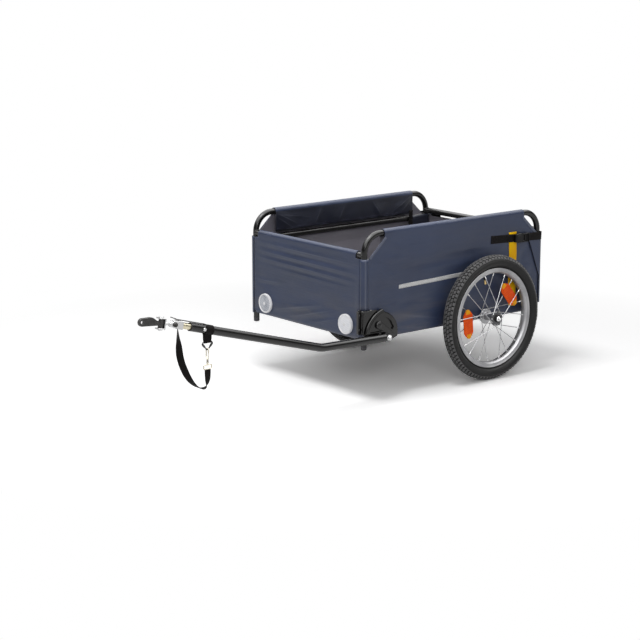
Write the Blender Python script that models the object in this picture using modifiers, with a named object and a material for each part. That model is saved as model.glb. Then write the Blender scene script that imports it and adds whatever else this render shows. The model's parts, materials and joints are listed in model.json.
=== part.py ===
# Two-wheeled bicycle cargo trailer: a tube frame with a cloth box, a side drawbar with a swivel hitch.
# X runs forwards, Y to the trailer's left and Z up. Lengths are in metres.
# Places along X are measured from the wheel axle, and the whole trailer is then moved so that
# the origin lies under the middle of its bounding box.

from math import asin, atan2, cos, hypot, pi, radians, sin, tan

import bmesh
import bpy
from mathutils import Matrix, Vector

# Clearances between pieces
GAP = 0.0003
CLOTH_FIT = 0.0006
RUNNING_FIT = 0.0003

# How far a cutter runs past the solid that it cuts
OVERSHOOT = 0.010
CUT_REACH = 0.030

# Frame
TUBE_RADIUS = 0.0095
FRONT_POST_X = 0.491
REAR_POST_X = -0.242
POST_Y = 0.265
BOX_HEIGHT = 0.3095
TOP_CROSS_DROP = 0.062
MID_RAIL_DROP = 0.082
BEND_RADIUS = 0.060
FOOT_DROP = 0.0415
FOOT_HEIGHT = 0.014
FOOT_SPIGOT_RADIUS = 0.0072
FOOT_SPIGOT_LENGTH = 0.012
FOOT_SPIGOT_CLEARANCE = 0.001
FOOT_CHAMFER = 0.003
TUBE_SIDES = 12

# Floor board
BOARD_THICKNESS = 0.006
BOARD_SIDE_LAP = 0.0035
BOARD_END_CLEARANCE = 0.0135

# Cloth
CLOTH = 0.002
HEM_CLOTH = 0.0024
WRAP_CLEARANCE = 0.0006
FLAP_HEM_DROP = 0.0645
SLEEVE_DROP = 0.072
CORNER_CUT_DROP = 0.013
FRONT_CORNER_CUT = 0.068
REAR_CORNER_CUT = 0.077
REAR_CORNER_RUN = 0.067
FRONT_FLAP = 0.018
FRONT_SLEEVE_INSET = 0.028
FRONT_PANEL_INSET = 0.0055
POST_ROOM = 0.001
TAILGATE_DROP = 0.0745
TAILGATE_SLEEVE_INSET = 0.020
TAILGATE_FOOT_ROOM = 0.0115
WING_LENGTH = 0.048
WING_EDGE = 0.0175
WING_HEIGHT = 0.1345
RAIL_HEM_TURN = radians(110)
POST_HEM_TURN = radians(15)
SLEEVE_LAP = 0.006
AXLE_OPENING_CLEARANCE = 0.0015
WRAP_STEPS = 8

# Strap and buckle across each rear corner
STRAP_FRONT_X = -0.025
STRAP_DROP = 0.070
STRAP_FALL = radians(2.34)
WEBBING_WIDTH = 0.025
WEBBING = 0.0016
WEBBING_SINK = 0.0003
WEBBING_RAMP = 0.008
WEBBING_RAMP_CLEARANCE = 0.002
SIDE_WEBBING_LENGTH = 0.113
BUCKLE_START = 0.098
SOCKET_LENGTH = 0.0325
SOCKET_HEIGHT = 0.030
SOCKET_THICKNESS = 0.0094
POCKET_HEIGHT = 0.0245
POCKET_THICKNESS = 0.0050
POCKET_DEPTH = 0.010
TONGUE_HEIGHT = 0.0180
TONGUE_THICKNESS = 0.0034
TONGUE_LENGTH = 0.0070
TONGUE_ROOT = 0.006
PLUG_LENGTH = 0.0295
PLUG_HEIGHT = 0.0285
PLUG_STEP = 0.001
LADDER_SLOT = 0.0035
LADDER_SLOTS_AT = (0.0120, 0.0205)
BUCKLE_CORNER = 0.0021
REAR_WEBBING_START = 0.012
REAR_WEBBING_LAP = 0.060

# Folded safety pennant tucked under the left strap
PENNANT_X = -0.122
PENNANT_WIDTH = 0.034
PENNANT_ABOVE_STRAP = 0.0155
PENNANT_LOW_RISE = 0.0095
PENNANT_REAR_RISE = 0.006
PENNANT_FRONT_RISE = 0.012
PENNANT_TIP_SHARE = 0.3
PENNANT_THICKNESS = 0.0015

# Reflectors on the box
BOX_REFLECTOR_RADIUS = 0.0313
BOX_REFLECTOR_THICKNESS = 0.009
BOX_REFLECTOR_INSET = 0.067
BOX_REFLECTOR_RISE = 0.030

# Wheels
WHEEL_RADIUS = 0.1995
WHEEL_CLEARANCE = 0.045
TYRE_HEIGHT = 0.0405
RIM_DEPTH = 0.0175
RIM_HALF_WIDTH = 0.0135
RIM_WALL = 0.002
RIM_WELL_DEPTH = 0.0065
RIM_SHOULDER = 0.0055
TYRE_HALF_WIDTH = 0.022
WHEEL_STEPS = 40
HUB_HALF_LENGTH = 0.027
HUB_RADIUS = 0.0115
HUB_END_RADIUS = 0.0095
FLANGE_RADIUS = 0.0225
FLANGE_OFFSET = 0.017
FLANGE_THICKNESS = 0.003
SPOKES_PER_FLANGE = 10
SPOKE_RADIUS = 0.0012
SPOKE_HOLE_RADIUS = 0.0195
SPOKE_CROSS = radians(72)
SPOKE_PHASE = radians(-4)
SPOKE_RIM_OFFSET = 0.003
SPOKE_HEAD_OFFSET = 0.0019
AXLE_RADIUS = 0.006
AXLE_REACH = 0.0290
RECEIVER_RADIUS = 0.009
RECEIVER_CLEARANCE = 0.0008
PIN_END_CLEARANCE = 0.001
AXLE_CAP_RADIUS = 0.0115
AXLE_CAP_LENGTH = 0.0110
AXLE_BUTTON_RADIUS = 0.0045
AXLE_BUTTON_LENGTH = 0.0035
WHEEL_REFLECTOR_LENGTH = 0.094
WHEEL_REFLECTOR_WIDTH = 0.038
WHEEL_REFLECTOR_THICKNESS = 0.0064
WHEEL_REFLECTOR_INSET = 0.059
WHEEL_REFLECTOR_ANGLES = (radians(-5), radians(140))

# Drawbar bracket on the left front post
PLATE_CLEARANCE = 0.0004
CLAMP_ABOVE_RAIL = 0.0010
CLAMP_HEIGHT = 0.0700
CLAMP_FLANGE_INSET = 0.0003
CLAMP_RADIUS = 0.0155
CLAMP_FRONT = 0.025
CLAMP_REAR = 0.021
CLAMP_FLANGE = 0.004
CLAMP_WINDOW = 0.0016
BRACKET_PLATE = 0.003
BRACKET_RIM = 0.005
HOUSING_TOP_SHARE = 0.42
HOUSING_SHOULDER_BACK = 0.022
HOUSING_SHOULDER_RISE = 0.046
HOUSING_BACK = 0.030
HOUSING_FOOT_BACK = 0.018
HOUSING_FOOT_FRONT = 0.030
HOUSING_RIM_INSET = 0.0004
PIVOT_BEHIND_POST = 0.0770
PIVOT_DROP = 0.0085
PIVOT_RADIUS = 0.0040
PIVOT_NUT_RADIUS = 0.0105
PIVOT_NUT_LENGTH = 0.0115
SECTOR_RADIUS = 0.0940
SECTOR_BACK_RADIUS = 0.0370
SECTOR_DEPTH = 0.0112
SECTOR_WALL = 0.0025
SECTOR_SHOULDER = 0.004
SECTOR_GROOVE = 0.003
SECTOR_TOP = radians(76)
SECTOR_SPIRAL_START = 0.92
SECTOR_SPIRAL_POWER = 1.6
SECTOR_ABOVE_DRAWBAR = 0.0020
SECTOR_LUG_MARGIN = 0.0015
SECTOR_LUG_DROP = 0.4
PIVOT_BOSS_RADIUS = 0.0085
SLOT_ABOVE_DRAWBAR = 0.0070
SLOT_HEIGHT = 0.0060
SLOT_REAR = 0.0260
SLOT_SLANT = 0.0120
SLOT_FRONT = 0.0740

# Lock lever on the sector
LEVER_AHEAD = 0.0406
LEVER_RISE = 0.0440
LEVER_HUB_RADIUS = 0.0120
LEVER_TIP_RADIUS = 0.0045
LEVER_LENGTH = 0.058
LEVER_THICKNESS = 0.006
LEVER_ANGLE = radians(211)
LEVER_PIN_RADIUS = 0.0045
RIVET_HEAD_RADIUS = 0.0070
RIVET_HEAD = 0.0015
RIVET_HEAD_CHAMFER = 0.001
SWING_INNER_RADIUS = 0.0185
SWING_OUTER_RADIUS = 0.0425
SWING_START = radians(160)
SWING_END = radians(196)

# Drawbar
DRAWBAR_RADIUS = 0.0125
DRAWBAR_CLEARANCE = 0.0007
DRAWBAR_START = 0.0135
DRAWBAR_ABOVE_PIVOT = 0.0035
DRAWBAR_LEVEL_LENGTH = 0.2555
DRAWBAR_LEVEL_RISE = 0.0055
DRAWBAR_BEND_RADIUS = 0.110
DRAWBAR_RISE = radians(15.5)
DRAWBAR_FRONT_LENGTH = 0.488
DRAWBAR_SIDES = 16

# Hitch
SWIVEL_RADIUS = 0.0090
SWIVEL_BORE_RADIUS = 0.0055
SWIVEL_INSERT = 0.058
SWIVEL_SHOWN = 0.028
SWIVEL_END_CLEARANCE = 0.002
SWIVEL_BORE_END = 0.020
SWIVEL_BOLT_AT = 0.0440
SWIVEL_BOLT_RADIUS = 0.0030
SWIVEL_BOLT_HEAD_RADIUS = 0.0048
SWIVEL_BOLT_HEAD = 0.0040
ROLL_LIMIT = radians(45)
HITCH_CORNER = 0.0015
FORK_BLOCK_LENGTH = 0.018
FORK_HALF_WIDTH = 0.012
FORK_TOP = 0.0127
FORK_BOTTOM = 0.0110
FORK_CHEEK = 0.004
FORK_REACH = 0.0568
FORK_CHEEK_RADIUS = 0.0100
NUT_CHAMFER = 0.0012
PITCH_BOLT_RADIUS = 0.004
PITCH_NUT_RADIUS = 0.0070
PITCH_NUT_LENGTH = 0.0060
LINK_RISE = radians(10.5)
LINK_EYE_RADIUS = 0.0085
LINK_ROD_RADIUS = 0.0042
CLEVIS_START = 0.0285
CLEVIS_LENGTH = 0.0235
CLEVIS_HALF_HEIGHT = 0.0168
CLEVIS_HALF_WIDTH = 0.0095
CLEVIS_PLATE = 0.0040
YAW_AT = 0.0402
YAW_BOLT_RADIUS = 0.0035
YAW_NUT_RADIUS = 0.0062
YAW_NUT_LENGTH = 0.0045
EYE_AT = 0.0635
EYE_RADIUS = 0.0115
EYE_HOLE_RADIUS = 0.0051
EYE_THICKNESS = 0.009
EYE_NECK_HALF = 0.0065
EYE_NECK_AT = 0.0135
EYE_HUMP_AT = 0.0370
EYE_HUMP = 0.0155
EYE_HUMP_HALF = 0.010
EYE_HUMP_FALL = 0.0018
EYE_ROOT = 0.003
EYE_BARREL_RADIUS = 0.0074
SHIELD_WIDTH = 0.011
SHIELD_THICKNESS = 0.0020
SHIELD_BACK = 0.0485
SHIELD_FRONT = 0.0665
SHIELD_TIP_LIFT = 0.0022

# Safety strap, its ring and hook
LOOP_AT = 0.0645
LOOP_WIDTH = 0.027
LOOP_CLOTH = 0.0018
RING_HANG = 0.0342
RING_LEAD = 0.0019
RING_HALF_WIDTH = 0.0215
RING_DROP = 0.0250
RING_WIRE = 0.0019
RING_CORNER = 0.0045
HOOK_WIRE = 0.0019
HOOK_BEND_RADIUS = 0.0055
HOOK_TIP_LENGTH = 0.005
HOOK_NECK_DROP = 0.0500
HOOK_NECK_RADIUS = 0.0030
HOOK_NECK_LENGTH = 0.0160
HOOK_LOOP_HEIGHT = 0.0115
HOOK_LOOP_HALF_WIDTH = 0.0135
HOOK_LOOP_CORNER = 0.003
HOOK_GATE_RADIUS = 0.0012
STRAP_WIDTH = 0.020
STRAP_THICKNESS = 0.0018

# The safety strap's hanging run, chosen by hand: X and Z from the ring's bar, and the turn
# of its width from X in degrees
STRAP_TOP_TURN = 58
STRAP_RUN = (
    (0.0982, 0.0290, 74),
    (0.0965, 0.0110, 96),
    (0.0955, -0.0090, 122),
    (0.0930, -0.0290, 139),
    (0.0870, -0.0500, 143),
    (0.0785, -0.0700, 140),
    (0.0680, -0.0900, 128),
    (0.0540, -0.1090, 112),
    (0.0380, -0.1230, 96),
    (0.0220, -0.1305, 84),
    (0.0100, -0.1290, 62),
    (0.0030, -0.1200, 34),
    (0.0005, -0.1070, 12),
    (0.0000, -0.0930, 3),
)

# Places that follow from the sizes above
AXLE_Z = WHEEL_RADIUS
RIM_RADIUS = WHEEL_RADIUS - TYRE_HEIGHT
WHEEL_REFLECTOR_AT = RIM_RADIUS - WHEEL_REFLECTOR_INSET
LOWER_RAIL_Z = AXLE_Z
TOP_RAIL_Z = LOWER_RAIL_Z + BOX_HEIGHT
FOOT_Z = LOWER_RAIL_Z - FOOT_DROP
TOP_CROSS_Z = TOP_RAIL_Z - TOP_CROSS_DROP
MID_RAIL_Z = TOP_RAIL_Z - MID_RAIL_DROP
WRAP_RADIUS = TUBE_RADIUS + CLOTH_FIT + CLOTH / 2
PANEL_Y = POST_Y + WRAP_RADIUS
PANEL_FACE_Y = PANEL_Y + CLOTH / 2
FLAP_HEM_Z = TOP_RAIL_Z - FLAP_HEM_DROP
SLEEVE_TOP_Z = TOP_RAIL_Z - SLEEVE_DROP
CORNER_CUT_Z = TOP_RAIL_Z - CORNER_CUT_DROP
RAIL_SLEEVE_FRONT_X = FRONT_POST_X - FRONT_CORNER_CUT
RAIL_SLEEVE_REAR_X = REAR_POST_X + REAR_CORNER_CUT
TAILGATE_TOP_Z = TOP_RAIL_Z - TAILGATE_DROP
TAILGATE_CORNER_RADIUS = WRAP_RADIUS + CLOTH + WRAP_CLEARANCE
TAILGATE_Y = POST_Y + TAILGATE_CORNER_RADIUS
TAILGATE_X = REAR_POST_X - TAILGATE_CORNER_RADIUS
WING_TOP_X = REAR_POST_X + WING_LENGTH
WING_LOW_Z = TAILGATE_TOP_Z - WING_HEIGHT
STRAP_FRONT_Z = TOP_RAIL_Z - STRAP_DROP
PENNANT_TOP_Z = STRAP_FRONT_Z + PENNANT_ABOVE_STRAP
PENNANT_LOW_Z = LOWER_RAIL_Z + PENNANT_LOW_RISE
BOX_REFLECTOR_Y = POST_Y - BOX_REFLECTOR_INSET
BOX_REFLECTOR_Z = LOWER_RAIL_Z + BOX_REFLECTOR_RISE
WHEEL_Y = POST_Y + WHEEL_CLEARANCE
PLATE_Y = PANEL_FACE_Y + PLATE_CLEARANCE
CLAMP_LOW_Z = LOWER_RAIL_Z + TUBE_RADIUS + CLAMP_ABOVE_RAIL
CLAMP_TOP_Z = CLAMP_LOW_Z + CLAMP_HEIGHT
PIVOT_X = FRONT_POST_X - PIVOT_BEHIND_POST
PIVOT_Z = LOWER_RAIL_Z - PIVOT_DROP
LEVER_X = PIVOT_X + LEVER_AHEAD
LEVER_Z = PIVOT_Z + LEVER_RISE
RIM_FACE_Y = PLATE_Y + BRACKET_PLATE + BRACKET_RIM
SECTOR_BACK_Y = PLATE_Y + BRACKET_PLATE + GAP
SECTOR_FACE_Y = SECTOR_BACK_Y + SECTOR_DEPTH
LEVER_FACE_Y = SECTOR_FACE_Y + GAP + LEVER_THICKNESS
DRAWBAR_Y = RIM_FACE_Y + DRAWBAR_CLEARANCE + DRAWBAR_RADIUS
DRAWBAR_REAR_X = PIVOT_X + DRAWBAR_START
DRAWBAR_REAR_Z = PIVOT_Z + DRAWBAR_ABOVE_PIVOT
DRAWBAR_BEND_X = DRAWBAR_REAR_X + DRAWBAR_LEVEL_LENGTH
DRAWBAR_BEND_Z = DRAWBAR_REAR_Z + DRAWBAR_LEVEL_RISE
DRAWBAR_END_X = DRAWBAR_BEND_X + DRAWBAR_FRONT_LENGTH * cos(DRAWBAR_RISE)
DRAWBAR_END_Z = DRAWBAR_BEND_Z + DRAWBAR_FRONT_LENGTH * sin(DRAWBAR_RISE)
PITCH_X = DRAWBAR_END_X + FORK_REACH * cos(DRAWBAR_RISE)
PITCH_Z = DRAWBAR_END_Z + FORK_REACH * sin(DRAWBAR_RISE)
YAW_X = PITCH_X + YAW_AT * cos(LINK_RISE)
YAW_Z = PITCH_Z + YAW_AT * sin(LINK_RISE)
FRONT_END_X = YAW_X + EYE_AT * cos(LINK_RISE) + EYE_RADIUS
REAR_END_X = TAILGATE_X - CLOTH / 2 - GAP - BOX_REFLECTOR_THICKNESS
AXLE_X = -(FRONT_END_X + REAR_END_X) / 2
RING_X = DRAWBAR_END_X - LOOP_AT * cos(DRAWBAR_RISE) + RING_LEAD
RING_BAR_Z = DRAWBAR_END_Z - LOOP_AT * sin(DRAWBAR_RISE) - RING_HANG
RING_SLANT = hypot(RING_HALF_WIDTH, RING_DROP)
RING_POINT_Z = RING_BAR_Z - RING_DROP + RING_CORNER * (RING_SLANT / RING_HALF_WIDTH - 1)
HOOK_ARCH_Z = RING_POINT_Z + RING_WIRE + GAP + HOOK_WIRE - HOOK_BEND_RADIUS
HOOK_TIP_Z = HOOK_ARCH_Z - HOOK_TIP_LENGTH
HOOK_NECK_TOP_Z = RING_BAR_Z - HOOK_NECK_DROP
HOOK_LOOP_TOP_Z = HOOK_NECK_TOP_Z - HOOK_NECK_LENGTH
HOOK_GATE_PIVOT_Y = DRAWBAR_Y + HOOK_NECK_RADIUS + GAP
HOOK_GATE_PIVOT_Z = HOOK_NECK_TOP_Z + HOOK_GATE_RADIUS * 0.6
STRAP_TOP_AT = SWIVEL_SHOWN + FORK_BLOCK_LENGTH / 2
STRAP_TOP_X = DRAWBAR_END_X + STRAP_TOP_AT * cos(DRAWBAR_RISE) + FORK_BOTTOM * sin(DRAWBAR_RISE)
STRAP_TOP_Z = DRAWBAR_END_Z + STRAP_TOP_AT * sin(DRAWBAR_RISE) - FORK_BOTTOM * cos(DRAWBAR_RISE)
STRAP_TOP_DROP = GAP + STRAP_WIDTH / 2 * tan(DRAWBAR_RISE) * cos(radians(STRAP_TOP_TURN))
STRAP_HOOK_Z = HOOK_LOOP_TOP_Z - HOOK_LOOP_HEIGHT - HOOK_WIRE - GAP

SURFACES = {
    "black_paint": ((0.018, 0.018, 0.020), 0.32, 0.0),
    "navy_cloth": ((0.030, 0.036, 0.070), 0.70, 0.0),
    "board": ((0.030, 0.030, 0.032), 0.65, 0.0),
    "black_plastic": ((0.014, 0.014, 0.015), 0.45, 0.0),
    "grey_plastic": ((0.120, 0.115, 0.130), 0.50, 0.0),
    "white_lens": ((0.820, 0.830, 0.850), 0.15, 0.0),
    "red_lens": ((0.450, 0.010, 0.010), 0.15, 0.0),
    "orange_lens": ((0.850, 0.095, 0.010), 0.20, 0.0),
    "yellow_cloth": ((0.900, 0.520, 0.010), 0.70, 0.0),
    "black_webbing": ((0.012, 0.010, 0.010), 0.85, 0.0),
    "rubber": ((0.020, 0.020, 0.021), 0.75, 0.0),
    "rim_metal": ((0.560, 0.560, 0.570), 0.30, 1.0),
    "chrome": ((0.720, 0.720, 0.730), 0.12, 1.0),
    "zinc": ((0.600, 0.580, 0.480), 0.35, 1.0),
    "black_cast": ((0.030, 0.030, 0.033), 0.50, 0.0),
}


# Scene helpers


def clear_scene():
    for obj in list(bpy.data.objects):
        bpy.data.objects.remove(obj)


def collection(name):
    made = bpy.data.collections.new(name)
    bpy.context.scene.collection.children.link(made)
    return made


def surface(name):
    """The named material, made on first use."""
    found = bpy.data.materials.get(name)
    if found:
        return found
    colour, roughness, metallic = SURFACES[name]
    made = bpy.data.materials.new(name)
    made.use_nodes = True
    shader = made.node_tree.nodes["Principled BSDF"]
    shader.inputs["Base Color"].default_value = (*colour, 1)
    shader.inputs["Roughness"].default_value = roughness
    shader.inputs["Metallic"].default_value = metallic
    return made


def empty(name, place, parent=None, turn=(0, 0, 0)):
    """A joint axis or a local frame, placed in its parent's own coordinates."""
    made = bpy.data.objects.new(name, None)
    TRAILER.objects.link(made)
    made.parent = parent
    made.location = place
    made.rotation_euler = turn
    made.empty_display_size = 0.02
    bpy.context.view_layer.update()
    return made


def solid(name, mesh, frame):
    """An object whose mesh is written in the coordinates of its frame."""
    made = bpy.data.objects.new(name, mesh)
    TRAILER.objects.link(made)
    made.parent = frame
    return made


def part(obj, material, joint=None):
    """Finishes a sub-part: its material, smooth round faces, and the joint that it moves with."""
    obj.data.materials.clear()
    obj.data.materials.append(surface(material))
    obj.data.shade_smooth()
    obj.data.set_sharp_from_angle(angle=radians(35))
    if joint:
        bpy.context.view_layer.update()
        place = obj.matrix_world.copy()
        obj.parent = joint
        obj.matrix_parent_inverse = joint.matrix_world.inverted() @ place
        obj.matrix_basis = Matrix.Identity(4)
    return obj


def combine(obj, tool, operation):
    """Cuts the tool from the object, or joins it on. The tool stays as a hidden helper."""
    modifier = obj.modifiers.new(operation.title(), "BOOLEAN")
    modifier.operation = operation
    modifier.object = tool
    tool.hide_render = True
    tool.display_type = "WIRE"
    TRAILER.objects.unlink(tool)
    HELPERS.objects.link(tool)
    return obj


def cut(obj, *tools):
    for tool in tools:
        combine(obj, tool, "DIFFERENCE")
    return obj


def join(obj, *tools):
    for tool in tools:
        combine(obj, tool, "UNION")
    return obj


# Shape helpers


def mesh_of(bm, name):
    bmesh.ops.recalc_face_normals(bm, faces=bm.faces)
    mesh = bpy.data.meshes.new(name)
    bm.to_mesh(mesh)
    bm.free()
    return mesh


def mesh_of_curve(curve):
    """The curve's solid as a mesh with its caps welded on."""
    holder = bpy.data.objects.new(curve.name, curve)
    TRAILER.objects.link(holder)
    bpy.context.view_layer.update()
    mesh = bpy.data.meshes.new_from_object(holder.evaluated_get(bpy.context.evaluated_depsgraph_get()))
    bpy.data.objects.remove(holder)
    bm = bmesh.new()
    bm.from_mesh(mesh)
    bmesh.ops.remove_doubles(bm, verts=bm.verts, dist=1e-6)
    return mesh_of(bm, curve.name)


def tube(name, points, radius, frame, sides=TUBE_SIDES, closed=False):
    """A round bar or wire along the points."""
    curve = bpy.data.curves.new(name, "CURVE")
    curve.dimensions = "3D"
    curve.bevel_depth = radius
    curve.bevel_resolution = (sides - 4) // 2
    curve.use_fill_caps = True
    spline = curve.splines.new("POLY")
    spline.points.add(len(points) - 1)
    for point, place in zip(spline.points, points):
        point.co = (*place, 1)
    spline.use_cyclic_u = closed
    return solid(name, mesh_of_curve(curve), frame)


def plate(name, outline, low, high, frame, holes=(), axis="Y"):
    """A flat outline with holes, given its thickness between two places on the axis."""
    curve = bpy.data.curves.new(name, "CURVE")
    curve.dimensions = "2D"
    curve.fill_mode = "BOTH"
    curve.extrude = abs(high - low) / 2
    for loop in (outline, *holes):
        spline = curve.splines.new("POLY")
        spline.points.add(len(loop) - 1)
        for point, (across, up) in zip(spline.points, loop):
            point.co = (across, up, 0, 1)
        spline.use_cyclic_u = True
    mesh = mesh_of_curve(curve)
    middle = (low + high) / 2
    if axis == "Y":
        mesh.transform(Matrix.Translation((0, middle, 0)) @ Matrix.Rotation(pi / 2, 4, "X"))
    else:
        mesh.transform(Matrix.Translation((0, 0, middle)))
    return solid(name, mesh, frame)


def box(name, low, high, frame, corner=0):
    """A box between two corners, its edges rounded where a corner radius is given."""
    low, high = Vector(low), Vector(high)
    bm = bmesh.new()
    bmesh.ops.create_cube(bm, size=1)
    bmesh.ops.scale(bm, vec=high - low, verts=bm.verts)
    bmesh.ops.translate(bm, vec=(low + high) / 2, verts=bm.verts)
    made = solid(name, mesh_of(bm, name), frame)
    if corner:
        bevel = made.modifiers.new("Rounded", "BEVEL")
        bevel.width = corner
        bevel.segments = 2
    return made


def rod(name, start, end, radius, frame, sides=16, end_radius=None):
    """A cylinder or cone between two points."""
    start, end = Vector(start), Vector(end)
    bm = bmesh.new()
    add_rod(bm, start, end, radius, sides, end_radius)
    return solid(name, mesh_of(bm, name), frame)


def add_rod(bm, start, end, radius, sides, end_radius=None):
    along = end - start
    turn = along.to_track_quat("Z", "Y").to_matrix().to_4x4()
    bmesh.ops.create_cone(
        bm,
        cap_ends=True,
        segments=sides,
        radius1=radius,
        radius2=radius if end_radius is None else end_radius,
        depth=along.length,
        matrix=Matrix.Translation((start + end) / 2) @ turn,
    )


def around(radius, sides):
    """Radius of a many-sided cutter whose flat sides still clear this radius."""
    return radius / cos(pi / sides)


def bore(name, start, end, radius, frame, sides=24):
    return rod(name, start, end, around(radius, sides), frame, sides)


def turned(name, profile, steps, frame, place=(0, 0, 0), turn=(0, 0, 0), closed=False):
    """A profile of (radius, height) points, run down its outer side and turned about Z."""
    bm = bmesh.new()
    points = [bm.verts.new((radius, 0, height)) for radius, height in profile]
    for pair in zip(points, points[1:]):
        bm.edges.new(pair)
    if closed:
        bm.edges.new((points[-1], points[0]))
    mesh = bpy.data.meshes.new(name)
    bm.to_mesh(mesh)
    bm.free()
    made = solid(name, mesh, frame)
    made.location = place
    made.rotation_euler = turn
    screw = made.modifiers.new("Turned", "SCREW")
    screw.steps = screw.render_steps = steps
    screw.use_merge_vertices = True
    screw.merge_threshold = 0.00001
    return made


def sheet(name, path, low, high, thickness, frame, axis):
    """A strip of cloth or plate: a flat path swept along X, Y or Z, then given its thickness."""
    slot = "XYZ".index(axis)
    bm = bmesh.new()
    first = [bm.verts.new((*point[:slot], low, *point[slot:])) for point in path]
    last = [bm.verts.new((*point[:slot], high, *point[slot:])) for point in path]
    for i in range(len(path) - 1):
        bm.faces.new((first[i], first[i + 1], last[i + 1], last[i]))
    made = solid(name, mesh_of(bm, name), frame)
    wall = made.modifiers.new("Thickness", "SOLIDIFY")
    wall.thickness = thickness
    wall.offset = 0
    wall.use_even_offset = True
    return made


def arc(centre, radius, start, end, steps):
    """Points of a flat arc, with its angles in radians."""
    return [
        (centre[0] + radius * cos(angle), centre[1] + radius * sin(angle))
        for angle in (start + (end - start) * i / steps for i in range(steps + 1))
    ]


def rounded(points, radius, steps=6):
    """The path with each inner corner turned into an arc of the radius."""
    path = [Vector(points[0])]
    for before, corner, after in zip(points, points[1:], points[2:]):
        corner = Vector(corner)
        back = (Vector(before) - corner).normalized()
        ahead = (Vector(after) - corner).normalized()
        half = back.angle(ahead) / 2
        centre = corner + (back + ahead).normalized() * radius / sin(half)
        start = corner + back * radius / tan(half) - centre
        end = corner + ahead * radius / tan(half) - centre
        axis = start.cross(end)
        sweep = start.angle(end)
        path += [centre + Matrix.Rotation(sweep * i / steps, 3, axis) @ start for i in range(steps + 1)]
    path.append(Vector(points[-1]))
    return path


def tapered_outline(length, root_radius, tip_radius, angle, steps=8):
    """Two circles joined by their common tangents, the first at the origin."""
    lean = atan2(root_radius - tip_radius, length)
    tip = (length * cos(angle), length * sin(angle))
    quarter = pi / 2
    return arc((0, 0), root_radius, angle + quarter - lean, angle + 3 * quarter + lean, steps) + arc(
        tip, tip_radius, angle - quarter + lean, angle + quarter - lean, steps
    )


def moved(outline, x, z):
    return [(x + across, z + up) for across, up in outline]


# Frame


def post_cope(name, x, y, frame):
    """The cutter that shapes a tube's end to fit against an upright post."""
    return bore(name, (x, y, 0), (x, y, TOP_RAIL_Z), TUBE_RADIUS + GAP, frame)


def hoop(side, frame):
    """One side's bent tube: front post, top rail and rear post."""
    name = f"{SIDE_NAMES[side]}_hoop"
    y = side * POST_Y
    foot = FOOT_Z + FOOT_HEIGHT + GAP
    corners = [
        (FRONT_POST_X, y, foot),
        (FRONT_POST_X, y, TOP_RAIL_Z),
        (REAR_POST_X, y, TOP_RAIL_Z),
        (REAR_POST_X, y, foot),
    ]
    made = tube(name, rounded(corners, BEND_RADIUS, 8), TUBE_RADIUS, frame)
    for x in (FRONT_POST_X, REAR_POST_X):
        socket_top = foot + FOOT_SPIGOT_LENGTH
        ends = (x, y, foot - OVERSHOOT), (x, y, socket_top)
        cut(made, bore(name + "_socket", *ends, FOOT_SPIGOT_RADIUS + GAP, frame))
    part(made, "black_paint")


def side_rail(side, z, kind, frame):
    """A tube along the box's side between the two posts."""
    name = f"{SIDE_NAMES[side]}_{kind}"
    y = side * POST_Y
    made = tube(name, [(REAR_POST_X, y, z), (FRONT_POST_X, y, z)], TUBE_RADIUS, frame)
    cut(made, *(post_cope(name + "_cope", x, y, frame) for x in (REAR_POST_X, FRONT_POST_X)))
    return made


def lower_rail(side, frame):
    """The lower side tube with the axle's receiver welded through it."""
    made = side_rail(side, LOWER_RAIL_Z, "lower_rail", frame)
    outer = WHEEL_Y - HUB_HALF_LENGTH - RECEIVER_CLEARANCE
    boss = rod("receiver", (0, side * POST_Y, AXLE_Z), (0, side * outer, AXLE_Z), RECEIVER_RADIUS, frame)
    inner = POST_Y - TUBE_RADIUS - OVERSHOOT
    ends = (0, side * inner, AXLE_Z), (0, side * (outer + OVERSHOOT), AXLE_Z)
    hole = bore("axle_hole", *ends, AXLE_RADIUS + RUNNING_FIT, frame)
    part(cut(join(made, boss), hole), "black_paint")


def top_cross_tube(x, name, frame):
    made = tube(name, [(x, -POST_Y, TOP_CROSS_Z), (x, POST_Y, TOP_CROSS_Z)], TUBE_RADIUS, frame)
    part(cut(made, *(post_cope(name + "_cope", x, side * POST_Y, frame) for side in (1, -1))), "black_paint")


def lower_cross_tube(x, name, frame):
    made = tube(name, [(x, -POST_Y, LOWER_RAIL_Z), (x, POST_Y, LOWER_RAIL_Z)], TUBE_RADIUS, frame)
    for side in (1, -1):
        y = side * POST_Y
        ends = (x - CUT_REACH, y, LOWER_RAIL_Z), (x + CUT_REACH, y, LOWER_RAIL_Z)
        cut(made, post_cope(name + "_cope", x, y, frame), bore("rail_cope", *ends, TUBE_RADIUS + GAP, frame))
    part(made, "black_paint")


def axle_cross_tube(frame):
    """The tube between the lower rails that takes the inner end of each wheel's axle pin."""
    made = tube("axle_cross_tube", [(0, -POST_Y, AXLE_Z), (0, POST_Y, AXLE_Z)], TUBE_RADIUS, frame)
    for side in (1, -1):
        y = side * POST_Y
        rail = bore("rail_cope", (-CUT_REACH, y, AXLE_Z), (CUT_REACH, y, AXLE_Z), TUBE_RADIUS + GAP, frame)
        depth = side * (POST_Y - AXLE_REACH - PIN_END_CLEARANCE)
        pin = bore("pin_hole", (0, depth, AXLE_Z), (0, y, AXLE_Z), AXLE_RADIUS + RUNNING_FIT, frame)
        cut(made, rail, pin)
    part(made, "black_paint")


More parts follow.
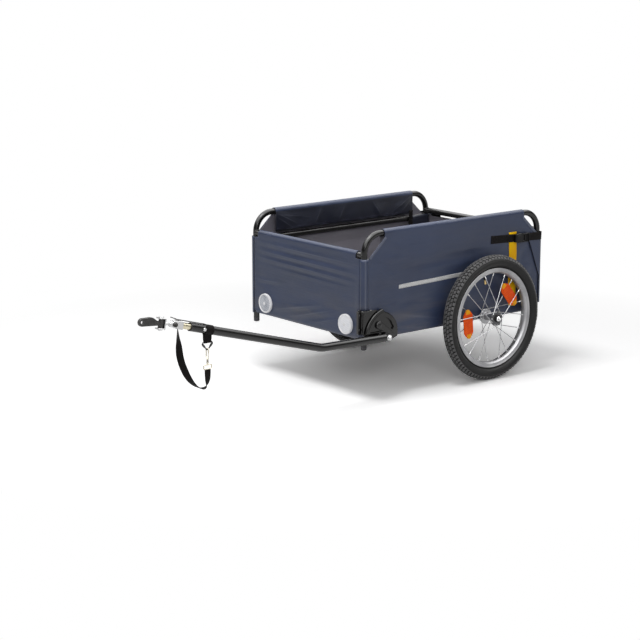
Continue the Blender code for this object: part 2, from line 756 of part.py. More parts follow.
def foot_cap(side, x, end, frame):
    """A plastic foot whose spigot plugs into the end of a post."""
    top = FOOT_HEIGHT + FOOT_SPIGOT_LENGTH - FOOT_SPIGOT_CLEARANCE
    profile = [
        (0, top),
        (FOOT_SPIGOT_RADIUS, top),
        (FOOT_SPIGOT_RADIUS, FOOT_HEIGHT),
        (TUBE_RADIUS, FOOT_HEIGHT),
        (TUBE_RADIUS, FOOT_CHAMFER),
        (TUBE_RADIUS - FOOT_CHAMFER, 0),
        (0, 0),
    ]
    name = f"{SIDE_NAMES[side]}_{end}_foot_cap"
    part(turned(name, profile, 12, frame, place=(x, side * POST_Y, FOOT_Z)), "grey_plastic")


def floor_board(frame):
    """The board on the lower side rails, notched for the drawbar clamp."""
    low = LOWER_RAIL_Z + TUBE_RADIUS + GAP
    rear = REAR_POST_X + TAILGATE_CORNER_RADIUS + CLOTH / 2 + GAP * 4
    front = FRONT_POST_X - BOARD_END_CLEARANCE
    half = POST_Y + BOARD_SIDE_LAP
    made = box("floor_board", (rear, -half, low), (front, half, low + BOARD_THICKNESS), frame)
    notch = box(
        "clamp_notch",
        (FRONT_POST_X - CLAMP_REAR - CLAMP_WINDOW, POST_Y - CLAMP_RADIUS - CLAMP_WINDOW, low - OVERSHOOT),
        (FRONT_POST_X + CLAMP_FRONT, half + OVERSHOOT, low + BOARD_THICKNESS + OVERSHOOT),
        frame,
    )
    part(cut(made, notch), "board")


# Cloth panels


def clamp_window(name, low_y, frame):
    """The opening in the cloth where the drawbar clamp grips the bare post."""
    return box(
        name,
        (FRONT_POST_X - CLAMP_REAR - CLAMP_WINDOW, low_y, CLAMP_LOW_Z - CLAMP_WINDOW),
        (FRONT_POST_X + CLAMP_FRONT + CLAMP_WINDOW, PANEL_FACE_Y + OVERSHOOT, CLAMP_TOP_Z + CLAMP_WINDOW),
        frame,
    )


def side_panel(side, frame, strap):
    """Side cloth: a flap inside, over the top rail, down the outside and under the lower rail."""
    name = f"{SIDE_NAMES[side]}_side_panel"
    over_rail = arc((POST_Y, TOP_RAIL_Z), WRAP_RADIUS, pi, 0, WRAP_STEPS)
    under_rail = arc((POST_Y, LOWER_RAIL_Z), WRAP_RADIUS, 0, -RAIL_HEM_TURN, WRAP_STEPS // 2)
    path = [(POST_Y - WRAP_RADIUS, FLAP_HEM_Z), *over_rail, *under_rail]
    path = [(side * y, z) for y, z in path]
    made = sheet(name, path, REAR_POST_X, FRONT_POST_X, CLOTH, frame, "X")
    above = TOP_RAIL_Z + CUT_REACH
    front_corner = [
        (RAIL_SLEEVE_FRONT_X, above),
        (RAIL_SLEEVE_FRONT_X, CORNER_CUT_Z),
        (FRONT_POST_X - TUBE_RADIUS, SLEEVE_TOP_Z),
        (FRONT_POST_X + CUT_REACH, SLEEVE_TOP_Z),
        (FRONT_POST_X + CUT_REACH, above),
    ]
    rear_corner = [
        (RAIL_SLEEVE_REAR_X, above),
        (REAR_POST_X - CUT_REACH, above),
        (REAR_POST_X - CUT_REACH, SLEEVE_TOP_Z),
        (RAIL_SLEEVE_REAR_X - REAR_CORNER_RUN, SLEEVE_TOP_Z),
        (RAIL_SLEEVE_REAR_X, CORNER_CUT_Z),
    ]
    inner, outer = sorted((side * (POST_Y - CUT_REACH), side * (POST_Y + CUT_REACH)))
    for corner in (front_corner, rear_corner):
        cut(made, plate("corner_cut", corner, inner, outer, frame))
    shoulder = TUBE_RADIUS + GAP * 3
    y_low, y_high = sorted((side * (POST_Y - CUT_REACH), side * (POST_Y + TUBE_RADIUS + GAP)))
    for x in (FRONT_POST_X, REAR_POST_X):
        low, high = (x - shoulder, y_low, FOOT_Z), (x + shoulder, y_high, LOWER_RAIL_Z)
        cut(made, box("post_clearance", low, high, frame))
    sleeve_low = LOWER_RAIL_Z - WRAP_RADIUS - CLOTH / 2
    lead = [(FRONT_POST_X - SLEEVE_LAP, PANEL_Y)]
    wrap = lead + arc((FRONT_POST_X, POST_Y), WRAP_RADIUS, pi / 2, -POST_HEM_TURN, WRAP_STEPS)
    wrap = [(x, side * y) for x, y in wrap]
    join(made, sheet(name + "_sleeve", wrap, sleeve_low, SLEEVE_TOP_Z, HEM_CLOTH, frame, "Z"))
    opening = (0, side * POST_Y, AXLE_Z), (0, side * (PANEL_FACE_Y + OVERSHOOT), AXLE_Z)
    cut(made, bore("axle_opening", *opening, RECEIVER_RADIUS + AXLE_OPENING_CLEARANCE, frame))
    if side == 1:
        cut(made, clamp_window("panel_window", POST_Y - CUT_REACH, frame))
    join(made, side_webbing(side, strap))
    part(made, "navy_cloth")


def front_panel(frame):
    """Front cloth: over the top cross tube, down the front and under the lower one."""
    over = arc((FRONT_POST_X, TOP_CROSS_Z), WRAP_RADIUS, pi, 0, WRAP_STEPS)
    under = arc((FRONT_POST_X, LOWER_RAIL_Z), WRAP_RADIUS, 0, -RAIL_HEM_TURN, WRAP_STEPS // 2)
    path = [(FRONT_POST_X - WRAP_RADIUS, TOP_CROSS_Z - FRONT_FLAP), *over, *under]
    half = POST_Y - FRONT_PANEL_INSET
    made = sheet("front_panel", path, -half, half, CLOTH, frame, "Y")
    face = FRONT_POST_X + TUBE_RADIUS + GAP
    for side in (1, -1):
        y_low, y_high = sorted((side * (POST_Y - FRONT_SLEEVE_INSET), side * (half + OVERSHOOT)))
        above = TOP_CROSS_Z + CUT_REACH
        rear = FRONT_POST_X - CUT_REACH
        top = box("sleeve_end", (rear, y_low, SLEEVE_TOP_Z), (face + CUT_REACH, y_high, above), frame)
        y_low, y_high = sorted((side * (POST_Y - TUBE_RADIUS - POST_ROOM), side * (half + OVERSHOOT)))
        below = TOP_CROSS_Z - FRONT_FLAP - CUT_REACH
        flap = box("flap_end", (rear, y_low, below), (face, y_high, SLEEVE_TOP_Z + POST_ROOM), frame)
        low = box("hem_end", (rear, y_low, FOOT_Z), (face, y_high, LOWER_RAIL_Z), frame)
        cut(made, top, flap, low)
    cut(made, clamp_window("front_window", POST_Y - CLAMP_RADIUS - CLAMP_WINDOW, frame))
    part(made, "navy_cloth")


def tailgate_panel(frame, joint, straps):
    """Rear cloth that hinges on the lower rear tube, with a wing round each rear post."""
    corner_radius = TAILGATE_CORNER_RADIUS
    left = arc((REAR_POST_X, POST_Y), corner_radius, pi / 2, pi, WRAP_STEPS // 2)
    right = [(x, -y) for x, y in reversed(left)]
    path = [(WING_TOP_X + OVERSHOOT, TAILGATE_Y), *left, *right, (WING_TOP_X + OVERSHOOT, -TAILGATE_Y)]
    made = sheet("tailgate_panel", path, LOWER_RAIL_Z, TAILGATE_TOP_Z, CLOTH, frame, "Z")
    for side in (1, -1):
        wing_edge = [
            (WING_TOP_X, TAILGATE_TOP_Z + OVERSHOOT),
            (WING_TOP_X, TAILGATE_TOP_Z - WING_EDGE),
            (REAR_POST_X + POST_ROOM, WING_LOW_Z),
            (REAR_POST_X + POST_ROOM, LOWER_RAIL_Z - OVERSHOOT),
            (WING_TOP_X + CUT_REACH, LOWER_RAIL_Z - OVERSHOOT),
            (WING_TOP_X + CUT_REACH, TAILGATE_TOP_Z + OVERSHOOT),
        ]
        inner, outer = sorted((side * (TAILGATE_Y - CLOTH * 2), side * (TAILGATE_Y + CLOTH * 2)))
        cut(made, plate("wing_cut", wing_edge, inner, outer, frame))
        y_low, y_high = sorted((side * (POST_Y - TUBE_RADIUS - POST_ROOM), side * (TAILGATE_Y + CLOTH * 2)))
        foot_room = LOWER_RAIL_Z + TAILGATE_FOOT_ROOM
        low, high = (TAILGATE_X - OVERSHOOT, y_low, FOOT_Z), (REAR_POST_X + OVERSHOOT, y_high, foot_room)
        cut(made, box("foot_clearance", low, high, frame))
    half = POST_Y - TAILGATE_SLEEVE_INSET
    loop = arc((REAR_POST_X, LOWER_RAIL_Z), TAILGATE_CORNER_RADIUS, radians(165), radians(165 - 345), 20)
    join(made, sheet("tailgate_sleeve", loop, -half, half, HEM_CLOTH, frame, "Y"))
    join(made, *(rear_webbing(side, straps[side]) for side in (1, -1)))
    part(made, "navy_cloth", joint)


def side_webbing(side, strap):
    """Webbing sewn on the side, raised over the pennant and under the buckle."""
    sewn = CLOTH / 2 + WEBBING / 2 - WEBBING_SINK
    raised = CLOTH / 2 + PENNANT_THICKNESS + GAP * 2 + WEBBING / 2
    pennant_front = abs(PENNANT_X - STRAP_FRONT_X) - PENNANT_WIDTH / 2
    path = [
        (0, sewn),
        (-pennant_front + WEBBING_RAMP_CLEARANCE + WEBBING_RAMP, sewn),
        (-pennant_front + WEBBING_RAMP_CLEARANCE, raised),
        (-SIDE_WEBBING_LENGTH, raised),
    ]
    path = [(x, side * y) for x, y in path]
    half = WEBBING_WIDTH / 2
    return sheet(f"{SIDE_NAMES[side]}_side_webbing", path, -half, half, WEBBING, strap, "Z")


def rear_webbing(side, strap):
    """Webbing sewn round the tailgate's corner, from the buckle's plug."""
    shift = TAILGATE_Y - PANEL_Y
    sewn = CLOTH / 2 + WEBBING / 2 - WEBBING_SINK
    post = STRAP_FRONT_X - REAR_POST_X
    centre = (-post, -WRAP_RADIUS)
    start = -(BUCKLE_START + SOCKET_LENGTH + REAR_WEBBING_START)
    bend = arc(centre, TAILGATE_CORNER_RADIUS + sewn, pi / 2, pi, WRAP_STEPS // 2)
    end = (bend[-1][0], bend[-1][1] - REAR_WEBBING_LAP)
    path = [(start, shift + sewn), *bend, end]
    path = [(x, side * y) for x, y in path]
    half = WEBBING_WIDTH / 2
    return sheet(f"{SIDE_NAMES[side]}_rear_webbing", path, -half, half, WEBBING, strap, "Z")


def buckle_face():
    """Distance of the buckle's underside from the side panel's middle layer."""
    over_side = CLOTH / 2 + PENNANT_THICKNESS + GAP * 2 + WEBBING
    over_wing = TAILGATE_Y - PANEL_Y + CLOTH / 2 + WEBBING - WEBBING_SINK
    return max(over_side, over_wing) + GAP


def buckle_socket(side, strap):
    """The buckle's socket, open at the rear for the plug's tongue."""
    name = f"{SIDE_NAMES[side]}_buckle_socket"
    under = buckle_face()
    top = under + SOCKET_THICKNESS
    middle = (under + top) / 2
    rear = -(BUCKLE_START + SOCKET_LENGTH)
    y_low, y_high = sorted((side * under, side * top))
    made = box(
        name,
        (rear, y_low, -SOCKET_HEIGHT / 2),
        (-BUCKLE_START, y_high, SOCKET_HEIGHT / 2),
        strap,
        corner=BUCKLE_CORNER,
    )
    y_low, y_high = sorted((side * (middle - POCKET_THICKNESS / 2), side * (middle + POCKET_THICKNESS / 2)))
    pocket = box(
        "pocket",
        (rear - OVERSHOOT, y_low, -POCKET_HEIGHT / 2),
        (rear + POCKET_DEPTH, y_high, POCKET_HEIGHT / 2),
        strap,
    )
    part(cut(made, pocket), "black_plastic")


def buckle_plug(side, strap, joint):
    """The buckle's plug, carried by the tailgate's webbing."""
    name = f"{SIDE_NAMES[side]}_buckle_plug"
    under = buckle_face()
    top = under + SOCKET_THICKNESS
    middle = (under + top) / 2
    front = -(BUCKLE_START + SOCKET_LENGTH + GAP)
    y_low, y_high = sorted((side * under, side * (top - PLUG_STEP)))
    made = box(
        name,
        (front - PLUG_LENGTH, y_low, -PLUG_HEIGHT / 2),
        (front, y_high, PLUG_HEIGHT / 2),
        strap,
        corner=BUCKLE_CORNER,
    )
    y_low, y_high = sorted((side * (middle - TONGUE_THICKNESS / 2), side * (middle + TONGUE_THICKNESS / 2)))
    tongue = box(
        "tongue",
        (front - TONGUE_ROOT, y_low, -TONGUE_HEIGHT / 2),
        (front + TONGUE_LENGTH, y_high, TONGUE_HEIGHT / 2),
        strap,
    )
    slot_low, slot_high = sorted((side * (under - OVERSHOOT), side * (top + OVERSHOOT)))
    half = WEBBING_WIDTH / 2 - GAP
    slots = [
        box(
            "ladder_slot",
            (front - at - LADDER_SLOT, slot_low, -half),
            (front - at, slot_high, half),
            strap,
        )
        for at in LADDER_SLOTS_AT
    ]
    part(cut(join(made, tongue), *slots), "black_plastic", joint)


def safety_pennant(frame):
    """The folded pennant: a flat strip with a slanting lower end, between panel and strap."""
    low = PANEL_FACE_Y + GAP
    half = PENNANT_WIDTH / 2
    outline = [
        (PENNANT_X - half, PENNANT_TOP_Z),
        (PENNANT_X - half, PENNANT_LOW_Z + PENNANT_REAR_RISE),
        (PENNANT_X + half * PENNANT_TIP_SHARE, PENNANT_LOW_Z),
        (PENNANT_X + half, PENNANT_LOW_Z + PENNANT_FRONT_RISE),
        (PENNANT_X + half, PENNANT_TOP_Z),
    ]
    part(plate("safety_pennant", outline, low, low + PENNANT_THICKNESS, frame), "yellow_cloth")


def box_reflector(side, front, frame, joint=None):
    """A round reflector: a shallow cup with a domed lens."""
    radius, depth = BOX_REFLECTOR_RADIUS, BOX_REFLECTOR_THICKNESS
    profile = [
        (0, depth),
        (radius * 0.80, depth),
        (radius * 0.94, depth * 0.82),
        (radius, depth * 0.45),
        (radius, 0),
        (0, 0),
    ]
    name = f"{SIDE_NAMES[side]}_{'front' if front else 'rear'}_reflector"
    face = FRONT_POST_X + WRAP_RADIUS + CLOTH / 2 + GAP if front else TAILGATE_X - CLOTH / 2 - GAP
    turn = (0, pi / 2 if front else -pi / 2, 0)
    made = turned(name, profile, 24, frame, place=(face, side * BOX_REFLECTOR_Y, BOX_REFLECTOR_Z), turn=turn)
    part(made, "white_lens" if front else "red_lens", joint)


# Wheels: each is built about its own Z axis, which points away from the box


def tyre(side, wheel):
    middle = WHEEL_RADIUS - (WHEEL_RADIUS - RIM_RADIUS) / 2
    bulge = WHEEL_RADIUS - middle
    section = [
        (middle + bulge * cos(radians(angle)), TYRE_HALF_WIDTH * sin(radians(angle)))
        for angle in (145, 116, 87, 58, 29, 0, -29, -58, -87, -116, -145)
    ]
    bead = RIM_RADIUS - RIM_WELL_DEPTH + GAP * 2
    seat = RIM_HALF_WIDTH - RIM_WALL - GAP
    lip = RIM_RADIUS + GAP * 4
    profile = [(bead, seat), (lip, seat), *section, (lip, -seat), (bead, -seat)]
    part(turned(f"{side}_tyre", profile, WHEEL_STEPS, wheel, closed=True), "rubber")


def rim(side, wheel):
    """The rim: flanges, a well for the tyre's beads and a drawn-in spoke bed."""
    inner = RIM_HALF_WIDTH - RIM_WALL
    seat = RIM_RADIUS - RIM_WELL_DEPTH
    bed = RIM_RADIUS - RIM_DEPTH
    profile = [
        (RIM_RADIUS, RIM_HALF_WIDTH),
        (RIM_RADIUS, inner),
        (seat, inner),
        (seat, -inner),
        (RIM_RADIUS, -inner),
        (RIM_RADIUS, -RIM_HALF_WIDTH),
        (bed + RIM_SHOULDER, -RIM_HALF_WIDTH),
        (bed, -RIM_HALF_WIDTH / 2),
        (bed, RIM_HALF_WIDTH / 2),
        (bed + RIM_SHOULDER, RIM_HALF_WIDTH),
    ]
    part(turned(f"{side}_rim", profile, WHEEL_STEPS, wheel, closed=True), "rim_metal")


def spoke_ends():
    """Hub and rim ends of every spoke, crossed in pairs, on two flanges."""
    step = 2 * pi / SPOKES_PER_FLANGE
    rim_end = (RIM_RADIUS - RIM_DEPTH) * cos(pi / WHEEL_STEPS) - GAP
    for flange, face in ((0, 1), (1, -1)):
        for number in range(SPOKES_PER_FLANGE):
            lean = 1 if number % 2 else -1
            hub_angle = SPOKE_PHASE + step * (number + flange / 2)
            rim_angle = hub_angle - lean * SPOKE_CROSS
            height = face * (FLANGE_OFFSET + lean * SPOKE_HEAD_OFFSET)
            start = (SPOKE_HOLE_RADIUS * cos(hub_angle), SPOKE_HOLE_RADIUS * sin(hub_angle), height)
            end = (rim_end * cos(rim_angle), rim_end * sin(rim_angle), face * SPOKE_RIM_OFFSET)
            yield Vector(start), Vector(end)


def hub_with_spokes(side, wheel):
    """The hub shell with its two flanges and its spokes."""
    hole = AXLE_RADIUS + RUNNING_FIT
    half = HUB_HALF_LENGTH
    inner = FLANGE_OFFSET - FLANGE_THICKNESS / 2
    outer = FLANGE_OFFSET + FLANGE_THICKNESS / 2
    upper = [
        (hole, half),
        (HUB_END_RADIUS, half),
        (HUB_END_RADIUS, outer + 0.0015),
        (FLANGE_RADIUS, outer),
        (FLANGE_RADIUS, inner),
        (HUB_RADIUS, inner - 0.0015),
    ]
    profile = upper + [(radius, -height) for radius, height in reversed(upper)]
    name = f"{side}_hub_with_spokes"
    made = turned(name, profile, 20, wheel, closed=True)
    bm = bmesh.new()
    for start, end in spoke_ends():
        add_rod(bm, start, end, SPOKE_RADIUS, 5)
    spokes = solid(name + "_spokes", mesh_of(bm, name + "_spokes"), wheel)
    join(made, spokes)
    made.modifiers[-1].use_self = True
    part(made, "rim_metal")


def axle_pin(side, wheel):
    """The quick-release pin, with the cap and push button at its outer end."""
    cap = HUB_HALF_LENGTH + GAP * 2
    top = cap + AXLE_CAP_LENGTH
    inner = -(WHEEL_Y - POST_Y + AXLE_REACH)
    profile = [
        (0, top + AXLE_BUTTON_LENGTH),
        (AXLE_BUTTON_RADIUS, top + AXLE_BUTTON_LENGTH),
        (AXLE_BUTTON_RADIUS, top),
        (AXLE_CAP_RADIUS - 0.001, top),
        (AXLE_CAP_RADIUS, top - 0.002),
        (AXLE_CAP_RADIUS, cap),
        (AXLE_RADIUS, cap),
        (AXLE_RADIUS, inner + 0.001),
        (AXLE_RADIUS - 0.001, inner),
        (0, inner),
    ]
    part(turned(f"{side}_axle_pin", profile, 16, wheel), "chrome")


def wheel_reflector(side, number, wheel):
    """A spoke reflector: a round-ended plate between the two layers of spokes."""
    angle = WHEEL_REFLECTOR_ANGLES[number]
    radius = WHEEL_REFLECTOR_WIDTH / 2
    run = WHEEL_REFLECTOR_LENGTH / 2 - radius
    outline = arc((0, run), radius, 0, pi, 8) + arc((0, -run), radius, pi, 2 * pi, 8)
    half = WHEEL_REFLECTOR_THICKNESS / 2
    name = f"{side}_wheel_reflector_{number + 1}"
    made = plate(name, outline, -half, half, wheel, axis="Z")
    turn = -angle if side == "left" else angle
    made.data.transform(Matrix.Rotation(turn, 4, "Z") @ Matrix.Translation((WHEEL_REFLECTOR_AT, 0, 0)))
    part(made, "orange_lens")


def wheel(side, trailer):
    """A wheel on its own frame, whose Z axis points outwards along the axle."""
    name = SIDE_NAMES[side]
    frame = empty(f"{name}_wheel_axis", (0, side * WHEEL_Y, AXLE_Z), trailer, (-side * pi / 2, 0, 0))
    tyre(name, frame)
    rim(name, frame)
    hub_with_spokes(name, frame)
    axle_pin(name, frame)
    for number in range(len(WHEEL_REFLECTOR_ANGLES)):
        wheel_reflector(name, number, frame)


# Drawbar bracket


def sector_outline(inset=0.0):
    """The sector's edge: a round front about the pivot, a spiral back, and a notch for the drawbar."""
    front = SECTOR_RADIUS - inset
    drawbar_top = DRAWBAR_REAR_Z + DRAWBAR_RADIUS + GAP + SECTOR_ABOVE_DRAWBAR + inset
    low_angle = asin((drawbar_top - PIVOT_Z) / front)
    points = arc((PIVOT_X, PIVOT_Z), front, low_angle, SECTOR_TOP, 12)
    back_steps = 10
    for i in range(1, back_steps + 1):
        share = i / back_steps
        angle = SECTOR_TOP + (pi - SECTOR_TOP) * share
        fall = (1 - share) ** SECTOR_SPIRAL_POWER
        back = SECTOR_BACK_RADIUS - inset
        radius = back + (front * SECTOR_SPIRAL_START - back) * fall
        points.append((PIVOT_X + radius * cos(angle), PIVOT_Z + radius * sin(angle)))
    lug = PIVOT_NUT_RADIUS + SECTOR_LUG_MARGIN - inset
    points += arc((PIVOT_X, PIVOT_Z), lug, radians(235), radians(300), 4)
    rear = DRAWBAR_REAR_X - GAP - inset
    points += [(rear, PIVOT_Z - lug * SECTOR_LUG_DROP), (rear, drawbar_top)]
    return points


def bracket_housing(frame):
    """The fixed half: a plate with a raised rim round the sector, and the outer half of the post clamp."""
    low, face, top = PLATE_Y, PLATE_Y + BRACKET_PLATE, RIM_FACE_Y
    front = FRONT_POST_X + CLAMP_RADIUS
    groove = SECTOR_RADIUS + SECTOR_GROOVE
    plate_low = DRAWBAR_REAR_Z - DRAWBAR_RADIUS
    rise = atan2(CLAMP_TOP_Z - PIVOT_Z, groove * HOUSING_TOP_SHARE)
    base = [
        (front, CLAMP_TOP_Z),
        (PIVOT_X + groove * cos(rise), CLAMP_TOP_Z),
        (PIVOT_X - HOUSING_SHOULDER_BACK, PIVOT_Z + HOUSING_SHOULDER_RISE),
        (PIVOT_X - HOUSING_BACK, PIVOT_Z),
        (PIVOT_X - HOUSING_FOOT_BACK, plate_low),
        (front - HOUSING_FOOT_FRONT, plate_low),
        (front, CLAMP_LOW_Z),
    ]
    made = plate("bracket_housing", base, low, face, frame)
    start = atan2(CLAMP_LOW_Z - PIVOT_Z, groove)
    inset = HOUSING_RIM_INSET
    end = atan2(CLAMP_TOP_Z - inset - PIVOT_Z, groove * HOUSING_TOP_SHARE)
    edge = arc((PIVOT_X, PIVOT_Z), groove, start, end, 10)
    rim_outline = [*edge, (front - inset, CLAMP_TOP_Z - inset)]
    if PIVOT_X + groove * cos(start) < front - inset * 2:
        rim_outline.append((front - inset, CLAMP_LOW_Z + inset))
    join(made, plate("housing_rim", rim_outline, face - BRACKET_PLATE / 3, top, frame))
    join(made, *clamp_half(1, frame))
    stud_ends = (PIVOT_X, low - OVERSHOOT, PIVOT_Z), (PIVOT_X, top, PIVOT_Z)
    stud = bore("stud_hole", *stud_ends, PIVOT_RADIUS + GAP, frame)
    part(cut(made, post_hole(frame), stud), "black_paint")


def post_hole(frame):
    """The cutter for the post through both halves of the clamp."""
    low = (FRONT_POST_X, POST_Y, CLAMP_LOW_Z - OVERSHOOT)
    high = (FRONT_POST_X, POST_Y, CLAMP_TOP_Z + OVERSHOOT)
    return bore("post_hole", low, high, TUBE_RADIUS + GAP, frame)


def clamp_half(half, frame):
    """Half of the post clamp: a half-round shell with a bolted flange before and behind."""
    face = POST_Y + half * GAP / 2
    start = asin(GAP / 2 / CLAMP_RADIUS)
    half_circle = arc((0, 0), CLAMP_RADIUS, start, pi - start, 10)
    shell = [(FRONT_POST_X + x, POST_Y + half * y) for x, y in half_circle]
    shell_plate = plate("clamp_shell", shell, CLAMP_LOW_Z, CLAMP_TOP_Z, frame, axis="Z")
    y_low, y_high = sorted((face, face + half * CLAMP_FLANGE))
    flange = box(
        "clamp_flange",
        (FRONT_POST_X - CLAMP_REAR, y_low, CLAMP_LOW_Z + CLAMP_FLANGE_INSET),
        (FRONT_POST_X + CLAMP_FRONT, y_high, CLAMP_TOP_Z - CLAMP_FLANGE_INSET),
        frame,
    )
    return shell_plate, flange


def post_clamp(frame):
    """The inner half of the clamp, behind the post."""
    shell, flange = clamp_half(-1, frame)
    shell.name = "post_clamp"
    join(shell, flange)
    part(cut(shell, post_hole(frame)), "black_paint")


def sector_plate(frame, joint):
    """The turning half: a pressed pan with a rolled edge, a pivot boss and two windows."""
    bm = bmesh.new()
    points = [bm.verts.new((x, SECTOR_FACE_Y, z)) for x, z in sector_outline()]
    face = bm.faces.new(points)
    if face.normal.y < 0:
        face.normal_flip()
    bm.normal_update()
    rim_edges = bmesh.ops.extrude_edge_only(bm, edges=list(bm.edges))["geom"]
    wall = [item for item in rim_edges if isinstance(item, bmesh.types.BMVert)]
    bmesh.ops.translate(bm, verts=wall, vec=(0, SECTOR_BACK_Y - SECTOR_FACE_Y, 0))
    bmesh.ops.recalc_face_normals(bm, faces=bm.faces)
    mesh = bpy.data.meshes.new("sector_plate")
    bm.to_mesh(mesh)
    bm.free()
    made = solid("sector_plate", mesh, frame)
    shoulder = made.modifiers.new("Shoulder", "BEVEL")
    shoulder.width = SECTOR_SHOULDER
    shoulder.segments = 2
    shoulder.limit_method = "ANGLE"
    shoulder.angle_limit = radians(80)
    wall = made.modifiers.new("Wall", "SOLIDIFY")
    wall.thickness = SECTOR_WALL
    wall.offset = -1
    wall.use_even_offset = True
    sunk = SECTOR_FACE_Y - SECTOR_WALL / 2
    pivot = (PIVOT_X, SECTOR_BACK_Y, PIVOT_Z), (PIVOT_X, sunk, PIVOT_Z)
    pin = (LEVER_X, sunk, LEVER_Z), (LEVER_X, LEVER_FACE_Y + RIVET_HEAD / 2, LEVER_Z)
    head = (LEVER_X, LEVER_FACE_Y + GAP, LEVER_Z), (LEVER_X, LEVER_FACE_Y + GAP + RIVET_HEAD, LEVER_Z)
    head_end = RIVET_HEAD_RADIUS - RIVET_HEAD_CHAMFER
    join(
        made,
        rod("pivot_boss", *pivot, PIVOT_BOSS_RADIUS, frame),
        rod("lever_pin", *pin, LEVER_PIN_RADIUS, frame),
        rod("rivet_head", *head, RIVET_HEAD_RADIUS, frame, end_radius=head_end),
    )
    stud = (PIVOT_X, SECTOR_BACK_Y - OVERSHOOT, PIVOT_Z), (PIVOT_X, SECTOR_FACE_Y + OVERSHOOT, PIVOT_Z)
    cut(made, bore("pivot_hole", *stud, PIVOT_RADIUS + RUNNING_FIT, frame), *sector_windows(frame))
    part(made, "black_paint", joint)


def sector_windows(frame):
    """A slot that the lever's nose swings in, and a long window above the drawbar."""
    rivet = (LEVER_X, LEVER_Z)
    swing = arc(rivet, SWING_OUTER_RADIUS, SWING_START, SWING_END, 6)
    swing += arc(rivet, SWING_INNER_RADIUS, SWING_END, SWING_START, 4)
    low = DRAWBAR_REAR_Z + DRAWBAR_RADIUS + SLOT_ABOVE_DRAWBAR
    high = low + SLOT_HEIGHT
    rear, front = PIVOT_X + SLOT_REAR, PIVOT_X + SLOT_FRONT
    long_window = [(rear, low), (front, low), (front, high), (rear + SLOT_SLANT, high)]
    y_low, y_high = SECTOR_FACE_Y - SECTOR_WALL * 2, SECTOR_FACE_Y + SECTOR_WALL
    return (
        plate("swing_window", swing, y_low, y_high, frame),
        plate("long_window", long_window, y_low, y_high, frame),
    )


def lock_lever(frame, joint):
    """The tapered lever that frees the drawbar, riveted to the sector."""
    arm = tapered_outline(LEVER_LENGTH, LEVER_HUB_RADIUS, LEVER_TIP_RADIUS, LEVER_ANGLE)
    made = plate("lock_lever", moved(arm, LEVER_X, LEVER_Z), SECTOR_FACE_Y + GAP, LEVER_FACE_Y, frame)
    hole = (LEVER_X, SECTOR_FACE_Y - OVERSHOOT, LEVER_Z), (LEVER_X, LEVER_FACE_Y + OVERSHOOT, LEVER_Z)
    cut(made, bore("lever_hole", *hole, LEVER_PIN_RADIUS + RUNNING_FIT, frame))
    part(made, "black_paint", joint)


def pivot_bolt(frame, joint):
    """The stud of the drawbar's pivot with its domed nut."""
    base = SECTOR_FACE_Y + GAP
    radius = PIVOT_NUT_RADIUS
    inner = PLATE_Y + GAP - base
    profile = [
        (0, PIVOT_NUT_LENGTH),
        (radius * 0.38, PIVOT_NUT_LENGTH * 0.93),
        (radius * 0.64, PIVOT_NUT_LENGTH * 0.74),
        (radius * 0.72, PIVOT_NUT_LENGTH * 0.52),
        (radius * 0.94, PIVOT_NUT_LENGTH * 0.46),
        (radius, PIVOT_NUT_LENGTH * 0.36),
        (radius, 0),
        (PIVOT_RADIUS, 0),
        (PIVOT_RADIUS, inner),
        (0, inner),
    ]
    made = turned("pivot_bolt", profile, 18, frame, place=(PIVOT_X, base, PIVOT_Z), turn=(-pi / 2, 0, 0))
    part(made, "chrome", joint)


# Drawbar and hitch


def drawbar_tube(frame, joint):
    """The bent tube, open at its front end for the hitch's swivel."""
    level = Vector((DRAWBAR_BEND_X - DRAWBAR_REAR_X, 0, DRAWBAR_BEND_Z - DRAWBAR_REAR_Z))
    corners = [
        (DRAWBAR_REAR_X, DRAWBAR_Y, DRAWBAR_REAR_Z),
        Vector((DRAWBAR_REAR_X, DRAWBAR_Y, DRAWBAR_REAR_Z)) + level,
        (DRAWBAR_END_X, DRAWBAR_Y, DRAWBAR_END_Z),
    ]
    path = rounded(corners, DRAWBAR_BEND_RADIUS, 6)
    made = tube("drawbar_tube", path, DRAWBAR_RADIUS, frame, DRAWBAR_SIDES)
    along = Vector((cos(DRAWBAR_RISE), 0, sin(DRAWBAR_RISE)))
    end = Vector((DRAWBAR_END_X, DRAWBAR_Y, DRAWBAR_END_Z))
    bottom = end - along * (SWIVEL_INSERT + SWIVEL_END_CLEARANCE)
    across = Vector((0, DRAWBAR_RADIUS + OVERSHOOT, 0))
    bolt = end - along * SWIVEL_BOLT_AT
    cut(
        made,
        bore("swivel_socket", bottom, end + along * OVERSHOOT, SWIVEL_RADIUS + RUNNING_FIT, frame),
        bore("bolt_hole", bolt - across, bolt + across, SWIVEL_BOLT_RADIUS + GAP, frame, sides=12),
    )
    part(made, "black_paint", joint)


def swivel_bolt(hitch, joint):
    """The bolt across the drawbar that holds the swivel in and limits its roll."""
    seat = DRAWBAR_RADIUS + GAP
    head = seat + SWIVEL_BOLT_HEAD
    profile = [
        (0, head),
        (SWIVEL_BOLT_HEAD_RADIUS - NUT_CHAMFER, head),
        (SWIVEL_BOLT_HEAD_RADIUS, head - NUT_CHAMFER),
        (SWIVEL_BOLT_HEAD_RADIUS, seat),
        (SWIVEL_BOLT_RADIUS, seat),
        (SWIVEL_BOLT_RADIUS, -seat),
        (SWIVEL_BOLT_HEAD_RADIUS, -seat),
        (SWIVEL_BOLT_HEAD_RADIUS, -head),
        (0, -head),
    ]
    made = turned("swivel_bolt", profile, 12, hitch, place=(-SWIVEL_BOLT_AT, 0, 0), turn=(pi / 2, 0, 0))
    part(made, "zinc", joint)


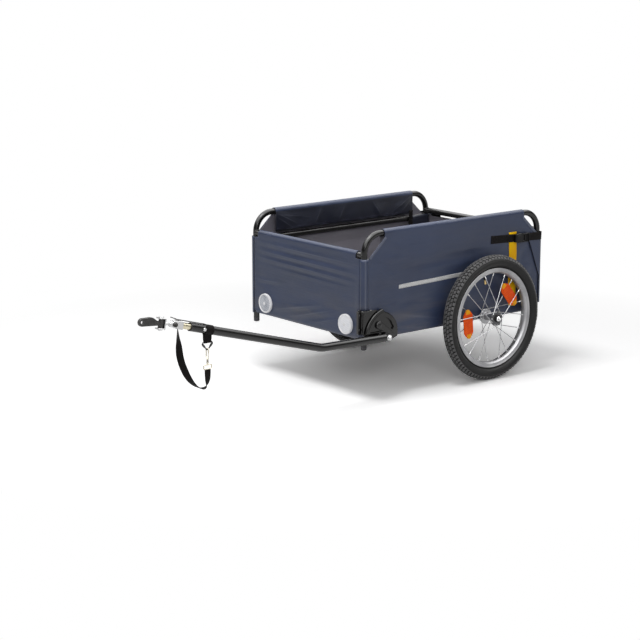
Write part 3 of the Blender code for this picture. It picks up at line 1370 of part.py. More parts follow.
def swivel_tube(hitch, joint):
    """The tube that turns in the drawbar, slotted for the bolt so that it can roll but not pull out."""
    start, end = (-SWIVEL_INSERT, 0, 0), (SWIVEL_SHOWN - GAP, 0, 0)
    made = rod("swivel_tube", start, end, SWIVEL_RADIUS, hitch, sides=24)
    ends = (-SWIVEL_INSERT - OVERSHOOT, 0, 0), (SWIVEL_BORE_END, 0, 0)
    cut(made, rod("swivel_bore", *ends, SWIVEL_BORE_RADIUS, hitch, sides=16))
    half = SWIVEL_BOLT_RADIUS + GAP
    reach = SWIVEL_RADIUS + OVERSHOOT
    opening = ROLL_LIMIT + asin(half / (SWIVEL_BORE_RADIUS * cos(pi / 16)))
    for side in (0, pi):
        wedge = [(0, 0), *arc((0, 0), reach, side - opening, side + opening, 10)]
        slot = plate("bolt_slot", wedge, -half, half, hitch, axis="Z")
        slot.data.transform(Matrix.Translation((-SWIVEL_BOLT_AT, 0, 0)) @ Matrix.Rotation(pi / 2, 4, "Y"))
        slot.data.transform(Matrix.Rotation(pi / 2, 4, "X"))
        cut(made, slot)
    part(made, "zinc", joint)


def hitch_fork(hitch, joint):
    """The forked block on the swivel, with a cheek each side of the pitch bolt."""
    start = SWIVEL_SHOWN
    block_end = start + FORK_BLOCK_LENGTH
    made = box(
        "hitch_fork",
        (start, -FORK_HALF_WIDTH, -FORK_BOTTOM),
        (block_end, FORK_HALF_WIDTH, FORK_TOP),
        hitch,
        corner=HITCH_CORNER,
    )
    radius = FORK_CHEEK_RADIUS
    for side in (1, -1):
        outline = [
            (block_end - FORK_CHEEK, radius),
            (block_end - FORK_CHEEK, -radius),
            *arc((FORK_REACH, 0), radius, -pi / 2, pi / 2, 8),
        ]
        edges = side * (FORK_HALF_WIDTH - FORK_CHEEK), side * (FORK_HALF_WIDTH - GAP)
        join(made, plate("fork_cheek", outline, *sorted(edges), hitch))
    hole = (FORK_REACH, -CUT_REACH, 0), (FORK_REACH, CUT_REACH, 0)
    cut(made, bore("pitch_hole", *hole, PITCH_BOLT_RADIUS + GAP, hitch, sides=16))
    part(made, "chrome", joint)


def hitch_shield(hitch, joint):
    """The thin strip over the swivel, from the drawbar's top to beyond the fork."""
    low = max(FORK_TOP, DRAWBAR_RADIUS) + GAP + SHIELD_THICKNESS / 2
    path = [
        (-SHIELD_BACK, low),
        (SWIVEL_SHOWN + FORK_BLOCK_LENGTH, low),
        (SHIELD_FRONT, low + SHIELD_TIP_LIFT),
    ]
    half = SHIELD_WIDTH / 2
    part(sheet("hitch_shield", path, -half, half, SHIELD_THICKNESS, hitch, "Y"), "black_paint", joint)


def cross_bolt(name, place, turn, grip, radius, nut_radius, nut_length, frame):
    """A bolt with a round head and a nut alike at its ends."""
    head = grip + nut_length
    profile = [
        (0, head),
        (nut_radius - NUT_CHAMFER, head),
        (nut_radius, head - NUT_CHAMFER),
        (nut_radius, grip),
        (radius, grip),
        (radius, -grip),
        (nut_radius, -grip),
        (nut_radius, -head + NUT_CHAMFER),
        (nut_radius - NUT_CHAMFER, -head),
        (0, -head),
    ]
    return turned(name, profile, 12, frame, place=place, turn=turn)


def pitch_bolt(hitch, joint):
    made = cross_bolt(
        "pitch_bolt",
        (FORK_REACH, 0, 0),
        (pi / 2, 0, 0),
        FORK_HALF_WIDTH + GAP,
        PITCH_BOLT_RADIUS,
        PITCH_NUT_RADIUS,
        PITCH_NUT_LENGTH,
        hitch,
    )
    part(made, "black_cast", joint)


def hitch_link(link, joint):
    """The rod between the pitch bolt and the clevis that holds the axle eye."""
    half_width = FORK_HALF_WIDTH - FORK_CHEEK - GAP
    made = rod("hitch_link", (0, -half_width, 0), (0, half_width, 0), LINK_EYE_RADIUS, link, sides=20)
    bar_ends = (LINK_EYE_RADIUS / 2, 0, 0), (CLEVIS_START + CLEVIS_PLATE / 2, 0, 0)
    bar = rod("link_rod", *bar_ends, LINK_ROD_RADIUS, link)
    high, wide = CLEVIS_HALF_HEIGHT, CLEVIS_HALF_WIDTH
    end = CLEVIS_START + CLEVIS_LENGTH
    clevis = box("clevis", (CLEVIS_START, -wide, -high), (end, wide, high), link, corner=HITCH_CORNER)
    mouth = high - CLEVIS_PLATE
    reach = CUT_REACH
    mouth_low, mouth_high = (CLEVIS_START + CLEVIS_PLATE, -reach, -mouth), (end + reach, reach, mouth)
    gap = box("clevis_mouth", mouth_low, mouth_high, link)
    holes = (
        bore("pitch_hole", (0, -reach, 0), (0, reach, 0), PITCH_BOLT_RADIUS + RUNNING_FIT, link, sides=16),
        bore("yaw_hole", (YAW_AT, 0, -reach), (YAW_AT, 0, reach), YAW_BOLT_RADIUS + GAP, link, sides=16),
    )
    part(cut(join(made, bar, clevis), gap, *holes), "chrome", joint)


def yaw_bolt(link, joint):
    made = cross_bolt(
        "yaw_bolt",
        (YAW_AT, 0, 0),
        (0, 0, 0),
        CLEVIS_HALF_HEIGHT + GAP,
        YAW_BOLT_RADIUS,
        YAW_NUT_RADIUS,
        YAW_NUT_LENGTH,
        link,
    )
    part(made, "chrome", joint)


def axle_eye(link, joint):
    """The cast eye that goes on the bicycle's rear axle: a barrel, a humped neck and a ring."""
    eye_x = YAW_AT + EYE_AT
    neck = YAW_AT + EYE_NECK_AT
    hump = YAW_AT + EYE_HUMP_AT
    outline = [
        (YAW_AT + EYE_ROOT, EYE_NECK_HALF),
        (YAW_AT + EYE_ROOT, -EYE_NECK_HALF),
        (neck, -EYE_NECK_HALF),
        *arc((eye_x, 0), EYE_RADIUS, radians(-105), radians(75), 12),
        (hump + EYE_HUMP_HALF, EYE_HUMP - EYE_HUMP_FALL),
        (hump, EYE_HUMP),
        (hump - EYE_HUMP_HALF, EYE_HUMP - EYE_HUMP_FALL),
        (neck, EYE_NECK_HALF),
    ]
    half = EYE_THICKNESS / 2
    made = plate("axle_eye", outline, -half, half, link)
    barrel = CLEVIS_HALF_HEIGHT - CLEVIS_PLATE - GAP
    ends = (YAW_AT, 0, -barrel), (YAW_AT, 0, barrel)
    join(made, rod("eye_barrel", *ends, EYE_BARREL_RADIUS, link, sides=20))
    axle = (eye_x, -CUT_REACH, 0), (eye_x, CUT_REACH, 0)
    yaw = (YAW_AT, 0, -CUT_REACH), (YAW_AT, 0, CUT_REACH)
    cut(
        made,
        bore("axle_hole", *axle, EYE_HOLE_RADIUS, link, sides=20),
        bore("yaw_hole", *yaw, YAW_BOLT_RADIUS + RUNNING_FIT, link, sides=16),
    )
    part(made, "black_cast", joint)


# Safety strap


def strap_loop(hitch, frame, joint):
    """Webbing wrapped round the drawbar, with a tab down to the ring."""
    radius = DRAWBAR_RADIUS + GAP + LOOP_CLOTH / 2
    low, high = -LOOP_AT - LOOP_WIDTH / 2, -LOOP_AT + LOOP_WIDTH / 2
    loop = arc((0, 0), radius, radians(-60), radians(240), 16)
    made = sheet("strap_loop", loop, low, high, LOOP_CLOTH, hitch, "X")
    inner = RING_WIRE + GAP + LOOP_CLOTH / 2
    top = DRAWBAR_END_Z - LOOP_AT * sin(DRAWBAR_RISE) - DRAWBAR_RADIUS * 0.4
    spread = radius * cos(radians(60))
    fold = arc((0, RING_BAR_Z), inner, pi, 2 * pi, 6)
    tab = [(-spread, top), (-inner, top - 0.010), *fold, (inner, top - 0.010), (spread, top)]
    tab = [(DRAWBAR_Y + y, z) for y, z in tab]
    half = LOOP_WIDTH / 2 - 0.001
    join(made, sheet("loop_tab", tab, RING_X - half, RING_X + half, LOOP_CLOTH, frame, "X"))
    core = (-LOOP_AT - LOOP_WIDTH, 0, 0), (-LOOP_AT + LOOP_WIDTH, 0, 0)
    cut(made, bore("drawbar_core", *core, DRAWBAR_RADIUS + GAP, hitch))
    part(made, "black_webbing", joint)


def ring_path():
    """The ring's centreline: a triangle with its bar level and its point down."""
    corners = [
        (RING_X, RING_BAR_Z),
        (RING_X + RING_HALF_WIDTH, RING_BAR_Z),
        (RING_X, RING_BAR_Z - RING_DROP),
        (RING_X - RING_HALF_WIDTH, RING_BAR_Z),
        (RING_X, RING_BAR_Z),
    ]
    points = rounded([(x, DRAWBAR_Y, z) for x, z in corners], RING_CORNER, 5)
    return points[:-1]


def strap_ring(frame, joint):
    part(tube("strap_ring", ring_path(), RING_WIRE, frame, 8, closed=True), "black_paint", joint)


def snap_hook(frame, joint):
    """The hook: a wire bent over the ring's point, a neck, and a flat loop for the strap."""
    bend = HOOK_BEND_RADIUS
    arch = arc((DRAWBAR_Y, HOOK_ARCH_Z), bend, pi, 0, 10)
    crook = [
        (DRAWBAR_Y, HOOK_NECK_TOP_Z - 0.002),
        (DRAWBAR_Y, HOOK_NECK_TOP_Z + 0.001),
        (DRAWBAR_Y - bend, HOOK_NECK_TOP_Z + 0.007),
        *arch,
        (DRAWBAR_Y + bend, HOOK_TIP_Z),
    ]
    made = tube("snap_hook", [(RING_X, y, z) for y, z in crook], HOOK_WIRE, frame, 8)
    low = (RING_X, DRAWBAR_Y, HOOK_LOOP_TOP_Z - 0.001)
    neck = rod("hook_neck", low, (RING_X, DRAWBAR_Y, HOOK_NECK_TOP_Z), HOOK_NECK_RADIUS, frame, sides=10)
    half, bottom = HOOK_LOOP_HALF_WIDTH, HOOK_LOOP_TOP_Z - HOOK_LOOP_HEIGHT
    corners = [
        (RING_X, HOOK_LOOP_TOP_Z),
        (RING_X + half, HOOK_LOOP_TOP_Z),
        (RING_X + half, bottom),
        (RING_X - half, bottom),
        (RING_X - half, HOOK_LOOP_TOP_Z),
        (RING_X, HOOK_LOOP_TOP_Z),
    ]
    loop = rounded([(x, DRAWBAR_Y, z) for x, z in corners], HOOK_LOOP_CORNER, 3)[:-1]
    join(made, neck, tube("hook_loop", loop, HOOK_WIRE, frame, 8, closed=True))
    part(made, "chrome", joint)


def hook_gate(frame, joint):
    """The sprung wire that closes the hook's mouth, pivoted on the neck."""
    tip = (RING_X, DRAWBAR_Y + HOOK_BEND_RADIUS, HOOK_TIP_Z - GAP - HOOK_GATE_RADIUS * 0.3)
    pivot = (RING_X, HOOK_GATE_PIVOT_Y, HOOK_GATE_PIVOT_Z)
    part(rod("hook_gate", pivot, tip, HOOK_GATE_RADIUS, frame, sides=8), "chrome", joint)


def safety_strap(frame):
    """The hanging webbing from the fork to the hook, twisting as it falls."""
    top = (STRAP_TOP_X, STRAP_TOP_Z - STRAP_TOP_DROP, STRAP_TOP_TURN)
    run = [(RING_X + x, RING_BAR_Z + z, turn) for x, z, turn in STRAP_RUN]
    route = [top, *run, (RING_X, STRAP_HOOK_Z, 0)]
    bm = bmesh.new()
    left, right = [], []
    points = [Vector((x, DRAWBAR_Y, z)) for x, z, _ in route]
    for i, (point, (_, _, turn)) in enumerate(zip(points, route)):
        along = (points[min(i + 1, len(points) - 1)] - points[max(i - 1, 0)]).normalized()
        width = Vector((cos(radians(turn)), sin(radians(turn)), 0))
        width = (width - along * width.dot(along)).normalized() * STRAP_WIDTH / 2
        left.append(bm.verts.new(point - width))
        right.append(bm.verts.new(point + width))
    for i in range(len(points) - 1):
        bm.faces.new((left[i], right[i], right[i + 1], left[i + 1]))
    made = solid("safety_strap", mesh_of(bm, "safety_strap"), frame)
    wall = made.modifiers.new("Thickness", "SOLIDIFY")
    wall.thickness = STRAP_THICKNESS
    wall.offset = 0
    wall.use_even_offset = True
    part(made, "black_webbing")


# Assembly

SIDE_NAMES = {1: "left", -1: "right"}
clear_scene()
TRAILER = collection("bicycle_trailer")
HELPERS = collection("helpers")


def build_frame(trailer):
    for side in (1, -1):
        hoop(side, trailer)
        part(side_rail(side, MID_RAIL_Z, "mid_rail", trailer), "black_paint")
        lower_rail(side, trailer)
        foot_cap(side, FRONT_POST_X, "front", trailer)
        foot_cap(side, REAR_POST_X, "rear", trailer)
    top_cross_tube(FRONT_POST_X, "front_top_cross_tube", trailer)
    top_cross_tube(REAR_POST_X, "rear_top_cross_tube", trailer)
    lower_cross_tube(FRONT_POST_X, "front_lower_cross_tube", trailer)
    lower_cross_tube(REAR_POST_X, "rear_lower_cross_tube", trailer)
    axle_cross_tube(trailer)
    floor_board(trailer)


def build_box(trailer):
    gate = empty("tailgate_hinge", (REAR_POST_X, 0, LOWER_RAIL_Z), trailer)
    straps = {
        side: empty(
            f"{SIDE_NAMES[side]}_strap_frame",
            (STRAP_FRONT_X, side * PANEL_Y, STRAP_FRONT_Z),
            trailer,
            (0, -STRAP_FALL, 0),
        )
        for side in (1, -1)
    }
    front_panel(trailer)
    tailgate_panel(trailer, gate, straps)
    safety_pennant(trailer)
    for side in (1, -1):
        side_panel(side, trailer, straps[side])
        buckle_socket(side, straps[side])
        buckle_plug(side, straps[side], gate)
        box_reflector(side, True, trailer)
        box_reflector(side, False, trailer, gate)


def build_drawbar(trailer):
    fold = empty("drawbar_pivot", (PIVOT_X, DRAWBAR_Y, PIVOT_Z), trailer)
    lever = empty("lever_pivot", (LEVER_X, SECTOR_FACE_Y, LEVER_Z), trailer)
    roll = empty("roll_axis", (DRAWBAR_END_X, DRAWBAR_Y, DRAWBAR_END_Z), trailer, (0, -DRAWBAR_RISE, 0))
    pitch = empty("pitch_axis", (PITCH_X, DRAWBAR_Y, PITCH_Z), trailer, (0, -LINK_RISE, 0))
    yaw = empty("yaw_axis", (YAW_X, DRAWBAR_Y, YAW_Z), trailer, (0, -LINK_RISE, 0))
    swing = empty("ring_axis", (RING_X, DRAWBAR_Y, RING_BAR_Z), trailer)
    gate = empty("gate_axis", (RING_X, HOOK_GATE_PIVOT_Y, HOOK_GATE_PIVOT_Z), trailer)
    bracket_housing(trailer)
    post_clamp(trailer)
    sector_plate(trailer, fold)
    lock_lever(trailer, lever)
    pivot_bolt(trailer, None)
    drawbar_tube(trailer, fold)
    swivel_bolt(roll, fold)
    swivel_tube(roll, roll)
    hitch_fork(roll, roll)
    hitch_shield(roll, roll)
    pitch_bolt(roll, roll)
    hitch_link(pitch, pitch)
    yaw_bolt(pitch, pitch)
    axle_eye(pitch, yaw)
    strap_loop(roll, trailer, fold)
    strap_ring(trailer, swing)
    snap_hook(trailer, swing)
    hook_gate(trailer, gate)
    safety_strap(trailer)


def build_trailer():
    trailer = empty("trailer_frame", (AXLE_X, 0, 0))
    build_frame(trailer)
    build_box(trailer)
    for side in (1, -1):
        wheel(side, trailer)
    build_drawbar(trailer)


build_trailer()
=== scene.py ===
# The finished cargo trailer: looks for every piece, in the order that the real one is put together.
# Lengths are in metres. X runs forwards from the wheel axle, Y to the trailer's left, Z up from the ground.

import json
from math import asin, atan2, ceil, cos, degrees, exp, hypot, pi, radians, sin, tan

import bmesh
import bpy
from mathutils import Matrix, Vector, noise

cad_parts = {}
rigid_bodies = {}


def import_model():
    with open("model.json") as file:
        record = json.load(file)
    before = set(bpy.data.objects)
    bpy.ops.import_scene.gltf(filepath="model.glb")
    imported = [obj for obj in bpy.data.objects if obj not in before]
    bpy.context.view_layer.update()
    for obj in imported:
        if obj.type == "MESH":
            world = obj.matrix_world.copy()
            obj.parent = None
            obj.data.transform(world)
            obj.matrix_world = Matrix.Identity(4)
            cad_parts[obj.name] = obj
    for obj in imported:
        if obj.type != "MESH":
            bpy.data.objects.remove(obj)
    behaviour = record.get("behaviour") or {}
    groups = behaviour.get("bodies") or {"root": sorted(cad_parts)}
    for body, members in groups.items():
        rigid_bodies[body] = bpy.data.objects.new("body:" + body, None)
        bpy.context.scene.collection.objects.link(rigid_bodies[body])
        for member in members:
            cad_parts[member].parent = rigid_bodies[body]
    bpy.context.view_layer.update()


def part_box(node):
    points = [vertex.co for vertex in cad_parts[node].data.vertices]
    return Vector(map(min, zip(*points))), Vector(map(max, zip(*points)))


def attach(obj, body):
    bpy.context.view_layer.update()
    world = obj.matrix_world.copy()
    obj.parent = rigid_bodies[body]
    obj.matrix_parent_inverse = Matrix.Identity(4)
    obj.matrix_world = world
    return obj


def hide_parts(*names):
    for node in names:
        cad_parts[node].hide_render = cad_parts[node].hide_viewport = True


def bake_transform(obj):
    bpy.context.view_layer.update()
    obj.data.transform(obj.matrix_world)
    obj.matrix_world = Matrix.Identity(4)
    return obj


for startup_object in list(bpy.data.objects):
    bpy.data.objects.remove(startup_object)
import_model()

# Camera, floor and lights
# A white studio: a soft lamp overhead, another beside the camera, and an even surround. Shiny surfaces
# show a bright ceiling, grey walls and the white floor, which keeps the shadow and fades into the surround.


def in_scene(name, data):
    made = bpy.data.objects.new(name, data)
    bpy.context.scene.collection.objects.link(made)
    return made


camera = in_scene("camera", bpy.data.cameras.new("camera"))
camera.location = (3.4889, 4.3684, 1.4415)
camera.rotation_euler = (pi / 2 - radians(12.41), 0, radians(140.72))
camera.data.sensor_width = 36
camera.data.lens = 103.8
bpy.context.scene.camera = camera
bpy.context.scene.view_settings.view_transform = "Standard"


def soft_lamp(name, place, target, width, height, power):
    data = bpy.data.lights.new(name, "AREA")
    data.shape = "RECTANGLE"
    data.size = width
    data.size_y = height
    data.energy = power
    lamp = in_scene(name, data)
    lamp.location = place
    lamp.rotation_euler = (Vector(target) - Vector(place)).to_track_quat("-Z", "Y").to_euler()


soft_lamp("overhead_softbox", (0.6, 0.2, 2.7), (-0.2, 0, 0.2), 1.2, 0.8, 28)
soft_lamp("camera_side_softbox", (2.2, 3.4, 2.0), (-0.1, 0, 0.3), 1.6, 1.0, 30)


def node(tree, kind, inputs=None, **settings):
    """A shader node with its settings, and its inputs given as values or as other nodes' outputs."""
    made = tree.nodes.new("ShaderNode" + kind)
    for name, value in settings.items():
        setattr(made, name, value)
    for name, value in (inputs or {}).items():
        if isinstance(value, bpy.types.NodeSocket):
            tree.links.new(value, made.inputs[name])
        else:
            made.inputs[name].default_value = value
    return made


def maths(tree, how, first, second=0.5):
    """What a sum gives for one or two numbers or other nodes' outputs."""
    return node(tree, "Math", {0: first, 1: second}, operation=how).outputs[0]


def span(tree, value, low, high, start=0.35, end=0.65):
    """A number between two ends, as the value goes from start to end."""
    inputs = {"Value": value, "From Min": start, "From Max": end, "To Min": low, "To Max": high}
    return node(tree, "MapRange", inputs).outputs[0]


def seen_rays(tree):
    """1 for rays that show the surround itself: from the camera, a mirror or glass."""
    rays = node(tree, "LightPath").outputs
    shown = maths(tree, "MAXIMUM", rays["Is Camera Ray"], rays["Is Glossy Ray"])
    return maths(tree, "MAXIMUM", shown, rays["Is Transmission Ray"])


def by_height(tree, height, heights, strengths):
    """A strength that runs in straight steps through the given ones, from one height to the next."""
    result = strengths[0]
    for i in range(1, len(heights)):
        result = span(tree, height, result, strengths[i], heights[i - 1], heights[i])
    return result


surround = bpy.data.worlds.new("white_surround")
bpy.context.scene.world = surround
surround.use_nodes = True
tree = surround.node_tree
background = tree.nodes["Background"]
background.inputs["Color"].default_value = (1, 1, 1, 1)
upwards = node(tree, "SeparateXYZ", {0: node(tree, "TexCoord").outputs["Generated"]}).outputs["Z"]
room = by_height(tree, upwards, (0.02, 0.12, 0.42, 0.70), (1.0, 0.10, 0.20, 4.6))
strength = span(tree, seen_rays(tree), 0.42, room, 0, 1)
strength = span(tree, node(tree, "LightPath").outputs["Is Camera Ray"], strength, 1, 0, 1)
tree.links.new(strength, background.inputs["Strength"])

floor = in_scene("studio_floor", bpy.data.meshes.new("studio_floor"))
floor.data.from_pydata([(-9, -9, 0), (9, -9, 0), (9, 9, 0), (-9, 9, 0)], [], [(0, 1, 2, 3)])
paper = bpy.data.materials.new("white_studio_paper")
paper.use_nodes = True
tree = paper.node_tree
tree.nodes.clear()
diffuse = node(tree, "BsdfDiffuse", {"Color": (0.90, 0.90, 0.90, 1)})
extra = node(tree, "BsdfDiffuse", {"Color": (0.60, 0.60, 0.60, 1)})
lifted = node(tree, "AddShader", {0: diffuse.outputs[0], 1: extra.outputs[0]})
away = node(tree, "Mapping", {"Vector": node(tree, "TexCoord").outputs["Object"], "Location": (0.3, 0, 0)})
away = node(tree, "VectorMath", {0: away.outputs[0]}, operation="LENGTH").outputs["Value"]
fade = span(tree, away, 0, 1, 1.0, 1.6)
white = node(tree, "Emission", {"Color": (1, 1, 1, 1), "Strength": 1.0})
lifted = node(tree, "MixShader", {0: fade, 1: lifted.outputs[0], 2: white.outputs[0]})
shown = node(tree, "MixShader", {0: seen_rays(tree), 1: diffuse.outputs[0], 2: lifted.outputs[0]})
node(tree, "OutputMaterial", {"Surface": shown.outputs[0]})
floor.data.materials.append(paper)

# Frame tubes
# Two hoops, each bent from one 19 mm steel tube, are welded together by straight cross tubes and side rails.
# All are powder coated satin black after welding, beads and all.
TUBE = 0.0095
FRONT_POST_X = 0.491
REAR_POST_X = -0.242
POST_Y = 0.265
TOP_RAIL_Z = 0.509
TOP_CROSS_Z = 0.447
MID_RAIL_Z = 0.427
AXLE_Z = 0.1995
POST_END_Z = 0.1723
BEND_RADIUS = 0.060
WELD_GAP = 0.003
SIDES = {"left": 1, "right": -1}

wheel_low, wheel_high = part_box("left_tyre")
AXLE_X = (wheel_low[0] + wheel_high[0]) / 2


def piece(name, bm, smooth_under=40, closed=True):
    """A new object from the mesh, which is written with X measured from the axle."""
    if closed:
        bmesh.ops.recalc_face_normals(bm, faces=bm.faces)
    mesh = bpy.data.meshes.new(name)
    bm.to_mesh(mesh)
    bm.free()
    made = in_scene(name, mesh)
    made.location.x = AXLE_X
    mesh.shade_smooth()
    if smooth_under:
        mesh.set_sharp_from_angle(angle=radians(smooth_under))
    return made


def fit(made, body, material, slot, *nodes):
    """Gives the piece its material and makes it ride on its body in place of its solids; its slot is not
    used.
    """
    made.data.materials.append(material)
    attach(made, body)
    if nodes:
        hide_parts(*nodes)
    return made


def rings_along(path, closed=False):
    """The direction and two cross directions at each point of a path, carried along without twist."""
    last = len(path) - 1
    side = None
    for i, place in enumerate(path):
        before = path[i - 1] if i or closed else path[0]
        after = path[(i + 1) % len(path)] if i < last or closed else path[last]
        along = (after - before).normalized()
        if side is None:
            side = along.orthogonal().normalized()
        side = (side - along * side.dot(along)).normalized()
        yield place, side, along.cross(side)


def join_rings(bm, rings, closed=False):
    """Faces between each ring of points and the next, with a cap on both ends or round to the first ring."""
    for ring, following in zip(rings, rings[1:] + rings[:1] if closed else rings[1:]):
        for i in range(len(ring)):
            j = (i + 1) % len(ring)
            bm.faces.new((ring[i], ring[j], following[j], following[i]))
    if not closed:
        bm.faces.new(rings[0])
        bm.faces.new(rings[-1])


def circle(sides):
    return [2 * pi * i / sides for i in range(sides)]


def add_tube(bm, path, radius, sides=24, closed=False):
    """A round bar along the path; the radius may be a list with one value for each point."""
    path = [Vector(place) for place in path]
    radii = radius if isinstance(radius, list) else [radius] * len(path)
    rings = []
    for (place, across, up), size in zip(rings_along(path, closed), radii):
        rings.append([bm.verts.new(place + size * (cos(t) * across + sin(t) * up)) for t in circle(sides)])
    join_rings(bm, rings, closed)


def arc(centre, radius, start, end, steps):
    """Points of a flat arc, with its angles in degrees."""
    turns = [radians(start + (end - start) * i / steps) for i in range(steps + 1)]
    return [(centre[0] + radius * cos(t), centre[1] + radius * sin(t)) for t in turns]


def rounded(points, radius, steps):
    """The path with each inner corner turned into an arc of the radius."""
    path = [Vector(points[0])]
    for before, corner, after in zip(points, points[1:], points[2:]):
        corner = Vector(corner)
        back = (Vector(before) - corner).normalized()
        ahead = (Vector(after) - corner).normalized()
        half = back.angle(ahead) / 2
        centre = corner + (back + ahead).normalized() * radius / sin(half)
        start = corner + back * radius / tan(half) - centre
        end = corner + ahead * radius / tan(half) - centre
        sweep = start.angle(end)
        axis = start.cross(end)
        path += [centre + Matrix.Rotation(sweep * i / steps, 3, axis) @ start for i in range(steps + 1)]
    path.append(Vector(points[-1]))
    return path


def socket_name(key):
    return key.replace("_", " ").title().replace("Ior", "IOR")


def new_material(name, **sockets):
    """A material with one main shader; uniform values go straight on its sockets."""
    made = bpy.data.materials.new(name)
    made.use_nodes = True
    shader = made.node_tree.nodes["Principled BSDF"]
    for key, value in sockets.items():
        shader.inputs[socket_name(key)].default_value = value
    return made, made.node_tree, shader


def object_place(tree, scale=(1, 1, 1)):
    coordinates = node(tree, "TexCoord").outputs["Object"]
    return node(tree, "Mapping", {"Vector": coordinates, "Scale": scale}).outputs[0]


def cloudy(tree, scale, detail=3.0, stretch=(1, 1, 1), roughness=0.5):
    """Soft noise about the middle value 0.5."""
    inputs = {"Vector": object_place(tree, stretch), "Scale": scale, "Detail": detail, "Roughness": roughness}
    return node(tree, "TexNoise", inputs).outputs["Fac"]


def ramp(tree, value, low, high, start=0.35, end=0.65):
    """Colours or greys between two ends, as the value goes from start to end."""
    made = node(tree, "ValToRGB", {"Fac": value})
    for element, position, colour in zip(made.color_ramp.elements, (start, end), (low, high)):
        element.position = position
        element.color = (*colour, 1) if hasattr(colour, "__len__") else (colour, colour, colour, 1)
    return made.outputs["Color"]


def mixed(tree, share, first, second, kind="MIX"):
    """Two colours mixed by the share of the second."""
    colours = [(*c, 1) if isinstance(c, tuple) else c for c in (first, second)]
    inputs = {0: share, 6: colours[0], 7: colours[1]}
    return node(tree, "Mix", inputs, data_type="RGBA", blend_type=kind).outputs[2]


def bump(tree, height, strength, distance, normal=None):
    inputs = {"Height": height, "Strength": strength, "Distance": distance}
    if normal:
        inputs["Normal"] = normal
    return node(tree, "Bump", inputs).outputs[0]


def connect(tree, shader, **outputs):
    for key, output in outputs.items():
        tree.links.new(output, shader.inputs[socket_name(key)])


def powder_coat():
    """Satin black powder coat: a faint orange peel, dust in places, and edges rubbed a little paler."""
    made, tree, shader = new_material("satin_black_powder_coat", specular_ior_level=0.42)
    dust = cloudy(tree, 9, 4)
    base = ramp(tree, dust, (0.0022, 0.0021, 0.0021), (0.0052, 0.0049, 0.0049))
    worn = span(tree, node(tree, "NewGeometry").outputs["Pointiness"], 0, 1, 0.53, 0.62)
    connect(tree, shader, base_color=mixed(tree, worn, base, (0.022, 0.021, 0.021)))
    connect(tree, shader, roughness=span(tree, dust, 0.16, 0.25))
    connect(tree, shader, normal=bump(tree, cloudy(tree, 1400, 2), 0.06, 0.0004))
    return made


black_paint = powder_coat()


def weld_bead(bm, place, along, outwards):
    """A rippled bead round a tube's end, where the tube runs into an upright post of the same width."""
    across = Vector(along).cross(Vector((0, 0, 1))).normalized()
    path = []
    for turn in circle(72):
        reach = -TUBE * abs(cos(turn)) * outwards
        offset = across * sin(turn) * TUBE + Vector((0, 0, cos(turn) * TUBE)) + Vector(along) * reach
        path.append(Vector(place) + offset)
    add_tube(bm, path, [0.0016 + 0.0003 * sin(i * 2.2) for i in range(72)], 8, closed=True)


def welded_tube(name, start, end, node_name):
    bm = bmesh.new()
    add_tube(bm, [start, end], TUBE, 32)
    fit(piece(name, bm), "trailer", black_paint, "black_paint", node_name)


rail_rear = REAR_POST_X + WELD_GAP
rail_front = FRONT_POST_X - WELD_GAP
for side_name, side in SIDES.items():
    y = side * POST_Y
    corners = [(FRONT_POST_X, y, z) for z in (POST_END_Z, TOP_RAIL_Z)]
    corners += [(REAR_POST_X, y, z) for z in (TOP_RAIL_Z, POST_END_Z)]
    bm = bmesh.new()
    add_tube(bm, rounded(corners, BEND_RADIUS, 24), TUBE, 32)
    for x, outwards in ((FRONT_POST_X, 1), (REAR_POST_X, -1)):
        for z in (MID_RAIL_Z, AXLE_Z):
            weld_bead(bm, (x, y, z), (1, 0, 0), outwards)
        for z in (TOP_CROSS_Z, AXLE_Z):
            weld_bead(bm, (x, y, z), (0, 1, 0), side)
    fit(piece(f"{side_name}_hoop_tube", bm), "trailer", black_paint, "black_paint", f"{side_name}_hoop")
    rail = (rail_rear, y, MID_RAIL_Z), (rail_front, y, MID_RAIL_Z)
    welded_tube(f"{side_name}_mid_tube", *rail, f"{side_name}_mid_rail")

# The lower side rails carry the board and the wheels: a receiver through each takes the wheel's axle pin.
RECEIVER = 0.009
RECEIVER_END_Y = 0.2822
for side_name, side in SIDES.items():
    bm = bmesh.new()
    y = side * POST_Y
    add_tube(bm, [(rail_rear, y, AXLE_Z), (rail_front, y, AXLE_Z)], TUBE, 32)
    barrel = [(POST_Y, RECEIVER), (RECEIVER_END_Y - 0.0006, RECEIVER), (RECEIVER_END_Y, RECEIVER - 0.0006)]
    places = [(0, side * reach, AXLE_Z) for reach, _ in barrel]
    add_tube(bm, places, [radius for _, radius in barrel], 32)
    made = piece(f"{side_name}_lower_tube", bm)
    fit(made, "trailer", black_paint, "black_paint", f"{side_name}_lower_rail")

for name, x, z in (
    ("front_top_cross_tube", FRONT_POST_X, TOP_CROSS_Z),
    ("rear_top_cross_tube", REAR_POST_X, TOP_CROSS_Z),
    ("front_lower_cross_tube", FRONT_POST_X, AXLE_Z),
    ("rear_lower_cross_tube", REAR_POST_X, AXLE_Z),
    ("axle_cross_tube", 0, AXLE_Z),
):
    end = POST_Y - WELD_GAP
    welded_tube(name + "_bar", (x, -end, z), (x, end, z), name)

# Foot caps
# Each post ends in a ribbed grey plastic foot, pressed into the tube.
FOOT_Z = 0.158
FOOT_HEIGHT = 0.014


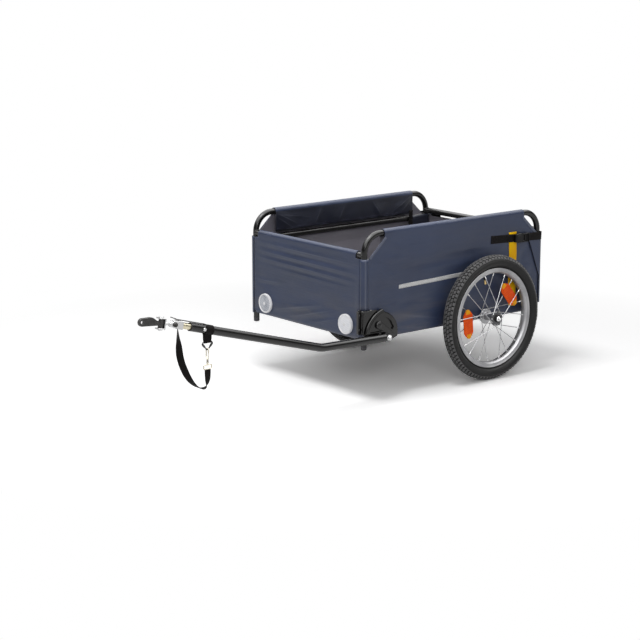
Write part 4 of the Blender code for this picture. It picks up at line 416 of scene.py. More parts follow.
def add_turned(bm, profile, place=(0, 0, 0), axis=(0, 0, 1), steps=48):
    """A profile of (radius, height) points, turned about the axis through the place."""
    axis = Vector(axis).normalized()
    across = axis.orthogonal().normalized()
    up = axis.cross(across)
    rings = []
    for radius, height in profile:
        centre = Vector(place) + axis * height
        if radius < 1e-6:
            rings.append([bm.verts.new(centre)])
            continue
        rings.append([bm.verts.new(centre + radius * (cos(t) * across + sin(t) * up)) for t in circle(steps)])
    for ring, following in zip(rings, rings[1:]):
        for i in range(steps):
            j = (i + 1) % steps
            corners = [ring[i % len(ring)], ring[j % len(ring)]]
            corners += [following[j % len(following)], following[i % len(following)]]
            corners = list(dict.fromkeys(corners))
            if len(corners) > 2:
                bm.faces.new(corners)


def grained(name, tones, gloss, patches, grain, relief, **sockets):
    """Soft patches between two tones and two degrees of gloss, under a fine grain in relief."""
    made, tree, shader = new_material(name, **sockets)
    uneven = cloudy(tree, *patches)
    connect(tree, shader, base_color=ramp(tree, uneven, *tones), roughness=span(tree, uneven, *gloss))
    connect(tree, shader, normal=bump(tree, cloudy(tree, *grain), *relief))
    return made


def moulded_plastic(name, colour, roughness):
    """Moulded plastic: a fine spark-eroded grain, slightly uneven in colour and gloss."""
    tones = tuple(0.82 * c for c in colour), colour
    gloss = roughness - 0.05, roughness + 0.08
    return grained(name, tones, gloss, (30, 4), (2600, 2), (0.18, 0.0002), specular_ior_level=0.2)


grey_plastic = moulded_plastic("grey_foot_plastic", (0.075, 0.072, 0.078), 0.50)
for side_name, side in SIDES.items():
    for end_name, x in (("front", FRONT_POST_X), ("rear", REAR_POST_X)):
        profile = [(0, FOOT_HEIGHT), (TUBE, FOOT_HEIGHT)]
        for i in range(3):
            rib = FOOT_HEIGHT - 0.0022 - i * 0.003
            profile += [(TUBE, rib), (TUBE - 0.0005, rib - 0.0004)]
            profile += [(TUBE - 0.0005, rib - 0.0012), (TUBE, rib - 0.0016)]
        profile += [(TUBE, 0.0030), (TUBE - 0.0008, 0.0012), (TUBE - 0.0028, 0), (0, 0)]
        bm = bmesh.new()
        add_turned(bm, profile, (x, side * POST_Y, FOOT_Z))
        made = piece(f"{side_name}_{end_name}_foot", bm)
        fit(made, "trailer", grey_plastic, "grey_plastic", f"{side_name}_{end_name}_foot_cap")

# Floor board
# A 6 mm plywood board with a dark film face lies on the lower side rails and is held by a screw near each
# corner and at the middle of each side. It is notched for the drawbar's clamp.
BOARD_LOW = 0.2093
BOARD_TOP = 0.2153
BOARD_REAR_X = -0.2261
BOARD_FRONT_X = 0.4775
BOARD_HALF = 0.2685
NOTCH_X = 0.4684
NOTCH_Y = 0.2479


def add_prism(bm, outline, low, high, edge=0.0, axis="Z"):
    """A flat outline given its thickness along the axis, with a small chamfer round both faces."""
    order = {"X": (2, 0, 1), "Y": (0, 2, 1), "Z": (0, 1, 2)}[axis]
    count = len(outline)
    area = sum(a[0] * b[1] - b[0] * a[1] for a, b in zip(outline, outline[1:] + outline[:1]))
    turn = 1 if area > 0 else -1

    def ring(level, inset):
        places = []
        for i, point in enumerate(outline):
            before = Vector(outline[i - 1][:2])
            here = Vector(point[:2])
            after = Vector(outline[(i + 1) % count][:2])
            first, second = (here - before).normalized(), (after - here).normalized()
            normal = Vector((-(first.y + second.y), first.x + second.x)) * turn
            lean = max(normal.length_squared / 4, 0.25)
            inner = here + normal / 2 / lean * inset
            flat = (inner.x, inner.y, level)
            places.append(bm.verts.new([flat[k] for k in order]))
        return places

    levels = [(low, edge), (low + edge, 0), (high - edge, 0), (high, edge)] if edge else [(low, 0), (high, 0)]
    join_rings(bm, [ring(level, inset) for level, inset in levels])


def film_faced_board():
    """Phenolic film: near-black brown with a fine pressed mesh, scuffed in long faint strokes."""
    made, tree, shader = new_material("film_faced_plywood")
    scuffs = cloudy(tree, 14, 6, (1, 6, 1), 0.7)
    mesh = {"Vector": object_place(tree), "Scale": 150}
    waves = [node(tree, "TexWave", mesh, bands_direction=axis).outputs["Fac"] for axis in ("X", "Y")]
    pressed = bump(tree, maths(tree, "MULTIPLY", *waves), 0.2, 0.0003)
    connect(tree, shader, base_color=ramp(tree, scuffs, (0.026, 0.022, 0.020), (0.050, 0.044, 0.041)))
    connect(tree, shader, roughness=span(tree, scuffs, 0.42, 0.62), normal=pressed)
    return made


def bright_metal(name, tint, roughness, smear, patches=60):
    """Bare or plated metal: uneven gloss, a slight change of tint, and fine scratches."""
    tones = tuple(0.86 * c for c in tint), tint
    gloss = roughness, roughness + smear
    return grained(name, tones, gloss, (patches, 4), (1800, 3), (0.06, 0.0002), metallic=1.0)


board_film = film_faced_board()
outline = [
    (BOARD_REAR_X, -BOARD_HALF),
    (BOARD_FRONT_X, -BOARD_HALF),
    (BOARD_FRONT_X, NOTCH_Y),
    (NOTCH_X, NOTCH_Y),
    (NOTCH_X, BOARD_HALF),
    (BOARD_REAR_X, BOARD_HALF),
]
bm = bmesh.new()
add_prism(bm, outline, BOARD_LOW, BOARD_TOP, 0.0006)
fit(piece("plywood_floor", bm, 20), "trailer", board_film, "board", "floor_board")

plated_screw = bright_metal("dark_plated_screws", (0.20, 0.20, 0.21), 0.30, 0.12)
bm = bmesh.new()
for x in (-0.195, 0.125, 0.440):
    for y in (-0.2585, 0.2585):
        head = [(0.0052, 0), (0.0050, 0.0008), (0.0038, 0.0018), (0.0021, 0.0023), (0.0019, 0.0008)]
        add_turned(bm, head + [(0, 0.0006)], (x, y, BOARD_TOP), steps=24)
fit(piece("floor_screws", bm), "trailer", plated_screw, "chrome")

# Side cloth
# Each side is one panel of coated navy cloth: a flap inside, over the top rail, down the outside and under
# the lower rail. Sleeves sewn on its ends go round the posts, the rear one well in. Cut edges are stitched.
CLOTH = 0.0016
WRAP = 0.0111
PANEL_Y = POST_Y + WRAP
FLAP_HEM_Z = 0.4445
SLEEVE_TOP_Z = 0.437
CORNER_CUT_Z = 0.496
RAIL_SLEEVE_FRONT_X = 0.419
RAIL_SLEEVE_REAR_X = -0.171
CORNER_FRONT_X = 0.4815
CORNER_REAR_X = -0.232
WINDOW_LOW_Z = 0.2084
WINDOW_TOP_Z = 0.2816
WINDOW_X = 0.4684
EDGE_STEP = 0.0001
LOWER_HEM_Z = 0.1884
HEM_ROOM = 0.0104
LAP = WRAP + 0.0011
GUSSET_X = -0.158
GUSSET_LOW_Z = 0.2168
GUSSET_TOP_Z = 0.4362
PENNANT_X = -0.122
STRAP_Z = 0.435


def smooth(value, start, end):
    share = min(max((value - start) / (end - start), 0), 1)
    return share * share * (3 - 2 * share)


def fold(x, z, start, end, width, height):
    """A soft ridge or, with a negative height, a valley between two points of a panel."""
    run, rise = end[0] - start[0], end[1] - start[1]
    share = ((x - start[0]) * run + (z - start[1]) * rise) / (run * run + rise * rise)
    kept = min(max(share, 0.0), 1.0)
    away = hypot(x - start[0] - kept * run, z - start[1] - kept * rise)
    return height * exp(-((away / width) ** 2)) * sin(pi * min(max(share, 0.03), 0.97)) ** 0.7


def folds_in_mm(*rows):
    """Folds from rows of millimetres: where each starts and ends, its width and its height."""
    folds = []
    for row in rows:
        x, z, end_x, end_z, width, height = (value / 1000 for value in row)
        folds.append(((x, z), (end_x, end_z), width, height))
    return folds


def soft_noise(x, z, seed, across=7.0, up=9.0):
    return noise.noise(Vector((x * across, z * up, seed)))


# Folds of the side whose ridges also get a painted highlight in the cloth's colour.
SIDE_HIGHLIGHTED_FOLDS = folds_in_mm(
    (372, 254, 185, 217, 15, 2.4),
    (365, 210, 230, 196, 10, 1.4),
    (495, -150, 495, 750, 10, 5),
)
SIDE_FOLDS = SIDE_HIGHLIGHTED_FOLDS + folds_in_mm(
    (470, 432, 330, 330, 14, 2.7),
    (440, 455, 250, 395, 16, -2),
    (405, 490, 300, 415, 12, 1.7),
    (330, 398, 20, 404, 13, -2.7),
    (300, 372, -50, 386, 18, 2.4),
    (372, 238, 210, 205, 12, -1.4),
    (378, 286, 240, 290, 12, -2),
    (365, 310, 180, 302, 14, 1.9),
    (-160, 486, -60, 395, 14, 2.2),
    (-215, 420, -120, 330, 16, -2.4),
    (-225, 350, -90, 260, 14, 2),
    (90, 300, -60, 230, 16, 1.7),
    (150, 480, 120, 300, 30, -1.2),
    (60, 480, 40, 320, 26, -1.5),
)
FLAP_FOLDS = folds_in_mm(
    (421, 506, 330, 462, 6.5, 4),
    (419, 494, 350, 450, 5.5, 3.4),
    (421, 500, 270, 478, 6, 2.4),
    (230, 505, 262, 450, 9, 3),
    (130, 505, 160, 450, 9, 2.6),
    (-163, 506, -80, 460, 6.5, 4),
    (-161, 492, -110, 450, 5.5, 3.2),
    (10, 505, -30, 450, 10, 2.8),
)


def side_bulge(x, z, side):
    """How far the outer cloth stands out from its flat place: nothing where a tube or a strap holds it."""
    held = smooth(z, 0.2095, 0.250) * (1 - smooth(z, 0.470, 0.504))
    held *= smooth(x, REAR_POST_X, -0.200) * (1 - smooth(x, 0.452, 0.484))
    folds = sum(fold(x, z, *shape) for shape in SIDE_FOLDS)
    if side < 0:
        folds = sum(fold(0.249 - x, z, *shape) for shape in SIDE_FOLDS) * 0.9
    out = folds + 0.0011 * soft_noise(x, z, 3.1 * side) + 0.0005 * soft_noise(x, z, 9.0 * side, 26, 22)
    out -= 0.0014 * smooth(z, 0.21, 0.30) * (1 - smooth(z, 0.34, 0.42))
    by_rail = exp(-(((z - MID_RAIL_Z) / 0.014) ** 2))
    out = out * (1 - by_rail) + max(out, 0.0002) * by_rail
    by_strap = (1 - smooth(x, -0.050, 0.005)) * exp(-(((z - STRAP_Z) / 0.024) ** 2))
    held *= 1 - by_strap
    if side > 0:
        held *= smooth(abs(x - PENNANT_X), 0.019, 0.045)
        held *= 1 - smooth(x, 0.350, 0.378) * (1 - smooth(z, 0.285, 0.305))
    return out * held


def side_ends(z):
    """Rear and front edge of the side panel at a height, with the corners cut off by the hoop's bends."""
    share = min(max((z - SLEEVE_TOP_Z) / (CORNER_CUT_Z - SLEEVE_TOP_Z), 0), 1)
    if z <= SLEEVE_TOP_Z:
        return REAR_POST_X, FRONT_POST_X
    rear = CORNER_REAR_X + (RAIL_SLEEVE_REAR_X - CORNER_REAR_X) * share
    return rear, CORNER_FRONT_X + (RAIL_SLEEVE_FRONT_X - CORNER_FRONT_X) * share


def drawn_in(start, inner_start, inner_end, end, end_steps, inner_steps):
    """Places along a row: evenly spaced between two fixed ones, and drawn in or out to the row's own ends."""
    stretches = [(start, inner_start, end_steps), (inner_start, inner_end, inner_steps)]
    stretches.append((inner_end, end, end_steps))
    return [a + (b - a) * i / steps for a, b, steps in stretches for i in range(steps)] + [end]


def distances(points):
    """How far along the points each one lies."""
    travelled = [0.0]
    for before, after in zip(points, points[1:]):
        travelled.append(travelled[-1] + (Vector(after) - Vector(before)).length)
    return travelled


def add_grid(bm, rows, flip=False):
    """A sheet through rows with one count of points. Its UV map is in metres along and across."""
    layer = bm.loops.layers.uv.verify()
    middle = len(rows[0]) // 2
    along = distances([row[middle] for row in rows])
    across = distances(rows[len(rows) // 2])
    grid = [[bm.verts.new(place) for place in row] for row in rows]
    for j in range(len(rows) - 1):
        for i in range(len(grid[j]) - 1):
            corners = [(j, i), (j, i + 1), (j + 1, i + 1), (j + 1, i)]
            if flip:
                corners.reverse()
            face = bm.faces.new([grid[row][column] for row, column in corners])
            for loop, (row, column) in zip(face.loops, corners):
                loop[layer].uv = (along[row], across[column])


def panel_profile(rail_z, hem_z, hem_steps, step):
    """Points (distance from the posts' line, height, turn of the surface) from the inner to the lower hem."""
    profile = [(-WRAP, hem_z + (rail_z - hem_z) * i / hem_steps, 180) for i in range(hem_steps)]
    heights = [rail_z - step * i for i in range(1, ceil((rail_z - AXLE_Z) / step))]
    for z in (SLEEVE_TOP_Z, CORNER_CUT_Z, WINDOW_LOW_Z, WINDOW_TOP_Z):
        if z < rail_z:
            heights.append(z)
    heights += [SLEEVE_TOP_Z + EDGE_STEP, WINDOW_TOP_Z + EDGE_STEP, WINDOW_LOW_Z - EDGE_STEP]
    for middle_z, turns in ((rail_z, range(180, -1, -12)), (AXLE_Z, range(0, -111, -11))):
        profile += [(WRAP * cos(radians(t)), middle_z + WRAP * sin(radians(t)), t) for t in turns]
        if middle_z == rail_z:
            profile += [(WRAP, z, 0) for z in sorted(set(heights), reverse=True)]
    return profile


def fold_ridge_highlights(tree, folds, flat):
    """How much painted highlight each point gets from a fold's ridge: 1 on the strongest, fading to its sides
    and ends.
    """
    place = node(tree, "TexCoord").outputs["Object"]
    total = 0.0
    for start, end, width, height in folds:
        if height < 0:
            continue
        run = Vector(end) - Vector(start)
        along = run.normalized()
        share = height / 0.003
        for way, reach in ((along, run.length * 0.55), (Vector((-along.y, along.x)), width * 0.36)):
            direction = way.x * Vector(flat) + Vector((0, 0, way.y))
            reached = node(tree, "VectorMath", {0: place, 1: direction}, operation="DOT_PRODUCT").outputs[1]
            middle = way.dot(Vector(start) + run / 2)
            away = maths(tree, "ABSOLUTE", maths(tree, "SUBTRACT", reached, middle))
            share = maths(tree, "MULTIPLY", span(tree, away, 1, 0, 0, reach), share)
        total = maths(tree, "ADD", total, share)
    return total


def coated_cloth(name, deep, pale, dust, folds=(), flat=(1, 0, 0)):
    """Coated polyester: the weave shows through, fold ridges get a painted highlight, and dust lies low down.
    """
    made, tree, shader = new_material(name, specular_ior_level=0.42, sheen_weight=0.05, sheen_roughness=0.4)
    place = node(tree, "SeparateXYZ", {0: object_place(tree)}).outputs
    threads = []
    for level in (maths(tree, "ADD", place["X"], place["Y"]), place["Z"]):
        threads.append(maths(tree, "SINE", maths(tree, "MULTIPLY", level, 2 * pi / WEAVE)))
    woven = maths(tree, "MULTIPLY", *threads)
    tone = cloudy(tree, 6, 5, (1, 1, 2.2))
    rubbed = cloudy(tree, 12, 5, (0.35, 0.35, 2.4), 0.6)
    low_down = span(tree, place["Z"], 1, 0.15, 0.215, 0.335)
    dusty = maths(tree, "MULTIPLY", span(tree, rubbed, 0, 0.75, 0.46, 0.70), low_down)
    base = mixed(tree, dusty, ramp(tree, tone, deep, pale, 0.30, 0.70), dust)
    if folds:
        # The fold ridges are painted paler: a painted highlight.
        ridge_highlight = maths(tree, "MULTIPLY", fold_ridge_highlights(tree, folds, flat), RIDGE_HIGHLIGHT_SHARE)
        base = mixed(tree, ridge_highlight, base, RIDGE_HIGHLIGHT_COLOUR)
    thread_tone = span(tree, woven, 0.90, 1.05, -1, 1)
    grey = node(tree, "CombineColor", {0: thread_tone, 1: thread_tone, 2: thread_tone}).outputs[0]
    soft = bump(tree, cloudy(tree, 10, 3, (0.5, 0.5, 3.0), 0.6), 0.45, 0.004)
    connect(tree, shader, base_color=mixed(tree, 1.0, base, grey, "MULTIPLY"))
    connect(tree, shader, roughness=span(tree, tone, 0.36, 0.48))
    connect(tree, shader, normal=bump(tree, woven, 0.20, 0.00012, soft))
    return made


WEAVE = 0.0008
# The colour and strength of the painted highlight on fold ridges.
RIDGE_HIGHLIGHT_COLOUR = (0.125, 0.138, 0.185)
RIDGE_HIGHLIGHT_SHARE = 0.40
NAVY = (0.022, 0.033, 0.073), (0.033, 0.047, 0.096), (0.080, 0.078, 0.092)
navy_cloth = coated_cloth("navy_coated_cloth", *NAVY, SIDE_HIGHLIGHTED_FOLDS)
# The corner hems are painted a paler navy, as a painted highlight along the cloth's edges.
HEM_HIGHLIGHT_NAVY = (0.080, 0.095, 0.145), (0.105, 0.120, 0.175), (0.110, 0.110, 0.130)
hem_highlight_cloth = coated_cloth("navy_cloth_hems_painted_highlight", *HEM_HIGHLIGHT_NAVY)
# Inside the box, the flap and the rear sleeves' inner parts are painted a deeper navy as painted shade; the
# flap's fold ridges get a painted highlight.
FLAP_SHADE_NAVY = (0.008, 0.010, 0.020), (0.018, 0.021, 0.037), (0.03, 0.03, 0.04)
shaded_cloth = coated_cloth("navy_cloth_painted_shade_inside", *FLAP_SHADE_NAVY, FLAP_FOLDS)
# The grey backing is painted paler, as painted light inside the shaded box.
LIT_BACKING_GREY = (0.235, 0.225, 0.265), (0.290, 0.278, 0.320), (0.270, 0.255, 0.270)
lit_backing = coated_cloth("grey_cloth_backing_painted_light", *LIT_BACKING_GREY)


def thicken(made, thickness):
    """Gives a sheet its thickness, half of it to each side."""
    wall = made.modifiers.new("Thickness", "SOLIDIFY")
    wall.thickness = thickness
    wall.offset = 0
    return wall


def as_cloth(made):
    """A cloth's thickness, navy outside and with the grey backing inside, its grey painted paler as painted
    light; the flap and the rear sleeves' inner parts get a deeper navy, as painted shade.
    """
    for look in (lit_backing, shaded_cloth, lit_backing):
        made.data.materials.append(look)
    wall = thicken(made, CLOTH)
    wall.material_offset = 1
    wall.material_offset_rim = 0
    return made


def sheet_piece(name, bm, thickness, body, material, slot, *nodes):
    made = piece(name, bm, 0, closed=False)
    thicken(made, thickness)
    return fit(made, body, material, slot, *nodes)


STITCH_PITCH = 0.0044
STITCH_LENGTH = 0.0030
STITCH = 0.00038


def add_stitches(bm, path):
    """A row of thread stitches along the path, each a short bead that stands on the cloth."""
    path = [Vector(place) for place in path]
    travelled = 0.0
    for before, after in zip(path, path[1:]):
        run = after - before
        if run.length < 1e-7:
            continue
        along = run.normalized()
        at = STITCH_PITCH - travelled % STITCH_PITCH if travelled % STITCH_PITCH else 0.0
        while at + STITCH_LENGTH <= run.length + 1e-9:
            start = before + along * at
            steps = [(0.0, 0.35), (0.25, 1.0), (0.75, 1.0), (1.0, 0.35)]
            places = [start + along * STITCH_LENGTH * share for share, _ in steps]
            add_tube(bm, places, [STITCH * size for _, size in steps], 5)
            at += STITCH_PITCH
        travelled += run.length


thread, tree, shader = new_material("navy_thread")
twist = {"Vector": object_place(tree), "Scale": 420, "Distortion": 2}
twist = node(tree, "TexWave", twist).outputs["Fac"]
connect(tree, shader, base_color=ramp(tree, twist, (0.045, 0.055, 0.095), (0.085, 0.098, 0.145), 0.2, 0.8))
connect(tree, shader, roughness=span(tree, twist, 0.6, 0.8))


for side_name, side in SIDES.items():
    rows = []
    for away, z, turn in panel_profile(TOP_RAIL_Z, FLAP_HEM_Z, 9, 0.0062):
        rear, front = side_ends(z)
        if turn > 0:
            rear, front = RAIL_SLEEVE_REAR_X, RAIL_SLEEVE_FRONT_X
        elif turn < 0:
            rear, front = REAR_POST_X + HEM_ROOM, FRONT_POST_X - HEM_ROOM
        if side > 0 and WINDOW_LOW_Z <= z <= WINDOW_TOP_Z and turn == 0:
            front = WINDOW_X
        row = []
        for x in drawn_in(rear, -0.150, 0.400, front, 12, 94):
            out = side_bulge(x, z, side) if turn == 0 else 0
            if turn == 180:
                loose = 1 - smooth(z, FLAP_HEM_Z + 0.010, TOP_RAIL_Z - 0.004)
                out = loose * (0.0030 * soft_noise(x, z, 5.0 * side, 14, 8) + 0.0012 * sin(x * 61 + 20 * z))
                out += sum(fold(x, z, *shape) for shape in FLAP_FOLDS)
                out = max(out, -0.0004)
            lean = radians(turn)
            row.append((x, side * (POST_Y + away + out * cos(lean)), z + out * sin(lean)))
        rows.append(row)
    bm = bmesh.new()
    add_grid(bm, rows, side < 0)
    rows = []
    for i in range(23):
        z = GUSSET_TOP_Z + (GUSSET_LOW_Z - GUSSET_TOP_Z) * i / 22
        row = [(REAR_POST_X + x, side * (POST_Y + y), z) for x, y in arc((0, 0), WRAP, 90, 270, 20)]
        for k in range(1, 15):
            slack = 0.0011 * sin(pi * k / 14) * (1 + sin(z * 95 + k * 0.5))
            row.append((REAR_POST_X + (GUSSET_X - REAR_POST_X) * k / 14, side * (POST_Y - WRAP - slack), z))
        rows.append(row)
    add_grid(bm, rows, side > 0)
    # Faces inside the box, on the flap and the rear sleeve's inner part, take the deeper navy of painted
    # shade.
    for face in bm.faces:
        middle = face.calc_center_median()
        if BOARD_TOP < middle.z < TOP_RAIL_Z and abs(middle.y) < POST_Y - TUBE / 2:
            face.material_index = 2
    stretches = [(LOWER_HEM_Z, SLEEVE_TOP_Z)]
    if side > 0:
        stretches = [(WINDOW_TOP_Z, SLEEVE_TOP_Z), (LOWER_HEM_Z, WINDOW_LOW_Z)]
    for low, high in stretches:
        steps = max(2, ceil((high - low) / 0.012))
        rows = []
        for i in range(steps + 1):
            z = high + (low - high) * i / steps
            sleeve = [(-0.0085 + 0.0021 * k, LAP) for k in range(4)] + arc((0, 0), LAP, 90, -15, 14)
            rows.append([(FRONT_POST_X + x, side * (POST_Y + y), z) for x, y in sleeve])
        add_grid(bm, rows, side < 0)
    made = piece(f"{side_name}_side_cloth", bm, 0, closed=False)
    fit(made, "trailer", navy_cloth, "navy_cloth", f"{side_name}_side_panel")
    as_cloth(made)

# Hems, stripe and eyelets on the side cloth
# The slanted corner edges and the flap's edge carry a stitched fold of the same cloth; the corner folds are
# painted a paler navy as a painted highlight. A grey reflective tape is sewn along each side, and a black
# eyelet takes each wheel's axle pin.
STRIPE_FRONT = (0.361, 0.338)
STRIPE_REAR = (-0.090, 0.349)
STRIPE_HALF = 0.0062


def side_place(x, z, side, lift=0.0):
    """A point on the outer face of the side cloth, lifted off it."""
    return Vector((x, side * (PANEL_Y + CLOTH / 2 + side_bulge(x, z, side) + lift), z))


def reflective_tape():
    """Grey glass-bead tape: a fine slanted hatch pressed in, with duller scuffed places."""
    made, tree, shader = new_material("grey_reflective_tape", specular_ior_level=0.7)
    place = object_place(tree, (1, 0, 1))
    hatch = node(tree, "TexWave", {"Vector": place, "Scale": 85}, bands_direction="DIAGONAL").outputs["Fac"]
    scuffs = cloudy(tree, 40, 4)
    base = mixed(tree, 0.5, ramp(tree, hatch, 0.48, 0.66, 0.2, 0.8), ramp(tree, scuffs, 0.50, 0.66))
    connect(tree, shader, base_color=base, roughness=span(tree, scuffs, 0.28, 0.45))
    connect(tree, shader, normal=bump(tree, hatch, 0.25, 0.0002))
    return made


def strip_rows(path, half, face, steps=2):
    """Rows across a narrow strip along a path of (x, z) points; face gives the point for (x, z)."""
    rows = []
    for i, (x, z) in enumerate(path):
        before, after = Vector(path[max(i - 1, 0)]), Vector(path[min(i + 1, len(path) - 1)])
        run = (after - before).normalized()
        across = Vector((-run.y, run.x)) * half
        places = range(-steps, steps + 1)
        rows.append([face(x + across.x * k / steps, z + across.y * k / steps) for k in places])
    return rows


def between(start, end, steps):
    """Evenly spaced points from start to end."""
    return [tuple(a + (b - a) * i / steps for a, b in zip(start, end)) for i in range(steps + 1)]


def seam_low(side):
    """Lower end of an upright seam at a front corner: the left one stops above the cloth's window."""
    return WINDOW_TOP_Z + 0.002 if side > 0 else 0.192


tape = reflective_tape()
eyelet_black = moulded_plastic("black_eyelet_plastic", (0.014, 0.014, 0.015), 0.4)
for side_name, side in SIDES.items():
    bm = bmesh.new()
    route = between(STRIPE_FRONT, STRIPE_REAR, 80)
    add_grid(bm, strip_rows(route, STRIPE_HALF, lambda x, z: side_place(x, z, side, 0.0003)), side > 0)
    stripe = sheet_piece(f"{side_name}_reflective_stripe", bm, 0.0004, "trailer", tape, "navy_cloth")

    bm = bmesh.new()
    cuts = [
        ((CORNER_FRONT_X - 0.0035, SLEEVE_TOP_Z + 0.001), (RAIL_SLEEVE_FRONT_X - 0.0045, CORNER_CUT_Z)),
        ((CORNER_REAR_X + 0.0035, SLEEVE_TOP_Z + 0.001), (RAIL_SLEEVE_REAR_X + 0.0045, CORNER_CUT_Z)),
    ]
    for start, end in cuts:
        add_grid(bm, strip_rows(between(start, end, 16), 0.0042, lambda x, z: side_place(x, z, side, 0.0004)))
    hems = sheet_piece(f"{side_name}_side_hems", bm, 0.0009, "trailer", hem_highlight_cloth, "navy_cloth")

    bm = bmesh.new()
    for start, end in cuts:
        for shift in (-0.0030, 0.0030):
            slope = 1 if start[0] > end[0] else -1
            points = [(x + shift * slope, z) for x, z in between(start, end, 12)]
            add_stitches(bm, [side_place(x, z, side, 0.0008) for x, z in points])
    for edge in (STRIPE_HALF - 0.0012, -STRIPE_HALF + 0.0012):
        points = between(STRIPE_FRONT, STRIPE_REAR, 60)
        add_stitches(bm, [side_place(x, z + edge, side, 0.0006) for x, z in points])
    for x in (FRONT_POST_X - 0.0075, FRONT_POST_X - 0.0035):
        level = side * (PANEL_Y + CLOTH + 0.0011)
        add_stitches(bm, [(x, level, seam_low(side)), (x, level, SLEEVE_TOP_Z - 0.002)])
    for x in (REAR_POST_X + 0.004, REAR_POST_X + 0.010):
        add_stitches(bm, [side_place(x, 0.205, side), side_place(x, 0.415, side)])
    hem_y = side * (POST_Y - WRAP - CLOTH / 2 - 0.0002)
    for z in (FLAP_HEM_Z + 0.004, FLAP_HEM_Z + 0.009):
        add_stitches(bm, [(RAIL_SLEEVE_REAR_X + 0.005, hem_y, z), (RAIL_SLEEVE_FRONT_X - 0.005, hem_y, z)])
    seam_front = 0.370 if side > 0 else 0.475
    rail_seam = between((REAR_POST_X + 0.02, AXLE_Z + 0.012), (seam_front, AXLE_Z + 0.012), 50)
    add_stitches(bm, [side_place(x, z, side, 0.0001) for x, z in rail_seam])
    stitching = fit(piece(f"{side_name}_side_stitching", bm), "trailer", thread, "navy_cloth")

    bm = bmesh.new()
    ring = [(RECEIVER + r, h) for r, h in ((0.0008, 0.0015), (0.0012, 0.0022), (0.0030, 0.0022), (0.0042, 0))]
    add_turned(bm, ring, (0, side * (PANEL_Y + CLOTH / 2), AXLE_Z), (0, side, 0))
    fit(piece(f"{side_name}_axle_eyelet", bm), "trailer", eyelet_black, "black_plastic")

# Front cloth
# A panel of the same cloth hangs from the front cross tube and turns under the lower one. It was folded for
# packing, so level creases cross it, and it is pulled tight towards its lower corners.
FRONT_X = FRONT_POST_X + WRAP
FRONT_HALF = 0.2595
FRONT_SLEEVE_HALF = 0.2395
FRONT_WINDOW_Y = 0.2508
FRONT_FLAP_Z = 0.429
REFLECTOR_Y = 0.198
REFLECTOR_Z = 0.2295
FRONT_FOLDS = folds_in_mm(
    (-250, 423, 250, 417, 8, 2.6),
    (-250, 409, 250, 402, 6, -2.2),
    (-250, 396, 250, 386, 7, 3),
    (-250, 384, 250, 374, 6, -2.2),
    (-250, 374, 250, 362, 6.5, 2.4),
    (-240, 358, 240, 348, 7, -1.6),
    (-200, 350, 245, 341, 6, 1.6),
    (-255, 300, -120, 306, 7, 1.8),
    (-255, 287, -90, 300, 7, -1.4),
    (-170, 214, 80, 266, 10, 3),
    (-130, 207, 90, 256, 8, -2.4),
    (-80, 204, 130, 259, 9, 3),
    (-10, 204, 150, 244, 8, -2.2),
    (40, 205, 160, 238, 7, 2),
)


def clear_of_reflectors(y, z):
    """0 under the two round reflectors of an end panel, rising to 1 away from them."""
    return smooth(hypot(abs(y) - REFLECTOR_Y, z - REFLECTOR_Z), 0.033, 0.050)


def front_bulge(y, z):
    """How far the front cloth stands out from its flat place, nothing where tubes or reflectors hold it."""
    held = smooth(z, 0.2045, 0.222) * (1 - smooth(z, 0.425, 0.445)) * (1 - smooth(abs(y), 0.232, 0.254))
    held *= clear_of_reflectors(y, z)
    out = sum(fold(y, z, *shape) for shape in FRONT_FOLDS)
    out += 0.0010 * soft_noise(y, z, 21.0, 5, 12) + 0.0005 * soft_noise(y, z, 27.0, 18, 30)
    return (out - 0.0010 * smooth(z, 0.21, 0.30) * (1 - smooth(z, 0.34, 0.42))) * held


rows = []
for away, z, turn in panel_profile(TOP_CROSS_Z, FRONT_FLAP_Z, 3, 0.0040):
    left = FRONT_HALF
    if z > SLEEVE_TOP_Z or turn == 180:
        left = FRONT_SLEEVE_HALF
    elif turn < 0:
        left = POST_Y - TUBE - 0.001
    right = -left
    if turn == 0 and WINDOW_LOW_Z <= z <= WINDOW_TOP_Z:
        left = FRONT_WINDOW_Y
    row = []
    for y in drawn_in(right, -0.225, 0.225, left, 7, 82):
        out = front_bulge(y, z) if turn == 0 else 0
        row.append((FRONT_POST_X + away + out * cos(radians(turn)), y, z))
    rows.append(row)
bm = bmesh.new()
add_grid(bm, rows, True)
# The front cloth's navy is painted a little deeper than the sides', as painted shade, and its fold ridges get
# a painted highlight.
FRONT_SHADE_NAVY = (0.018, 0.029, 0.066), (0.027, 0.040, 0.088), (0.066, 0.066, 0.080)
creased_cloth = coated_cloth("navy_front_cloth_painted_shade", *FRONT_SHADE_NAVY, FRONT_FOLDS, (0, 1, 0))
made = piece("front_cloth", bm, 0, closed=False)
front_cloth = as_cloth(fit(made, "trailer", creased_cloth, "navy_cloth", "front_panel"))
bm = bmesh.new()
seams = []
for y in (0.2515, 0.2555):
    seams += [((side * y, seam_low(side)), (side * y, SLEEVE_TOP_Z - 0.002), 30) for side in (1, -1)]
seams += [((-0.236, z), (0.236, z), 60) for z in (0.4255, 0.2120)]
for seam in seams:
    add_stitches(bm, [(FRONT_X + CLOTH / 2 + 0.0001 + front_bulge(y, z), y, z) for y, z in between(*seam)])
front_stitching = fit(piece("front_stitching", bm), "trailer", thread, "navy_cloth")

